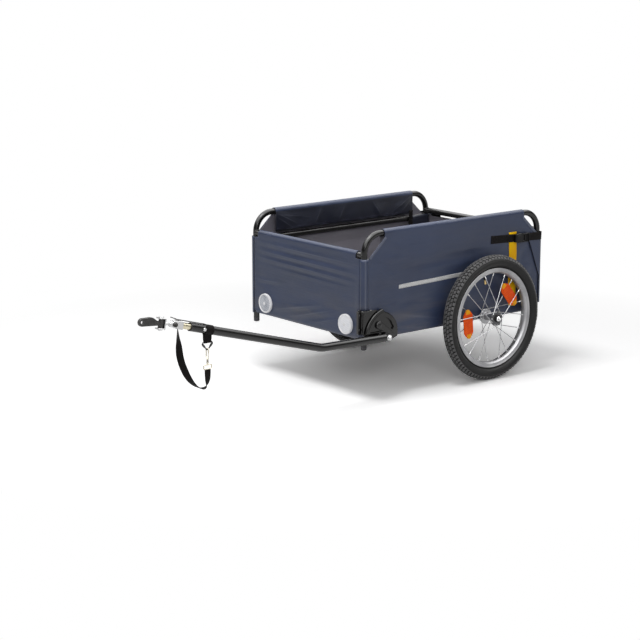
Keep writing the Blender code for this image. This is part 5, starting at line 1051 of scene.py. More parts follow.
# Tailgate cloth
# The rear panel wraps round both rear posts with a slanted wing on each side, and a sleeve at its foot
# turns on the lower cross tube. Thin black piping binds its edges; unbuckled, it folds down behind.
TAILGATE_CORNER = 0.0137
TAILGATE_Y = POST_Y + TAILGATE_CORNER
TAILGATE_X = REAR_POST_X - TAILGATE_CORNER
TAILGATE_TOP_Z = 0.4345
WING_TOP_X = -0.194
WING_REAR_X = -0.241
WING_EDGE_Z = 0.417
WING_LOW_Z = 0.300
FOOT_ROOM_Z = 0.211
SLEEVE_HALF = 0.2512
PIPING = 0.0011
TAILGATE_FOLDS = folds_in_mm(
    (-200, 420, 180, 416, 10, -1.2),
    (-230, 395, 230, 392, 8, 1.2),
    (-230, 372, 230, 374, 8, -1.2),
    (-200, 340, 220, 336, 10, 1),
    (-245, 300, -60, 330, 14, -1.2),
    (245, 295, 40, 330, 14, -1.2),
    (-180, 262, 120, 256, 10, 1.2),
    (-60, 240, 190, 246, 8, -1),
)


def tailgate_bulge(y, z):
    """How far the rear cloth stands out backwards between the posts; a negative value sags inwards."""
    held = smooth(z, 0.2115, 0.235) * (1 - smooth(abs(y), 0.225, 0.252)) * clear_of_reflectors(y, z)
    held *= 1 - (1 - smooth(abs(abs(y) - 0.24), 0.035, 0.050)) * smooth(z, 0.395, 0.412)
    out = sum(fold(y, z, *shape) for shape in TAILGATE_FOLDS)
    out += 0.0011 * soft_noise(y, z, 41.0, 6, 10)
    return max(out, -0.0022) * held


def tailgate_height(y, z):
    """The rear cloth's top edge hangs a little lower between the posts, clear of the cross tube."""
    return z - 0.0065 * smooth(z, 0.370, TAILGATE_TOP_Z) * (1 - smooth(abs(y), 0.240, 0.258))


def wing_end(z):
    """Front edge of a tailgate wing at a height."""
    if z >= WING_EDGE_Z:
        return WING_TOP_X
    if z <= WING_LOW_Z:
        return WING_REAR_X
    return WING_REAR_X + (WING_TOP_X - WING_REAR_X) * (z - WING_LOW_Z) / (WING_EDGE_Z - WING_LOW_Z)


rows = []
heights = [FOOT_ROOM_Z + (TAILGATE_TOP_Z - FOOT_ROOM_Z) * i / 46 for i in range(47)]
heights += [WING_EDGE_Z, WING_LOW_Z]
for z in sorted(heights, reverse=True):
    wing = [(wing_end(z) + (REAR_POST_X - wing_end(z)) * i / 8, TAILGATE_Y) for i in range(8)]
    corner = [(REAR_POST_X + x, POST_Y + y) for x, y in arc((0, 0), TAILGATE_CORNER, 90, 180, 8)]
    left = wing + corner
    across = [POST_Y - 2 * POST_Y * i / 72 for i in range(1, 72)]
    back = [(TAILGATE_X - tailgate_bulge(y, z), y) for y in across]
    right = [(x, -y) for x, y in reversed(left)]
    rows.append([(x, y, tailgate_height(y, z)) for x, y in left + back + right])
bm = bmesh.new()
add_grid(bm, rows, True)
sleeve = [(TAILGATE_X, FOOT_ROOM_Z + (AXLE_Z - FOOT_ROOM_Z) * i / 6) for i in range(7)]
sleeve += arc((REAR_POST_X, AXLE_Z), TAILGATE_CORNER, 190, 520, 33)
add_grid(bm, [[(x, SLEEVE_HALF - 2 * SLEEVE_HALF * k / 40, z) for k in range(41)] for x, z in sleeve], True)
made = piece("tailgate_cloth", bm, 0, closed=False)
tailgate_cloth = as_cloth(fit(made, "tailgate", navy_cloth, "navy_cloth", "tailgate_panel"))


def rear_place(y, z, lift=0.0):
    """A point on the tailgate between its posts, lifted off it backwards."""
    return TAILGATE_X - lift - tailgate_bulge(y, z), y, tailgate_height(y, z)


bm = bmesh.new()
hem_gap = CLOTH / 2 + 0.0001
for z in (TAILGATE_TOP_Z - 0.0035, TAILGATE_TOP_Z - 0.0100, 0.2135):
    add_stitches(bm, [rear_place(y, z, hem_gap) for y, z in between((-0.250, z), (0.250, z), 70)])
for side in (1, -1):
    points = between((WING_REAR_X - 0.003, 0.222), (WING_REAR_X - 0.003, WING_LOW_Z), 8)
    points += between((WING_REAR_X - 0.003, WING_LOW_Z + 0.001), (WING_TOP_X - 0.004, WING_EDGE_Z), 12)
    add_stitches(bm, [(x, side * (TAILGATE_Y + hem_gap), z) for x, z in points])
tailgate_stitching = fit(piece("tailgate_stitching", bm), "tailgate", thread, "navy_cloth")


def webbing_weave(name, deep, pale):
    """Woven nylon webbing: fine ribs across it, twilled along, with a little fuzz that catches the light."""
    made, tree, shader = new_material(name, specular_ior_level=0.10, sheen_weight=0.03, sheen_roughness=0.5)
    place = node(tree, "UVMap").outputs[0]
    ribs = []
    for scale, way in ((170, "X"), (130, "DIAGONAL")):
        rib = node(tree, "TexWave", {"Vector": place, "Scale": scale}, bands_direction=way)
        ribs.append(rib.outputs["Fac"])
    woven = maths(tree, "MULTIPLY", *ribs)
    fuzz = cloudy(tree, 80, 5)
    base = mixed(tree, 0.5, ramp(tree, woven, deep, pale, 0.1, 0.8), ramp(tree, fuzz, deep, pale))
    connect(tree, shader, base_color=base, roughness=span(tree, fuzz, 0.68, 0.85))
    connect(tree, shader, normal=bump(tree, woven, 0.45, 0.0004))
    return made


black_webbing = webbing_weave("black_nylon_webbing", (0.003, 0.0025, 0.0025), (0.009, 0.0070, 0.0070))
black_thread = webbing_weave("black_stitch_thread", (0.012, 0.011, 0.012), (0.035, 0.033, 0.035))
bm = bmesh.new()
add_tube(bm, [rear_place(0.252 - 0.006 * i, TAILGATE_TOP_Z) for i in range(85)], PIPING, 8)
for side in (1, -1):
    points = between((WING_REAR_X + 0.0002, 0.214), (WING_REAR_X + 0.0002, WING_LOW_Z), 10)
    points += between((WING_REAR_X + 0.0004, WING_LOW_Z + 0.001), (WING_TOP_X, WING_EDGE_Z), 20)
    add_tube(bm, [(x, side * (TAILGATE_Y + 0.0003), z) for x, z in points], PIPING, 8)
wing_piping = fit(piece("tailgate_piping", bm), "tailgate", black_webbing, "black_webbing")

# Corner webbing
# Inside each rear corner the sleeve's front edge is sewn under an upright strip of black webbing.
WEBBING_HALF = 0.0085
WEBBING_TOP_Z = 0.4560
for side_name, side in SIDES.items():
    level = POST_Y - WRAP - CLOTH / 2 - 0.0016
    bm = bmesh.new()
    rows = []
    for i in range(31):
        z = GUSSET_LOW_Z + (WEBBING_TOP_Z - GUSSET_LOW_Z) * i / 30
        rows.append([(GUSSET_X - 0.004 + WEBBING_HALF * k / 3, side * level, z) for k in range(-3, 4)])
    add_grid(bm, rows, side > 0)
    strip = sheet_piece(f"{side_name}_corner_webbing", bm, 0.0013, "trailer", black_webbing, "black_webbing")
    bm = bmesh.new()
    for x in (GUSSET_X - 0.0105, GUSSET_X + 0.0025):
        inner = side * (level - 0.0009)
        add_stitches(bm, [(x, inner, GUSSET_LOW_Z + 0.003), (x, inner, WEBBING_TOP_Z - 0.003)])
    fit(piece(f"{side_name}_corner_stitching", bm), "trailer", black_thread, "black_webbing")

# Buckled straps at the rear corners
# A 25 mm webbing strap is sewn on each side and a second one on the tailgate. A side-release buckle joins
# them: the socket on the side's webbing, the plug on the tailgate's.
STRAP_FRONT_X = -0.025
STRAP_FRONT_Z = 0.439
STRAP_FALL = radians(2.34)
STRAP_HALF = 0.0125
STRAP_CLOTH = 0.0014
SEWN = CLOTH / 2 + STRAP_CLOTH / 2
RAISED = 0.0039
BUCKLE_UNDER = 0.0052
BUCKLE_TOP = 0.0146


def strap_frame(side):
    """Places given as (run forwards, outwards, up) along the sloping strap become places on the trailer."""
    mirror = Matrix.Scale(side, 4, (0, 1, 0))
    start = Matrix.Translation((STRAP_FRONT_X, PANEL_Y, STRAP_FRONT_Z))
    return mirror @ start @ Matrix.Rotation(-STRAP_FALL, 4, "Y")


def webbing_strip(bm, path, side):
    """Flat webbing along (run, outwards) points, as rows across its width."""
    frame_of = strap_frame(side)
    rows = []
    for run, out in path:
        rows.append([frame_of @ Vector((run, out, STRAP_HALF * k / 4)) for k in range(-4, 5)])
    add_grid(bm, rows, side > 0)


def box_stitching(bm, start, end, out, side):
    """The sewn box with a cross in it that holds a webbing end."""
    frame_of = strap_frame(side)
    up = STRAP_HALF - 0.0025
    corners = [(start, -up), (end, -up), (end, up), (start, up)]
    corners += [(start, -up), (end, up), (end, -up), (start, up)]
    add_stitches(bm, [frame_of @ Vector((run, out, height)) for run, height in corners])


def place_mesh(bm, matrix):
    bmesh.ops.transform(bm, matrix=matrix, verts=bm.verts)


def placed_piece(name, bm, place, body, material, slot, *nodes, smooth_under=30):
    """A piece whose mesh is written in a frame of its own and then moved to its place on the trailer."""
    place_mesh(bm, place)
    return fit(piece(name, bm, smooth_under), body, material, slot, *nodes)


def mirrored(points):
    """The points, and then their mirror images in the opposite order."""
    return points + [(reach, -height) for reach, height in reversed(points)]


def bar_outline(start, end, half):
    return [(start, -half), (end, -half), (end, half), (start, half)]


buckle_black = moulded_plastic("black_buckle_plastic", (0.0035, 0.0035, 0.004), 0.36)
for side_name, side in SIDES.items():
    bm = bmesh.new()
    path = [(-0.006 * i, SEWN) for i in range(12)] + [(-0.0725, SEWN + 0.0008), (-0.0755, RAISED - 0.0006)]
    path += [(-0.0785 - 0.006 * i, RAISED) for i in range(6)]
    webbing_strip(bm, path, side)
    strap_name = f"{side_name}_side_strap"
    side_strap = sheet_piece(strap_name, bm, STRAP_CLOTH, "trailer", black_webbing, "black_webbing")
    bm = bmesh.new()
    lift = SEWN + STRAP_CLOTH / 2 + 0.0001
    box_stitching(bm, -0.003, -0.026, lift, side)
    box_stitching(bm, -0.034, -0.066, lift, side)
    fit(piece(f"{side_name}_side_strap_stitching", bm), "trailer", black_thread, "black_webbing")

    bm = bmesh.new()
    out = TAILGATE_Y - PANEL_Y + SEWN
    post_run = REAR_POST_X - STRAP_FRONT_X
    bend = arc((post_run, -WRAP), TAILGATE_CORNER + SEWN, 90, 180, 10)
    path = [(-0.1425, out), (-0.160, out), (-0.180, out), (-0.200, out)] + bend
    path += [(bend[-1][0], bend[-1][1] - 0.006 * i) for i in range(1, 11)]
    webbing_strip(bm, path, side)
    strap_name = f"{side_name}_rear_strap"
    rear_strap = sheet_piece(strap_name, bm, STRAP_CLOTH, "tailgate", black_webbing, "black_webbing")
    bm = bmesh.new()
    frame_of = strap_frame(side)
    back_run = bend[-1][0] - STRAP_CLOTH / 2 - 0.0001
    for height in (-0.0095, 0.0095):
        ends = [frame_of @ Vector((back_run, -WRAP - reach, height)) for reach in (0.004, 0.058)]
        add_stitches(bm, ends)
    corners = [(0.030, -0.0095), (0.057, 0.0095), (0.057, -0.0095), (0.030, 0.0095), (0.030, -0.0095)]
    add_stitches(bm, [frame_of @ Vector((back_run, -WRAP - reach, height)) for reach, height in corners])
    fit(piece(f"{side_name}_rear_strap_stitching", bm), "tailgate", black_thread, "black_webbing")

    bm = bmesh.new()
    body = [(-0.1305, -0.0125), (-0.1240, -0.0150), (-0.1080, -0.0150)]
    body += [(-0.1010, -0.0125), (-0.0980, -0.0125)]
    add_prism(bm, mirrored(body), BUCKLE_UNDER, BUCKLE_TOP, 0.0018, "Y")
    pad = [(-0.1255, -0.0060), (-0.1235, -0.0078), (-0.1090, -0.0078), (-0.1070, -0.0060)]
    add_prism(bm, mirrored(pad), BUCKLE_TOP - 0.001, BUCKLE_TOP + 0.0005, 0.0005, "Y")
    for run in (-0.1035, -0.1005):
        bar = bar_outline(run - 0.0008, run + 0.0008, 0.0120)
        add_prism(bm, bar, BUCKLE_TOP - 0.001, BUCKLE_TOP + 0.0006, 0.0003, "Y")
    looks = buckle_black, "black_plastic"
    placed_piece(f"{side_name}_socket_body", bm, frame_of, "trailer", *looks, f"{side_name}_buckle_socket")

    bm = bmesh.new()
    base = [(-0.1603, -0.0128), (-0.1590, -0.01425), (-0.1480, -0.01425)]
    base += [(-0.1440, -0.0118), (-0.1308, -0.0118)]
    add_prism(bm, mirrored(base), BUCKLE_UNDER, BUCKLE_TOP - 0.0040, 0.0012, "Y")
    for start, end in ((-0.1603, -0.1575), (-0.1530, -0.1505), (-0.1460, -0.1400)):
        add_prism(bm, bar_outline(start, end, 0.0135), BUCKLE_UNDER + 0.003, BUCKLE_TOP - 0.0010, 0.0010, "Y")
    for flank in (1, -1):
        arm = [(-0.1440, 0.0085), (-0.1310, 0.0095), (-0.1310, 0.0142)]
        arm += [(-0.1350, 0.0142), (-0.1420, 0.0128), (-0.1460, 0.0115)]
        arm = [(run, flank * up) for run, up in arm]
        add_prism(bm, arm, BUCKLE_UNDER + 0.001, BUCKLE_TOP - 0.0010, 0.0010, "Y")
    placed_piece(f"{side_name}_plug_body", bm, frame_of, "tailgate", *looks, f"{side_name}_buckle_plug")

# Safety pennant
# A bright yellow nylon pennant, folded to a strip in four layers, is tucked under the left strap.
PENNANT_HALF = 0.017
PENNANT_TOP_Z = 0.4545
PENNANT_LOW_Z = 0.209


def pennant_cloth():
    made, tree, shader = new_material("yellow_pennant_cloth", specular_ior_level=0.15)
    place = node(tree, "UVMap").outputs[0]
    weave = node(tree, "TexWave", {"Vector": place, "Scale": 300}, bands_direction="DIAGONAL").outputs["Fac"]
    tone = cloudy(tree, 25, 4, (1, 1, 0.4))
    connect(tree, shader, base_color=ramp(tree, tone, (0.92, 0.44, 0.002), (0.95, 0.58, 0.003)))
    soft = bump(tree, cloudy(tree, 60, 3, (2, 1, 0.3)), 0.5, 0.0012)
    connect(tree, shader, roughness=span(tree, tone, 0.5, 0.7), normal=bump(tree, weave, 0.2, 0.0002, soft))
    return made


bm = bmesh.new()
for layer in range(3):
    rows = []
    low_left = PENNANT_LOW_Z + 0.004 + 0.003 * layer
    for i in range(61):
        share = i / 60
        row = []
        for k in range(9):
            flank = k / 4 - 1
            low = low_left + (0.006 + 0.002 * layer) * (flank + 1) / 2
            z = low + (PENNANT_TOP_Z - 0.0012 * layer - low) * share
            half = PENNANT_HALF - 0.0012 * layer
            ripple = 0.00022 * sin(z * 150 + layer) + 0.00016 * sin(z * 61 + flank * 3)
            x = PENNANT_X + half * flank * (1 - 0.10 * smooth(z, 0.30, 0.22)) + 0.0008 * sin(z * 45 + layer)
            row.append((x, PANEL_Y + CLOTH / 2 + 0.0005 + 0.0006 * layer + ripple, z))
        rows.append(row)
    add_grid(bm, rows)
looks = pennant_cloth(), "yellow_cloth"
pennant = sheet_piece("folded_pennant", bm, 0.0004, "trailer", *looks, "safety_pennant")

# Round reflectors
# A white ring with a clear prism lens at each front corner, a red one at each rear corner, riveted on.
REFLECTOR = 0.0313
LENS = 0.0258
PRISM = 0.0024


def prism_lens(name, bright, deep, roughness=0.12):
    """A reflector lens: small three-sided prisms behind smooth plastic, their glints painted into the colour,
    light and dark by turns.
    """
    made, tree, shader = new_material(name, roughness=roughness, specular_ior_level=0.15)
    place = node(tree, "SeparateXYZ", {0: node(tree, "TexCoord").outputs["Object"]}).outputs
    level = maths(tree, "ADD", place["X"], place["Y"])
    total = 0.0
    for turn in (0, 60, 120):
        first = maths(tree, "MULTIPLY", level, cos(radians(turn)))
        second = maths(tree, "MULTIPLY", place["Z"], sin(radians(turn)))
        height = maths(tree, "PINGPONG", maths(tree, "ADD", first, second), PRISM)
        total = maths(tree, "ADD", total, height)
    facet_glints = span(tree, total, 0, 1, 0.0028, 0.0046)
    spread = cloudy(tree, 45, 3)
    base = mixed(tree, 0.35, ramp(tree, facet_glints, deep, bright, 0.1, 0.9), ramp(tree, spread, deep, bright))
    connect(tree, shader, base_color=base, normal=bump(tree, total, 0.35, 0.4))
    return made


white_ring = moulded_plastic("white_reflector_ring", (0.93, 0.93, 0.95), 0.25)
# The same clear lens comes in a lit copy on the left and a darker shaded copy on the right: painted light and
# painted shade.
lit_and_shaded_clear_lenses = {
    "left": prism_lens("lit_clear_prism_lens", (0.97, 0.97, 1.0), (0.80, 0.82, 0.87)),
    "right": prism_lens("clear_prism_lens", (0.74, 0.76, 0.81), (0.22, 0.24, 0.29)),
}
red_ring = moulded_plastic("red_reflector_ring", (0.30, 0.008, 0.008), 0.25)
red_lens = prism_lens("red_prism_lens", (0.62, 0.016, 0.012), (0.22, 0.004, 0.004))
for side_name, side in SIDES.items():
    for end_name, face, outwards, ring_look, lens_look, slot_name, body in (
        ("front", FRONT_X + 0.0013, 1, white_ring, lit_and_shaded_clear_lenses[side_name], "white_lens", "trailer"),
        ("rear", TAILGATE_X - 0.0013, -1, red_ring, red_lens, "red_lens", "tailgate"),
    ):
        centre = (face, side * REFLECTOR_Y, REFLECTOR_Z)
        axis = (outwards, 0, 0)
        bm = bmesh.new()
        ring = [(0, 0), (REFLECTOR, 0), (REFLECTOR, 0.0052), (REFLECTOR - 0.0008, 0.0070)]
        ring += [(REFLECTOR - 0.0024, 0.0076), (LENS + 0.0008, 0.0072), (LENS, 0.0064)]
        ring += [(LENS, 0.0052), (0, 0.0052)]
        add_turned(bm, ring, centre, axis, 96)
        dome = [(LENS * cos(radians(t)), 0.0056 + 0.0026 * sin(radians(t))) for t in range(0, 91, 6)]
        lens_bm = bmesh.new()
        add_turned(lens_bm, [(LENS - 0.0001, 0.0050)] + dome, centre, axis, 96)
        for number in range(6):
            turn = radians(60 * number)
            run = Vector((0, cos(turn), sin(turn)))
            middle = Vector(centre) + Vector(axis) * 0.0080 + run * 0.004
            edge = Vector(centre) + Vector(axis) * 0.0060 + run * (LENS - 0.0012) + Vector(axis) * 0.0002
            add_tube(bm, [middle, edge], 0.0005, 8)
        add_turned(bm, [(0.0052, 0.0076), (0.0046, 0.0086), (0.0030, 0.0089), (0, 0.0089)], centre, axis, 32)
        made = piece(f"{side_name}_{end_name}_reflector_ring", bm, 30)
        fit(made, body, ring_look, slot_name, f"{side_name}_{end_name}_reflector")
        fit(piece(f"{side_name}_{end_name}_reflector_lens", lens_bm, 30), body, lens_look, slot_name)

# Wheels
# Two small spoked wheels, each on a quick-release pin pushed into its lower rail. The rubber tyre has a
# block tread, the aluminium rim a turned face, and twenty crossed spokes run from a flanged hub, with two
# orange reflectors on them.
WHEEL_Y = 0.310
WHEEL_RADIUS = 0.1995
TYRE_MIDDLE = 0.17925
TYRE_HALF_WIDTH = 0.022
BEAD_RADIUS = 0.1532
BEAD_HALF = 0.0112
TREAD_BLOCKS = 88
TREAD_DEPTH = 0.0028
RIM_RADIUS = 0.159
RIM_DEPTH = 0.0175
RIM_HALF = 0.0135
HUB_HALF = 0.027
FLANGE = 0.0248
FLANGE_AT = 0.0243
SPOKE = 0.0012
SPOKE_HOLE = 0.0216
SPOKES_PER_FLANGE = 10
VALVE_ANGLE = 75.8


def wheel_place(side):
    """From the wheel's own frame, whose Z axis points away from the box, to the trailer."""
    return Matrix.Translation((0, side * WHEEL_Y, AXLE_Z)) @ Matrix.Rotation(-side * pi / 2, 4, "X")


def ridge(value, centre, half):
    """1 at the centre of a groove, falling to 0 at its edges."""
    return 1 - smooth(abs(value - centre), half * 0.55, half * 1.25)


def tread_groove(turn, lean):
    """How deep the tread is cut, 0 to 1, at a turn of the wheel and a lean across the tyre in degrees."""
    across = abs(lean)
    if across > 66:
        return 0.0
    step = turn * TREAD_BLOCKS / (2 * pi)
    if across < 13:
        share, half = step + 0.018 * lean, 0.13
    elif across < 38:
        share, half = step + 0.5 + 0.010 * across, 0.12
    else:
        share, half = step + 0.10, 0.17
    depth = ridge(share % 1, 0.5, half)
    depth = max(depth, ridge(across, 13, 3.0), ridge(across, 38, 2.6))
    return depth * (1 - smooth(across, 58, 66))


def tyre_rubber(name, deep, pale):
    """Moulded rubber: a dull fine grain, with road dust in soft patches."""
    tones = (deep,) * 3, (pale, pale * 0.98, pale)
    return grained(name, tones, (0.45, 0.66), (22, 5), (900, 2), (0.15, 0.0003), specular_ior_level=0.22)


def add_ring(bm, profile, steps):
    """A closed profile of (radius, height) points, turned about Z."""
    rings = []
    for turn in circle(steps):
        rings.append([bm.verts.new((r * cos(turn), r * sin(turn), h)) for r, h in profile])
    join_rings(bm, rings, closed=True)


rubber = tyre_rubber("black_sidewall_rubber", 0.0085, 0.0165)
# The tread's block tops are dusty and also painted paler, as a painted highlight; its grooves are painted
# darker than the sidewall, as painted shade.
block_rubber = tyre_rubber("tread_rubber_dust_and_painted_highlight", 0.075, 0.135)
groove_rubber = tyre_rubber("groove_rubber_painted_shade", 0.004, 0.008)
bulge = WHEEL_RADIUS - TYRE_MIDDLE
leans = [152, 146, 138, 130, 122, 114, 106, 98, 90, 84, 78, 73] + [70 - 2 * i for i in range(71)]
leans += [-73, -78, -84, -90, -98, -106, -114, -122, -130, -138, -146, -152]


def tyre_point(lean, turn):
    """The tyre's surface: a round section with a raised bead line and the tread cut into its crown."""
    cut = TREAD_DEPTH * tread_groove(turn, lean)
    line = 0.0005 * (ridge(abs(lean), 128, 3) + ridge(abs(lean), 84, 3.5))
    line += 0.0004 * ridge(abs(lean), 104, 2.5)
    edge = 0.0007 * ridge(abs(lean), 70, 6)
    reach = bulge - 0.0007 - cut + line - edge + 0.0007 * (1 - smooth(abs(lean), 56, 72))
    width = TYRE_HALF_WIDTH - 0.0007 - cut * 0.7 + line - edge
    return TYRE_MIDDLE + reach * cos(radians(lean)), width * sin(radians(lean))


for side_name, side in SIDES.items():
    body = f"{side_name}_wheel"
    bm = bmesh.new()
    steps = TREAD_BLOCKS * 12
    rings = []
    for turn in circle(steps):
        points = [tyre_point(lean, turn) for lean in leans]
        points = [(BEAD_RADIUS, BEAD_HALF)] + points + [(BEAD_RADIUS, -BEAD_HALF)]
        rings.append([bm.verts.new((r * cos(turn), r * sin(turn), h)) for r, h in points])
    for i, (ring, following) in enumerate(zip(rings, rings[1:] + rings[:1])):
        for k in range(len(ring) - 1):
            face = bm.faces.new((ring[k], ring[k + 1], following[k + 1], following[k]))
            # Deep groove faces take the rubber of painted shade; the block tops take the dusty rubber with
            # its painted highlight.
            if 0 < k < len(leans) and abs(leans[k]) < 65:
                cut = tread_groove(2 * pi * (i + 0.5) / steps, (leans[k - 1] + leans[k]) / 2)
                face.material_index = 2 if cut > 0.45 else 1
    looks = rubber, "rubber", f"{side_name}_tyre"
    made = placed_piece(f"{side_name}_tyre_tread", bm, wheel_place(side), body, *looks, smooth_under=32)
    for look in (block_rubber, groove_rubber):
        made.data.materials.append(look)


def turned_aluminium():
    """Anodised aluminium with fine turning rings round the wheel's axle and a light dullness in places."""
    made, tree, shader = new_material("turned_rim_aluminium", metallic=1.0)
    place = node(tree, "SeparateXYZ", {0: node(tree, "TexCoord").outputs["Object"]}).outputs
    lift = maths(tree, "SUBTRACT", place["Z"], AXLE_Z)
    squares = [maths(tree, "POWER", reach, 2.0) for reach in (place["X"], lift)]
    radius = maths(tree, "SQRT", maths(tree, "ADD", *squares))
    turning = {"W": radius, "Scale": 3500, "Detail": 2}
    rings = node(tree, "TexNoise", turning, noise_dimensions="1D").outputs["Fac"]
    dull = cloudy(tree, 20, 4)
    connect(tree, shader, base_color=ramp(tree, dull, (0.30, 0.30, 0.31), (0.42, 0.42, 0.43)))
    connect(tree, shader, roughness=span(tree, dull, 0.44, 0.56), normal=bump(tree, rings, 0.12, 0.0002))
    return made


rim_metal = turned_aluminium()
hub_metal = bright_metal("hub_aluminium", (0.36, 0.36, 0.37), 0.26, 0.14, 40)
steel = bright_metal("bright_spoke_steel", (0.46, 0.46, 0.47), 0.24, 0.12, 90)
# A dark metal painted on the outer hub flange, as painted shade.
flange_shade_metal = bright_metal("hub_flange_painted_shade", (0.10, 0.10, 0.105), 0.28, 0.16, 60)
brass = bright_metal("valve_brass", (0.72, 0.52, 0.24), 0.28, 0.16, 200)
rubber_black = moulded_plastic("black_valve_rubber", (0.016, 0.016, 0.017), 0.6)
chrome = bright_metal("chrome_plate", (0.80, 0.80, 0.81), 0.10, 0.10, 120)


def spoke_ends():
    """Hub hole and rim hole of every spoke, with the flange's face; they cross in pairs on two flanges."""
    step = 2 * pi / SPOKES_PER_FLANGE
    for flange, face in ((0, 1), (1, -1)):
        for number in range(SPOKES_PER_FLANGE):
            lean = 1 if number % 2 else -1
            hub_angle = radians(-4) + step * (number + flange / 2)
            rim_angle = hub_angle - lean * radians(72)
            height = face * (FLANGE_AT + lean * 0.0019)
            bed = RIM_RADIUS - RIM_DEPTH - 0.0004
            start = Vector((SPOKE_HOLE * cos(hub_angle), SPOKE_HOLE * sin(hub_angle), height))
            end = Vector((bed * cos(rim_angle), bed * sin(rim_angle), face * 0.003))
            yield start, end, face * lean


for side_name, side in SIDES.items():
    body = f"{side_name}_wheel"
    place = wheel_place(side)
    bed = RIM_RADIUS - RIM_DEPTH
    half = [
        (RIM_RADIUS - 0.0006, RIM_HALF),
        (RIM_RADIUS - 0.0024, RIM_HALF),
        (RIM_RADIUS - 0.0030, RIM_HALF - 0.0004),
        (bed + 0.0066, RIM_HALF - 0.0004),
        (bed + 0.0058, RIM_HALF - 0.0001),
        (bed + 0.0050, RIM_HALF - 0.0003),
        (bed + 0.0030, RIM_HALF - 0.0032),
        (bed + 0.0012, RIM_HALF - 0.0056),
        (bed + 0.0003, 0.0050),
        (bed, 0.0025),
    ]
    inside = [(RIM_RADIUS, RIM_HALF - 0.0006), (RIM_RADIUS, RIM_HALF - 0.0018)]
    inside.append((RIM_RADIUS - 0.0060, RIM_HALF - 0.0020))
    bm = bmesh.new()
    add_ring(bm, mirrored(inside[::-1] + half), 240)
    looks = rim_metal, "rim_metal", f"{side_name}_rim"
    placed_piece(f"{side_name}_rim_ring", bm, place, body, *looks, smooth_under=24)

    inner, outer = FLANGE_AT - 0.0015, FLANGE_AT + 0.0015
    upper = [
        (0.0064, HUB_HALF),
        (0.0091, HUB_HALF),
        (0.0095, HUB_HALF - 0.0005),
        (0.0104, outer + 0.0003),
        (FLANGE - 0.0008, outer),
        (FLANGE, outer - 0.0008),
        (FLANGE, inner + 0.0008),
        (FLANGE - 0.0008, inner),
        (0.0138, inner),
        (0.0122, inner - 0.0010),
        (0.0115, inner - 0.0034),
        (0.0105, 0.0150),
        (0.0100, 0.0040),
    ]
    bm = bmesh.new()
    add_ring(bm, mirrored(upper), 72)
    # The outer flange's faces, away from the box, take the dark metal of painted shade; the inner flange
    # stays bright.
    for face in bm.faces:
        if face.calc_center_median().z > inner and face.calc_center_median().xy.length > 0.0093:
            face.material_index = 1
    looks = hub_metal, "rim_metal", f"{side_name}_hub_with_spokes"
    hub = placed_piece(f"{side_name}_hub_shell", bm, place, body, *looks)
    hub.data.materials.append(flange_shade_metal)

    bm = bmesh.new()
    for start, end, way in spoke_ends():
        run = (end - start).normalized()
        through = Vector((0, 0, way))
        path = [start - through * 0.0042, start - through * 0.0008, start + through * 0.0002 + run * 0.0010]
        path += [start + run * 0.0034, end - run * 0.016, end]
        add_tube(bm, path, SPOKE, 10)
        head = [(0, 0.0012), (0.0014, 0.0010), (0.0022, 0.0003), (0.0022, 0)]
        add_turned(bm, head, start - through * 0.0036, -through, 12)
    placed_piece(f"{side_name}_spokes", bm, place, body, steel, "rim_metal")
    bm = bmesh.new()
    for start, end, way in spoke_ends():
        run = (end - start).normalized()
        nipple = [(0, 0), (0.0014, 0.0002), (0.0019, 0.0012), (0.0019, 0.0106), (0.0012, 0.0112), (0, 0.0112)]
        add_turned(bm, nipple, end - run * 0.0110, run, 12)
    placed_piece(f"{side_name}_nipples", bm, place, body, chrome, "rim_metal")

    bm = bmesh.new()
    cap = HUB_HALF + 0.0002
    button = [(0, 0), (0.0084, 0), (0.0084, 0.0052), (0.0078, 0.0072), (0.0062, 0.0088)]
    button += [(0.0046, 0.0096), (0.0045, 0.0124), (0.0036, 0.0131), (0, 0.0133)]
    add_turned(bm, [(r, cap + h) for r, h in button], steps=60)
    stem = [(0.0060, cap), (0.0060, -0.0726), (0.0050, -0.0738), (0, -0.0740)]
    add_turned(bm, stem, steps=32)
    placed_piece(f"{side_name}_axle_pin_turned", bm, place, body, chrome, "chrome", f"{side_name}_axle_pin")
    bm = bmesh.new()
    ring = [(0.0088, cap + 0.0058), (0.0108, cap + 0.0056), (0.0115, cap + 0.0046), (0.0115, cap + 0.0012)]
    ring += [(0.0108, cap + 0.0002), (0.0088, cap + 0.0002), (0.0088, cap + 0.0058)]
    add_turned(bm, ring, steps=60)
    placed_piece(f"{side_name}_axle_pin_collar", bm, place, body, rubber_black, "chrome")

    bm = bmesh.new()
    turn = -radians(VALVE_ANGLE) * side
    outwards = Vector((cos(turn), sin(turn), 0))
    stem = [(0.0040, 0.0004), (0.0040, -0.0030), (0.0030, -0.0046), (0.0030, -0.0150), (0, -0.0152)]
    add_turned(bm, stem, outwards * bed, outwards, 20)
    placed_piece(f"{side_name}_valve_rubber", bm, place, body, rubber_black, "rubber")
    bm = bmesh.new()
    lid = [(0.0026, -0.0148), (0.0026, -0.0195), (0.0035, -0.0200)]
    lid += [(0.0035, -0.0270), (0.0026, -0.0282), (0, -0.0284)]
    add_turned(bm, lid, outwards * bed, outwards, 20)
    placed_piece(f"{side_name}_valve_cap", bm, place, body, brass, "zinc")

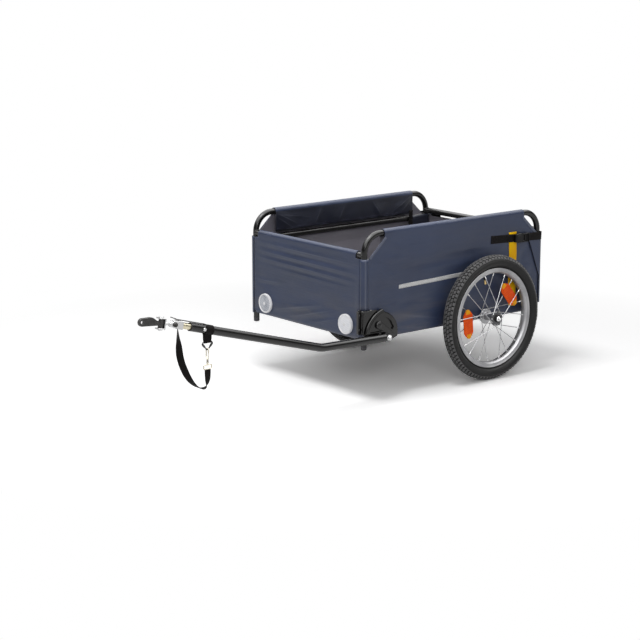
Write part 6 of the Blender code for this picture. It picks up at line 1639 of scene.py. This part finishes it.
# Spoke reflectors
# Each is an orange plate pushed between the spokes, prismed inside, with a narrower amber clip at both ends.
REFLECTOR_LONG = 0.094
REFLECTOR_WIDE = 0.038
REFLECTOR_THICK = 0.0064
REFLECTOR_AT = 0.100
CLIP = 0.0088
orange_plastic = moulded_plastic("orange_reflector_plastic", (0.95, 0.110, 0.001), 0.40)
orange_lens = prism_lens("orange_prism_lens", (1.0, 0.135, 0.001), (0.66, 0.030, 0.001), 0.30)
amber_plastic = moulded_plastic("amber_clip_plastic", (1.0, 0.42, 0.003), 0.35)
for side_name, side in SIDES.items():
    for number, angle in ((1, -5), (2, 140)):
        turn = Matrix.Rotation(radians(-side * angle), 4, "Z") @ Matrix.Translation((REFLECTOR_AT, 0, 0))
        place = wheel_place(side) @ turn
        wide = REFLECTOR_WIDE / 2
        end = REFLECTOR_LONG / 2
        bm = bmesh.new()
        half = [(wide, -end + 0.019), (wide, end - 0.019), (0.0120, end - 0.0080), (0.0095, end - 0.0070)]
        outline = half + [(-x, z) for x, z in reversed(half)]
        outline += [(-x, -z) for x, z in half[2:]] + [(x, -z) for x, z in reversed(half[2:])]
        add_prism(bm, outline, -REFLECTOR_THICK / 2 + 0.0008, REFLECTOR_THICK / 2 - 0.0008, 0.0008)
        place_mesh(bm, place)
        name = f"{side_name}_wheel_reflector_{number}"
        fit(piece(name + "_shell", bm, 30), f"{side_name}_wheel", orange_plastic, "orange_lens", name)
        bm = bmesh.new()
        for way in (1, -1):
            tab = [(CLIP, end - 0.0150)] + arc((0, end - CLIP), CLIP, 0, 180, 16) + [(-CLIP, end - 0.0150)]
            tab = [(x, way * z) for x, z in tab]
            add_prism(bm, tab, -REFLECTOR_THICK / 2, REFLECTOR_THICK / 2, 0.0008)
            for offset in (-0.0040, 0.0040):
                for level in (1, -1):
                    height = level * REFLECTOR_THICK / 2
                    ridge_ends = [(offset, way * (end - inset), height) for inset in (0.0140, 0.005)]
                    add_tube(bm, ridge_ends, 0.0008, 8)
        placed_piece(name + "_clips", bm, place, f"{side_name}_wheel", amber_plastic, "orange_lens")
        bm = bmesh.new()
        for level in (1, -1):
            half = [(wide - 0.0034, -end + 0.0200), (wide - 0.0034, end - 0.0200), (0.0110, end - 0.0158)]
            outline = half + [(-x, z) for x, z in reversed(half)]
            outline += [(-0.0110, -end + 0.0158), (0.0110, -end + 0.0158)]
            low, high = sorted((level * (REFLECTOR_THICK / 2 - 0.0012), level * REFLECTOR_THICK / 2))
            add_prism(bm, outline, low, high, 0.0003)
        placed_piece(name + "_lens", bm, place, f"{side_name}_wheel", orange_lens, "orange_lens")

# Drawbar bracket
# A black pressed-steel housing is clamped round the left front post with bolts. The drawbar turns on a stud
# in it, behind a ribbed sector plate with a spring lever that locks it; a domed chrome nut holds the stud.
PLATE_Y = PANEL_Y + CLOTH / 2 + 0.0004
HOUSING_FACE_Y = PLATE_Y + 0.003
HOUSING_RIM_Y = HOUSING_FACE_Y + 0.005
CLAMP = 0.0155
CLAMP_LOW_Z = 0.2100
CLAMP_TOP_Z = 0.2800
PIVOT_X = 0.4140
PIVOT_Z = 0.1910
SECTOR = 0.0940
SECTOR_BACK = 0.0370
SECTOR_BACK_Y = HOUSING_FACE_Y + 0.0002
SECTOR_FACE_Y = SECTOR_BACK_Y + 0.0112
LEVER_X = 0.4546
LEVER_Z = 0.2350
LEVER_LENGTH = 0.058
LEVER = 0.0120
LEVER_TIP = 0.0045
LEVER_ANGLE = 211
DRAWBAR = 0.0125
DRAWBAR_REAR_X = 0.4275
DRAWBAR_REAR_Z = 0.1945
DRAWBAR_Y = HOUSING_RIM_Y + 0.0007 + DRAWBAR


def sector_edge(inset=0.0):
    """The sector's edge: a round front about the pivot, a spiral back, and a notch for the drawbar."""
    front = SECTOR - inset
    drawbar_top = DRAWBAR_REAR_Z + DRAWBAR + 0.0022 + inset
    low_angle = degrees(asin((drawbar_top - PIVOT_Z) / front))
    points = arc((PIVOT_X, PIVOT_Z), front, low_angle, 76, 40)
    for i in range(1, 31):
        share = i / 30
        angle = radians(76 + 104 * share)
        back = SECTOR_BACK - inset
        radius = back + (front * 0.92 - back) * (1 - share) ** 1.6
        points.append((PIVOT_X + radius * cos(angle), PIVOT_Z + radius * sin(angle)))
    lug = 0.0120 - inset
    points += arc((PIVOT_X, PIVOT_Z), lug, 235, 300, 12)
    rear = DRAWBAR_REAR_X - 0.0002 - inset
    return points + [(rear, PIVOT_Z - lug * 0.4), (rear, drawbar_top)]


def cut_with(made, cutters):
    """Cuts holes with closed cutter meshes; the cutters are removed afterwards."""
    for bm in cutters:
        cutter = piece("cutter", bm, 0)
        bpy.context.view_layer.update()
        hole = made.modifiers.new("Hole", "BOOLEAN")
        hole.operation = "DIFFERENCE"
        hole.object = cutter
        seen = made.evaluated_get(bpy.context.evaluated_depsgraph_get())
        settled = bpy.data.meshes.new_from_object(seen)
        made.modifiers.clear()
        made.data = settled
        bpy.data.objects.remove(cutter)
    made.data.shade_smooth()
    made.data.set_sharp_from_angle(angle=radians(30))


def rod_of(start, end, radius, sides=48):
    bm = bmesh.new()
    add_rod(bm, start, end, radius, sides)
    return bm


def add_rod(bm, start, end, radius, sides=48, chamfer=0.0):
    """A straight round bar with chamfered ends."""
    start, end = Vector(start), Vector(end)
    length = (end - start).length
    rim = [(0, 0), (radius - chamfer, 0), (radius, chamfer)] if chamfer else [(0, 0), (radius, 0)]
    add_turned(bm, rim + [(r, length - h) for r, h in reversed(rim)], start, end - start, sides)


def add_hex(bm, place, axis, half_width, height):
    """A hexagon head or nut with its corners turned down."""
    axis = Vector(axis).normalized()
    across = axis.orthogonal().normalized()
    up = axis.cross(across)
    rings = []
    for level, size in ((0, 1.0), (height * 0.80, 1.0), (height, 0.86)):
        ring = []
        for turn in circle(36):
            flat = half_width / cos((turn + pi / 6) % (pi / 3) - pi / 6)
            reach = min(flat, half_width * 1.14) * size
            corner = reach * (cos(turn) * across + sin(turn) * up)
            ring.append(bm.verts.new(Vector(place) + axis * level + corner))
        rings.append(ring)
    join_rings(bm, rings)


front = FRONT_POST_X + CLAMP
groove = SECTOR + 0.003
plate_low = DRAWBAR_REAR_Z - DRAWBAR
rise = degrees(atan2(CLAMP_TOP_Z - PIVOT_Z, groove * 0.42))
start = degrees(atan2(CLAMP_LOW_Z - PIVOT_Z, groove))
base = [(front, CLAMP_TOP_Z), (PIVOT_X + groove * cos(radians(rise)), CLAMP_TOP_Z)]
base += [(PIVOT_X - 0.022, PIVOT_Z + 0.046), (PIVOT_X - 0.030, PIVOT_Z), (PIVOT_X - 0.018, plate_low)]
base += [(front - 0.030, plate_low), (front, CLAMP_LOW_Z)]
bm = bmesh.new()
add_prism(bm, base, PLATE_Y, HOUSING_FACE_Y, 0.0006, "Y")
rim_end = degrees(atan2(CLAMP_TOP_Z - 0.0005 - PIVOT_Z, groove * 0.42))
edge = arc((PIVOT_X, PIVOT_Z), groove, start, rim_end, 36)[1:]
edge.append((front - 0.0004, CLAMP_TOP_Z - 0.0004))
add_prism(bm, edge, HOUSING_FACE_Y - 0.001, HOUSING_RIM_Y, 0.0009, "Y")
made = piece("housing_press", bm, 30)
cut_with(made, [rod_of((PIVOT_X, PLATE_Y - 0.01, PIVOT_Z), (PIVOT_X, HOUSING_RIM_Y + 0.01, PIVOT_Z), 0.0042)])
fit(made, "trailer", black_paint, "black_paint", "bracket_housing")


def clamp_shell(half):
    """Half of the post clamp: a half-round shell with a bolted flange before and behind."""
    face = POST_Y + half * 0.0001
    outline = [(FRONT_POST_X + 0.025, face), (FRONT_POST_X + 0.025, face + half * 0.004)]
    bend = [(FRONT_POST_X + x, POST_Y + half * y) for x, y in arc((0, 0), CLAMP, 20, 160, 32)]
    outline += bend
    outline += [(FRONT_POST_X - 0.021, face + half * 0.004), (FRONT_POST_X - 0.021, face)]
    outline += [(FRONT_POST_X + x, POST_Y + half * y) for x, y in arc((0, 0), TUBE + 0.0002, 179, 1, 32)]
    bm = bmesh.new()
    add_prism(bm, outline, CLAMP_LOW_Z, CLAMP_TOP_Z, 0.0007)
    return bm


fit(piece("outer_clamp_shell", clamp_shell(1), 30), "trailer", black_paint, "black_paint")
fit(piece("inner_clamp_shell", clamp_shell(-1), 30), "trailer", black_paint, "black_paint", "post_clamp")
bm = bmesh.new()
for z in (CLAMP_LOW_Z + 0.013, CLAMP_TOP_Z - 0.013):
    for x in (FRONT_POST_X + 0.0205, FRONT_POST_X - 0.0180):
        add_hex(bm, (x, POST_Y - 0.0041, z), (0, -1, 0), 0.0024, 0.0020)
    x = FRONT_POST_X + 0.0205
    head = [(0.0042, 0), (0.0042, 0.0016), (0.0034, 0.0027), (0.0015, 0.0033), (0, 0.0034)]
    add_turned(bm, head, (x, POST_Y + 0.0041, z), (0, 1, 0), 24)
fit(piece("clamp_bolts", bm, 30), "trailer", black_paint, "black_paint")

bm = bmesh.new()
levels = [(0.0004, SECTOR_BACK_Y), (0, SECTOR_BACK_Y + 0.0006)]
for inset, drop in ((0, 0.0040), (0.0003, 0.0025), (0.0012, 0.0011), (0.0025, 0.0003), (0.0040, 0)):
    levels.append((inset, SECTOR_FACE_Y - drop))
join_rings(bm, [[bm.verts.new((x, level, z)) for x, z in sector_edge(inset)] for inset, level in levels])
made = piece("sector_press", bm, 30)
low = DRAWBAR_REAR_Z + DRAWBAR + 0.0070
swing = [(0.4390, 0.2400), (0.4350, 0.2520), (0.4230, 0.2550), (0.4060, 0.2440)]
swing += [(0.3930, 0.2220), (0.3990, 0.2140)]
slot = [(0.4400, low), (0.4880, low), (0.4880, low + 0.0060), (0.4520, low + 0.0060)]
band = arc((PIVOT_X, PIVOT_Z), SECTOR - 0.0075, 24, 78, 36)
band += arc((PIVOT_X, PIVOT_Z), SECTOR - 0.0100, 78, 24, 36)
cutters = []
for outline, depth in ((swing, 0.0050), (slot, 0.0050), (band, 0.0012)):
    bm = bmesh.new()
    add_prism(bm, outline, SECTOR_FACE_Y - depth, SECTOR_FACE_Y + 0.002, 0, "Y")
    cutters.append(bm)
cut_with(made, cutters)
fit(made, "drawbar", black_paint, "black_paint", "sector_plate")
bm = bmesh.new()
rivet = [(0, 0.0017), (0.0035, 0.0016), (0.0060, 0.0011), (0.0070, 0.0003), (0.0070, 0)]
rivet += [(0.0045, 0), (0.0045, -0.0076), (0, -0.0076)]
add_turned(bm, rivet, (LEVER_X, SECTOR_FACE_Y + 0.0064, LEVER_Z), (0, 1, 0), 40)
fit(piece("lever_rivet", bm, 30), "drawbar", black_paint, "black_paint")

lean = degrees(asin((LEVER - LEVER_TIP) / LEVER_LENGTH))
tip = (LEVER_X + LEVER_LENGTH * cos(radians(LEVER_ANGLE)), LEVER_Z + LEVER_LENGTH * sin(radians(LEVER_ANGLE)))
outline = arc((LEVER_X, LEVER_Z), LEVER, LEVER_ANGLE + 90 - lean, LEVER_ANGLE + 270 + lean, 32)
outline += arc(tip, LEVER_TIP, LEVER_ANGLE - 90 + lean, LEVER_ANGLE + 90 - lean, 20)
bm = bmesh.new()
add_prism(bm, outline, SECTOR_FACE_Y + 0.0002, SECTOR_FACE_Y + 0.0062, 0.0012, "Y")
made = piece("lock_lever_arm", bm, 30)
hole = rod_of((LEVER_X, SECTOR_FACE_Y - 0.002, LEVER_Z), (LEVER_X, SECTOR_FACE_Y + 0.01, LEVER_Z), 0.0047)
cut_with(made, [hole])
fit(made, "lever", black_paint, "black_paint", "lock_lever")

bm = bmesh.new()
nut = [(0, 0.0115), (0.0024, 0.0112), (0.0046, 0.0102), (0.0062, 0.0086)]
nut += [(0.0070, 0.0068), (0.0072, 0.0055), (0, 0.0055)]
base_y = SECTOR_FACE_Y + 0.0002
add_turned(bm, nut, (PIVOT_X, base_y, PIVOT_Z), (0, 1, 0), 48)
add_hex(bm, (PIVOT_X, base_y + 0.0012, PIVOT_Z), (0, 1, 0), 0.0086, 0.0048)
add_rod(bm, (PIVOT_X, PLATE_Y + 0.0004, PIVOT_Z), (PIVOT_X, base_y + 0.001, PIVOT_Z), 0.0040)
nickel = bright_metal("dull_nickel_plate", (0.60, 0.60, 0.60), 0.26, 0.16, 140)
fit(piece("pivot_nut", bm, 30), "trailer", nickel, "chrome", "pivot_bolt")
bm = bmesh.new()
washer = [(0, 0.0016), (0.0114, 0.0016), (0.0118, 0.0012), (0.0118, 0), (0, 0)]
add_turned(bm, washer, (PIVOT_X, base_y, PIVOT_Z), (0, 1, 0), 48)
fit(piece("pivot_washer", bm, 30), "trailer", black_paint, "black_paint")

# Drawbar
# One 25 mm tube, bent upwards and open at its front end for the hitch's swivel, powder coated like the frame.
DRAWBAR_BEND_X = 0.683
DRAWBAR_BEND_Z = 0.2000
DRAWBAR_BEND_RADIUS = 0.110
DRAWBAR_RISE = 15.5
DRAWBAR_FRONT_LENGTH = 0.488
DRAWBAR_END_X = DRAWBAR_BEND_X + DRAWBAR_FRONT_LENGTH * cos(radians(DRAWBAR_RISE))
DRAWBAR_END_Z = DRAWBAR_BEND_Z + DRAWBAR_FRONT_LENGTH * sin(radians(DRAWBAR_RISE))
HITCH = Matrix.Translation((DRAWBAR_END_X, DRAWBAR_Y, DRAWBAR_END_Z))
HITCH = HITCH @ Matrix.Rotation(-radians(DRAWBAR_RISE), 4, "Y")
SWIVEL = 0.0090
SWIVEL_INSERT = 0.058
SWIVEL_BOLT_AT = 0.0440
SWIVEL_BOLT_HOLE = 0.0032
SWIVEL_BORE = 0.0055
SWIVEL_FLOOR = 0.020

corners = [
    (DRAWBAR_REAR_X + 0.008, DRAWBAR_Y, DRAWBAR_REAR_Z),
    (DRAWBAR_BEND_X, DRAWBAR_Y, DRAWBAR_BEND_Z),
    (DRAWBAR_END_X, DRAWBAR_Y, DRAWBAR_END_Z),
]
path = rounded(corners, DRAWBAR_BEND_RADIUS, 24)
along = (path[-1] - path[-2]).normalized()
path = path[:-1] + [path[-1] - along * 0.0008, path[-1]]
bm = bmesh.new()
add_tube(bm, path, [DRAWBAR] * (len(path) - 1) + [DRAWBAR - 0.0007], 48)
made = piece("drawbar_bent_tube", bm, 40)
end = Vector(corners[-1])
bolt = end - along * SWIVEL_BOLT_AT
across = Vector((0, 0.03, 0))
socket = rod_of(end - along * (SWIVEL_INSERT + 0.002), end + along * 0.01, SWIVEL + 0.0002)
cut_with(made, [socket, rod_of(bolt - across, bolt + across, SWIVEL_BOLT_HOLE, 24)])
fit(made, "drawbar", black_paint, "black_paint", "drawbar_tube")

# Hitch
# The swivel tube rolls in the drawbar about a cross bolt. It carries a forked block; a link pitches in the
# fork and ends in a clevis, where the cast eye for the bicycle's axle turns on an upright bolt. A thin
# steel strip covers it.
FORK_START = 0.028
FORK_END = 0.046
FORK_HALF = 0.012
FORK_TOP = 0.0127
FORK_LOW = 0.0110
FORK_REACH = 0.0568
SHIELD = 0.0022
CHEEK = 0.0100
LINK_RISE = 10.5
CLEVIS = 0.0168
CLEVIS_GAP = 0.0128
YAW_AT = 0.0402
EYE_AT = 0.0635
EYE = 0.0115
LINK = HITCH @ Matrix.Translation((FORK_REACH, 0, 0))
LINK = LINK @ Matrix.Rotation(radians(DRAWBAR_RISE - LINK_RISE), 4, "Y")
yellow_zinc = bright_metal("yellow_zinc_plate", (0.62, 0.57, 0.42), 0.26, 0.18, 120)
black_oxide = bright_metal("black_oxide_steel", (0.060, 0.058, 0.056), 0.34, 0.16, 160)


def bored_piece(name, bm, place, holes, body, material, slot, node_name):
    """A piece with holes, whose meshes are all written in a frame of their own."""
    for mesh in (bm, *holes):
        place_mesh(mesh, place)
    made = piece(name, bm, 30)
    cut_with(made, holes)
    fit(made, body, material, slot, node_name)


bm = bmesh.new()
for way in (1, -1):
    head = [(0.0030, 0), (0.0048, 0), (0.0048, 0.0026), (0.0043, 0.0036), (0.0028, 0.0040), (0, 0.0041)]
    add_turned(bm, head, (-SWIVEL_BOLT_AT, way * (DRAWBAR + 0.0002), 0), (0, way, 0), 32)
add_rod(bm, (-SWIVEL_BOLT_AT, -DRAWBAR - 0.001, 0), (-SWIVEL_BOLT_AT, DRAWBAR + 0.001, 0), 0.0030)
placed_piece("swivel_cross_bolt", bm, HITCH, "drawbar", nickel, "zinc", "swivel_bolt")

bm = bmesh.new()
profile = [(SWIVEL_BORE, -SWIVEL_INSERT), (SWIVEL, -SWIVEL_INSERT), (SWIVEL, FORK_START), (0, FORK_START)]
profile += [(0, SWIVEL_FLOOR), (SWIVEL_BORE, SWIVEL_FLOOR)]
add_turned(bm, profile + profile[:1], axis=(1, 0, 0))
bmesh.ops.remove_doubles(bm, verts=bm.verts, dist=1e-6)
opening = 45 + degrees(asin(SWIVEL_BOLT_HOLE / (SWIVEL_BORE * cos(pi / 16))))
holes = []
for middle in (90, 270):
    wedge = [(0, 0)] + arc((0, 0), SWIVEL + 0.004, middle - opening, middle + opening, 16)
    hole = bmesh.new()
    add_prism(hole, wedge, -SWIVEL_BOLT_AT - SWIVEL_BOLT_HOLE, -SWIVEL_BOLT_AT + SWIVEL_BOLT_HOLE, 0, "X")
    holes.append(hole)
bored_piece("swivel_turned_tube", bm, HITCH, holes, "swivel", yellow_zinc, "zinc", "swivel_tube")

bm = bmesh.new()
block = [(FORK_START, -FORK_LOW), (FORK_END, -FORK_LOW), (FORK_END, FORK_TOP), (FORK_START, FORK_TOP)]
add_prism(bm, block, -FORK_HALF, FORK_HALF, 0.0012, "Y")
for way in (1, -1):
    cheek = [(FORK_END - 0.004, CHEEK), (FORK_END - 0.004, -CHEEK)] + arc((FORK_REACH, 0), CHEEK, -90, 90, 28)
    low, high = sorted((way * (FORK_HALF - 0.004), way * (FORK_HALF - 0.0002)))
    add_prism(bm, cheek, low, high, 0.0006, "Y")
placed_piece("fork_block", bm, HITCH, "swivel", nickel, "chrome", "hitch_fork")

bm = bmesh.new()
low = FORK_TOP + 0.0002
top = [(-0.0485, low + 0.0014), (FORK_END, low + 0.0014), (0.0665, low + 0.0046)]
rows = []
for x, z in between(top[0], top[1], 12) + between(top[1], top[2], 6)[1:]:
    rows.append([(x, 0.0054 * k / 4, z + 0.0004 * (1 - (k / 4) ** 2)) for k in range(-4, 5)])
add_grid(bm, rows)
place_mesh(bm, HITCH)
shield = piece("shield_strip", bm, 30, closed=False)
thicken(shield, SHIELD)
fit(shield, "swivel", black_paint, "black_paint", "hitch_shield")


def cross_bolt(grip, radius, half_width, height):
    """A bolt along Y with a hexagon head, a nut at its other end, and a washer under each."""
    bm = bmesh.new()
    for way in (1, -1):
        washer = [(0, 0.0008), (half_width * 1.10, 0.0008), (half_width * 1.10, 0), (0, 0)]
        add_turned(bm, washer, (0, way * grip, 0), (0, way, 0), 32)
        add_hex(bm, (0, way * (grip + 0.0008), 0), (0, way, 0), half_width, height - 0.0008 - 0.0012)
        add_rod(bm, (0, way * (grip + 0.001), 0), (0, way * (grip + height), 0), radius * 0.92, 24, 0.0005)
    add_rod(bm, (0, -grip, 0), (0, grip, 0), radius, 24)
    return bm


bm = cross_bolt(FORK_HALF + 0.0002, 0.004, 0.0061, 0.0060)
place = HITCH @ Matrix.Translation((FORK_REACH, 0, 0))
placed_piece("pitch_cross_bolt", bm, place, "swivel", black_oxide, "black_cast", "pitch_bolt")

bm = bmesh.new()
half = FORK_HALF - 0.004 - 0.0002
add_rod(bm, (0, -half, 0), (0, half, 0), 0.0085, 40, 0.0006)
add_rod(bm, (0.004, 0, 0), (0.0305, 0, 0), 0.0042, 32)
clevis = [(0.0285, -CLEVIS), (0.0520, -CLEVIS), (0.0520, -CLEVIS_GAP), (0.0325, -CLEVIS_GAP)]
add_prism(bm, mirrored(clevis), -0.0095, 0.0095, 0.0010, "Y")
placed_piece("link_clevis", bm, LINK, "link", nickel, "chrome", "hitch_link")
turn = Matrix.Translation((YAW_AT, 0, 0)) @ Matrix.Rotation(pi / 2, 4, "X")
bm = cross_bolt(CLEVIS + 0.0002, 0.0035, 0.0053, 0.0045)
placed_piece("yaw_cross_bolt", bm, LINK @ turn, "link", chrome, "chrome", "yaw_bolt")

eye_x = YAW_AT + EYE_AT
outline = [(YAW_AT + 0.003, 0.0065), (YAW_AT + 0.003, -0.0065), (YAW_AT + 0.0135, -0.0065)]
outline += arc((eye_x, 0), EYE, -105, 75, 32)
back = [(0.0470, 0.0140), (0.0420, 0.0153), (0.0370, 0.0155)]
back += [(0.0320, 0.0151), (0.0270, 0.0135), (0.0135, 0.0065)]
outline += [(YAW_AT + x, z) for x, z in back]
bm = bmesh.new()
add_prism(bm, outline, -0.0045, 0.0045, 0.0012, "Y")
add_rod(bm, (YAW_AT, 0, -0.0126), (YAW_AT, 0, 0.0126), 0.0074, 40, 0.0006)
hole = rod_of((eye_x, -0.03, 0), (eye_x, 0.03, 0), 0.0051)


def cast_iron():
    """Cast metal under thin black paint: a pebbled skin that catches the light on its high places."""
    tones = (0.016, 0.015, 0.014), (0.040, 0.039, 0.038)
    relief = 0.35, 0.0008
    sockets = {"metallic": 0.3, "specular_ior_level": 0.6}
    return grained("black_painted_casting", tones, (0.34, 0.52), (60, 3), (420, 3), relief, **sockets)


casting = cast_iron()
bored_piece("eye_casting", bm, LINK, [hole], "eye", casting, "black_cast", "axle_eye")

# Safety strap
# A webbing loop round the drawbar holds a triangular wire ring. A snap hook hangs on the ring, and a long
# webbing strap runs from the fork down in a bight and back up to the hook.
LOOP_AT = 0.0645
LOOP_HALF = 0.0135
LOOP_CLOTH = 0.0018
RING_X = DRAWBAR_END_X - LOOP_AT * cos(radians(DRAWBAR_RISE)) + 0.0019
RING_BAR_Z = DRAWBAR_END_Z - LOOP_AT * sin(radians(DRAWBAR_RISE)) - 0.0342
RING_HALF = 0.0215
RING_DROP = 0.0250
RING_WIRE = 0.0019
RING_CORNER = 0.0045
HOOK_WIRE = 0.0019
HOOK_BEND = 0.0055
HOOK_LOOP = 0.0115
RING_POINT_Z = RING_BAR_Z - RING_DROP + RING_CORNER * (hypot(RING_HALF, RING_DROP) / RING_HALF - 1)
HOOK_ARCH_Z = RING_POINT_Z + RING_WIRE + 0.0002 + HOOK_WIRE - HOOK_BEND
HOOK_TIP_Z = HOOK_ARCH_Z - 0.005
HOOK_NECK_Z = RING_BAR_Z - 0.0500
HOOK_LOOP_Z = HOOK_NECK_Z - 0.0160
STRAP_HALF_WIDTH = 0.010
HANGING_CLOTH = 0.0018

bm = bmesh.new()
radius = DRAWBAR + 0.0002 + LOOP_CLOTH / 2
rows = []
for step in range(41):
    turn = radians(-60 + 300 * step / 40)
    y, z = radius * cos(turn), radius * sin(turn)
    rows.append([(-LOOP_AT + LOOP_HALF * k / 5, y, z) for k in range(-5, 6)])
add_grid(bm, rows)
place_mesh(bm, HITCH)
inner = RING_WIRE + 0.0002 + LOOP_CLOTH / 2
top = DRAWBAR_END_Z - LOOP_AT * sin(radians(DRAWBAR_RISE)) - DRAWBAR * 0.4
spread = radius * cos(radians(60))
tab = between((-spread, top), (-inner, top - 0.010), 6)
tab += between((-inner, top - 0.010), (-inner, RING_BAR_Z), 8)[1:]
tab += arc((0, RING_BAR_Z), inner, 180, 360, 14)[1:]
tab += between((inner, RING_BAR_Z), (inner, top - 0.010), 8)[1:]
tab += between((inner, top - 0.010), (spread, top), 6)[1:]
rows = []
for y, z in tab:
    half = LOOP_HALF - 0.001 - 0.0016 * smooth(z, RING_BAR_Z + 0.012, RING_BAR_Z)
    rows.append([(RING_X + half * k / 5, DRAWBAR_Y + y, z) for k in range(-5, 6)])
add_grid(bm, rows)
looks = black_webbing, "black_webbing"
loop = sheet_piece("drawbar_strap_loop", bm, LOOP_CLOTH, "drawbar", *looks, "strap_loop")

bm = bmesh.new()
corners = [(0, 0), (RING_HALF, 0), (0, -RING_DROP), (-RING_HALF, 0), (0, 0)]
path = rounded([(RING_X + x, DRAWBAR_Y, RING_BAR_Z + z) for x, z in corners], RING_CORNER, 10)[:-1]
long_path = [a.lerp(b, i / 6) for a, b in zip(path, path[1:] + path[:1]) for i in range(6)]
low_z = RING_BAR_Z - RING_DROP
thick = []
for p in long_path:
    sleeve = smooth(p.z, low_z + 0.008, low_z + 0.013) * smooth(RING_BAR_Z - p.z, 0.0020, 0.0060)
    thick.append(RING_WIRE + 0.0013 * sleeve)
add_tube(bm, long_path, thick, 20, closed=True)
fit(piece("triangular_ring", bm, 40), "hook", black_paint, "black_paint", "strap_ring")

brassy = bright_metal("brassy_chrome", (0.66, 0.62, 0.52), 0.16, 0.14, 150)
bm = bmesh.new()
crook = [(0, HOOK_NECK_Z - 0.002), (0, HOOK_NECK_Z + 0.001), (-HOOK_BEND, HOOK_NECK_Z + 0.007)]
crook.append((-HOOK_BEND, HOOK_ARCH_Z - 0.001))
crook += arc((0, HOOK_ARCH_Z), HOOK_BEND, 180, 0, 24) + [(HOOK_BEND, HOOK_TIP_Z)]
path = [Vector((RING_X, DRAWBAR_Y + y, z)) for y, z in crook]
add_tube(bm, rounded(path[:4], 0.0035, 8) + path[4:], HOOK_WIRE, 20)
neck = [(0, 0), (0.0024, 0), (0.0030, 0.0010), (0.0030, 0.0050), (0.0035, 0.0058), (0.0035, 0.0076)]
neck += [(0.0030, 0.0084), (0.0030, 0.0150), (0.0024, 0.0165), (0, 0.0166)]
add_turned(bm, neck, (RING_X, DRAWBAR_Y, HOOK_LOOP_Z - 0.0005), (0, 0, 1), 32)
corners = [(0, 0), (0.0135, 0), (0.0135, -HOOK_LOOP), (-0.0135, -HOOK_LOOP), (-0.0135, 0), (0, 0)]
path = rounded([(RING_X + x, DRAWBAR_Y, HOOK_LOOP_Z + z) for x, z in corners], 0.003, 8)[:-1]
add_tube(bm, path, HOOK_WIRE, 20, closed=True)
fit(piece("snap_hook_body", bm, 40), "hook", brassy, "chrome", "snap_hook")
bm = bmesh.new()
start = (RING_X, DRAWBAR_Y + 0.0032, HOOK_NECK_Z + 0.0007)
add_tube(bm, [start, (RING_X, DRAWBAR_Y + HOOK_BEND, HOOK_TIP_Z - 0.0006)], 0.0012, 16)
fit(piece("hook_gate_wire", bm, 40), "gate", brassy, "chrome", "hook_gate")

STRAP_TOP_TURN = 58
STRAP_TOP_AT = FORK_START + 0.009
rise = radians(DRAWBAR_RISE)
STRAP_TOP_X = DRAWBAR_END_X + STRAP_TOP_AT * cos(rise) + FORK_LOW * sin(rise)
STRAP_TOP_Z = DRAWBAR_END_Z + STRAP_TOP_AT * sin(rise) - FORK_LOW * cos(rise) - 0.0018
STRAP_RUN = (
    (0.0982, 0.0290, 74),
    (0.0965, 0.0110, 96),
    (0.0955, -0.0090, 122),
    (0.0930, -0.0290, 139),
    (0.0870, -0.0500, 143),
    (0.0785, -0.0700, 140),
    (0.0680, -0.0900, 128),
    (0.0540, -0.1090, 112),
    (0.0380, -0.1230, 96),
    (0.0220, -0.1305, 84),
    (0.0100, -0.1290, 62),
    (0.0030, -0.1200, 34),
    (0.0005, -0.1070, 12),
    (0.0000, -0.0930, 3),
)
BIGHT = 9


def strap_rows(route, steps=6):
    """Rows across the hanging strap, smoothed between the points of its route."""
    rows = []
    count = len(route)
    for i in range((count - 1) * steps + 1):
        k, share = min(i // steps, count - 2), i / steps - min(i // steps, count - 2)
        p = [Vector(route[min(max(k + j, 0), count - 1)]) for j in (-1, 0, 1, 2)]
        weights = (
            (-share + 2 * share**2 - share**3) / 2,
            (2 - 5 * share**2 + 3 * share**3) / 2,
            (share + 4 * share**2 - 3 * share**3) / 2,
            (-(share**2) + share**3) / 2,
        )
        rows.append(sum((point * weight for point, weight in zip(p, weights)), Vector((0, 0, 0))))
    points = []
    for i, (x, z, turn) in enumerate(rows):
        before, after = rows[max(i - 1, 0)], rows[min(i + 1, len(rows) - 1)]
        along = Vector((after.x - before.x, 0, after.y - before.y)).normalized()
        width = Vector((cos(radians(turn)), sin(radians(turn)), 0))
        width = (width - along * width.dot(along)).normalized() * STRAP_HALF_WIDTH
        points.append([Vector((x, DRAWBAR_Y, z)) + width * (j / 4) for j in range(-4, 5)])
    return points


hook_z = HOOK_LOOP_Z - HOOK_LOOP - HOOK_WIRE - 0.0002
route = [(STRAP_TOP_X, STRAP_TOP_Z, STRAP_TOP_TURN)]
route += [(RING_X + x, RING_BAR_Z + z, turn) for x, z, turn in STRAP_RUN] + [(RING_X, hook_z, 0)]
rows = strap_rows(route)
halves = {}
for name, part_rows in (("strap_fall", rows[: BIGHT * 6 + 1]), ("strap_rise", rows[BIGHT * 6 :])):
    bm = bmesh.new()
    add_grid(bm, part_rows)
    made = piece(name, bm, 0, closed=False)
    made.data.materials.append(black_webbing)
    thicken(made, HANGING_CLOTH)
    halves[name] = made
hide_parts("safety_strap")
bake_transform(halves["strap_fall"])
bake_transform(halves["strap_rise"])
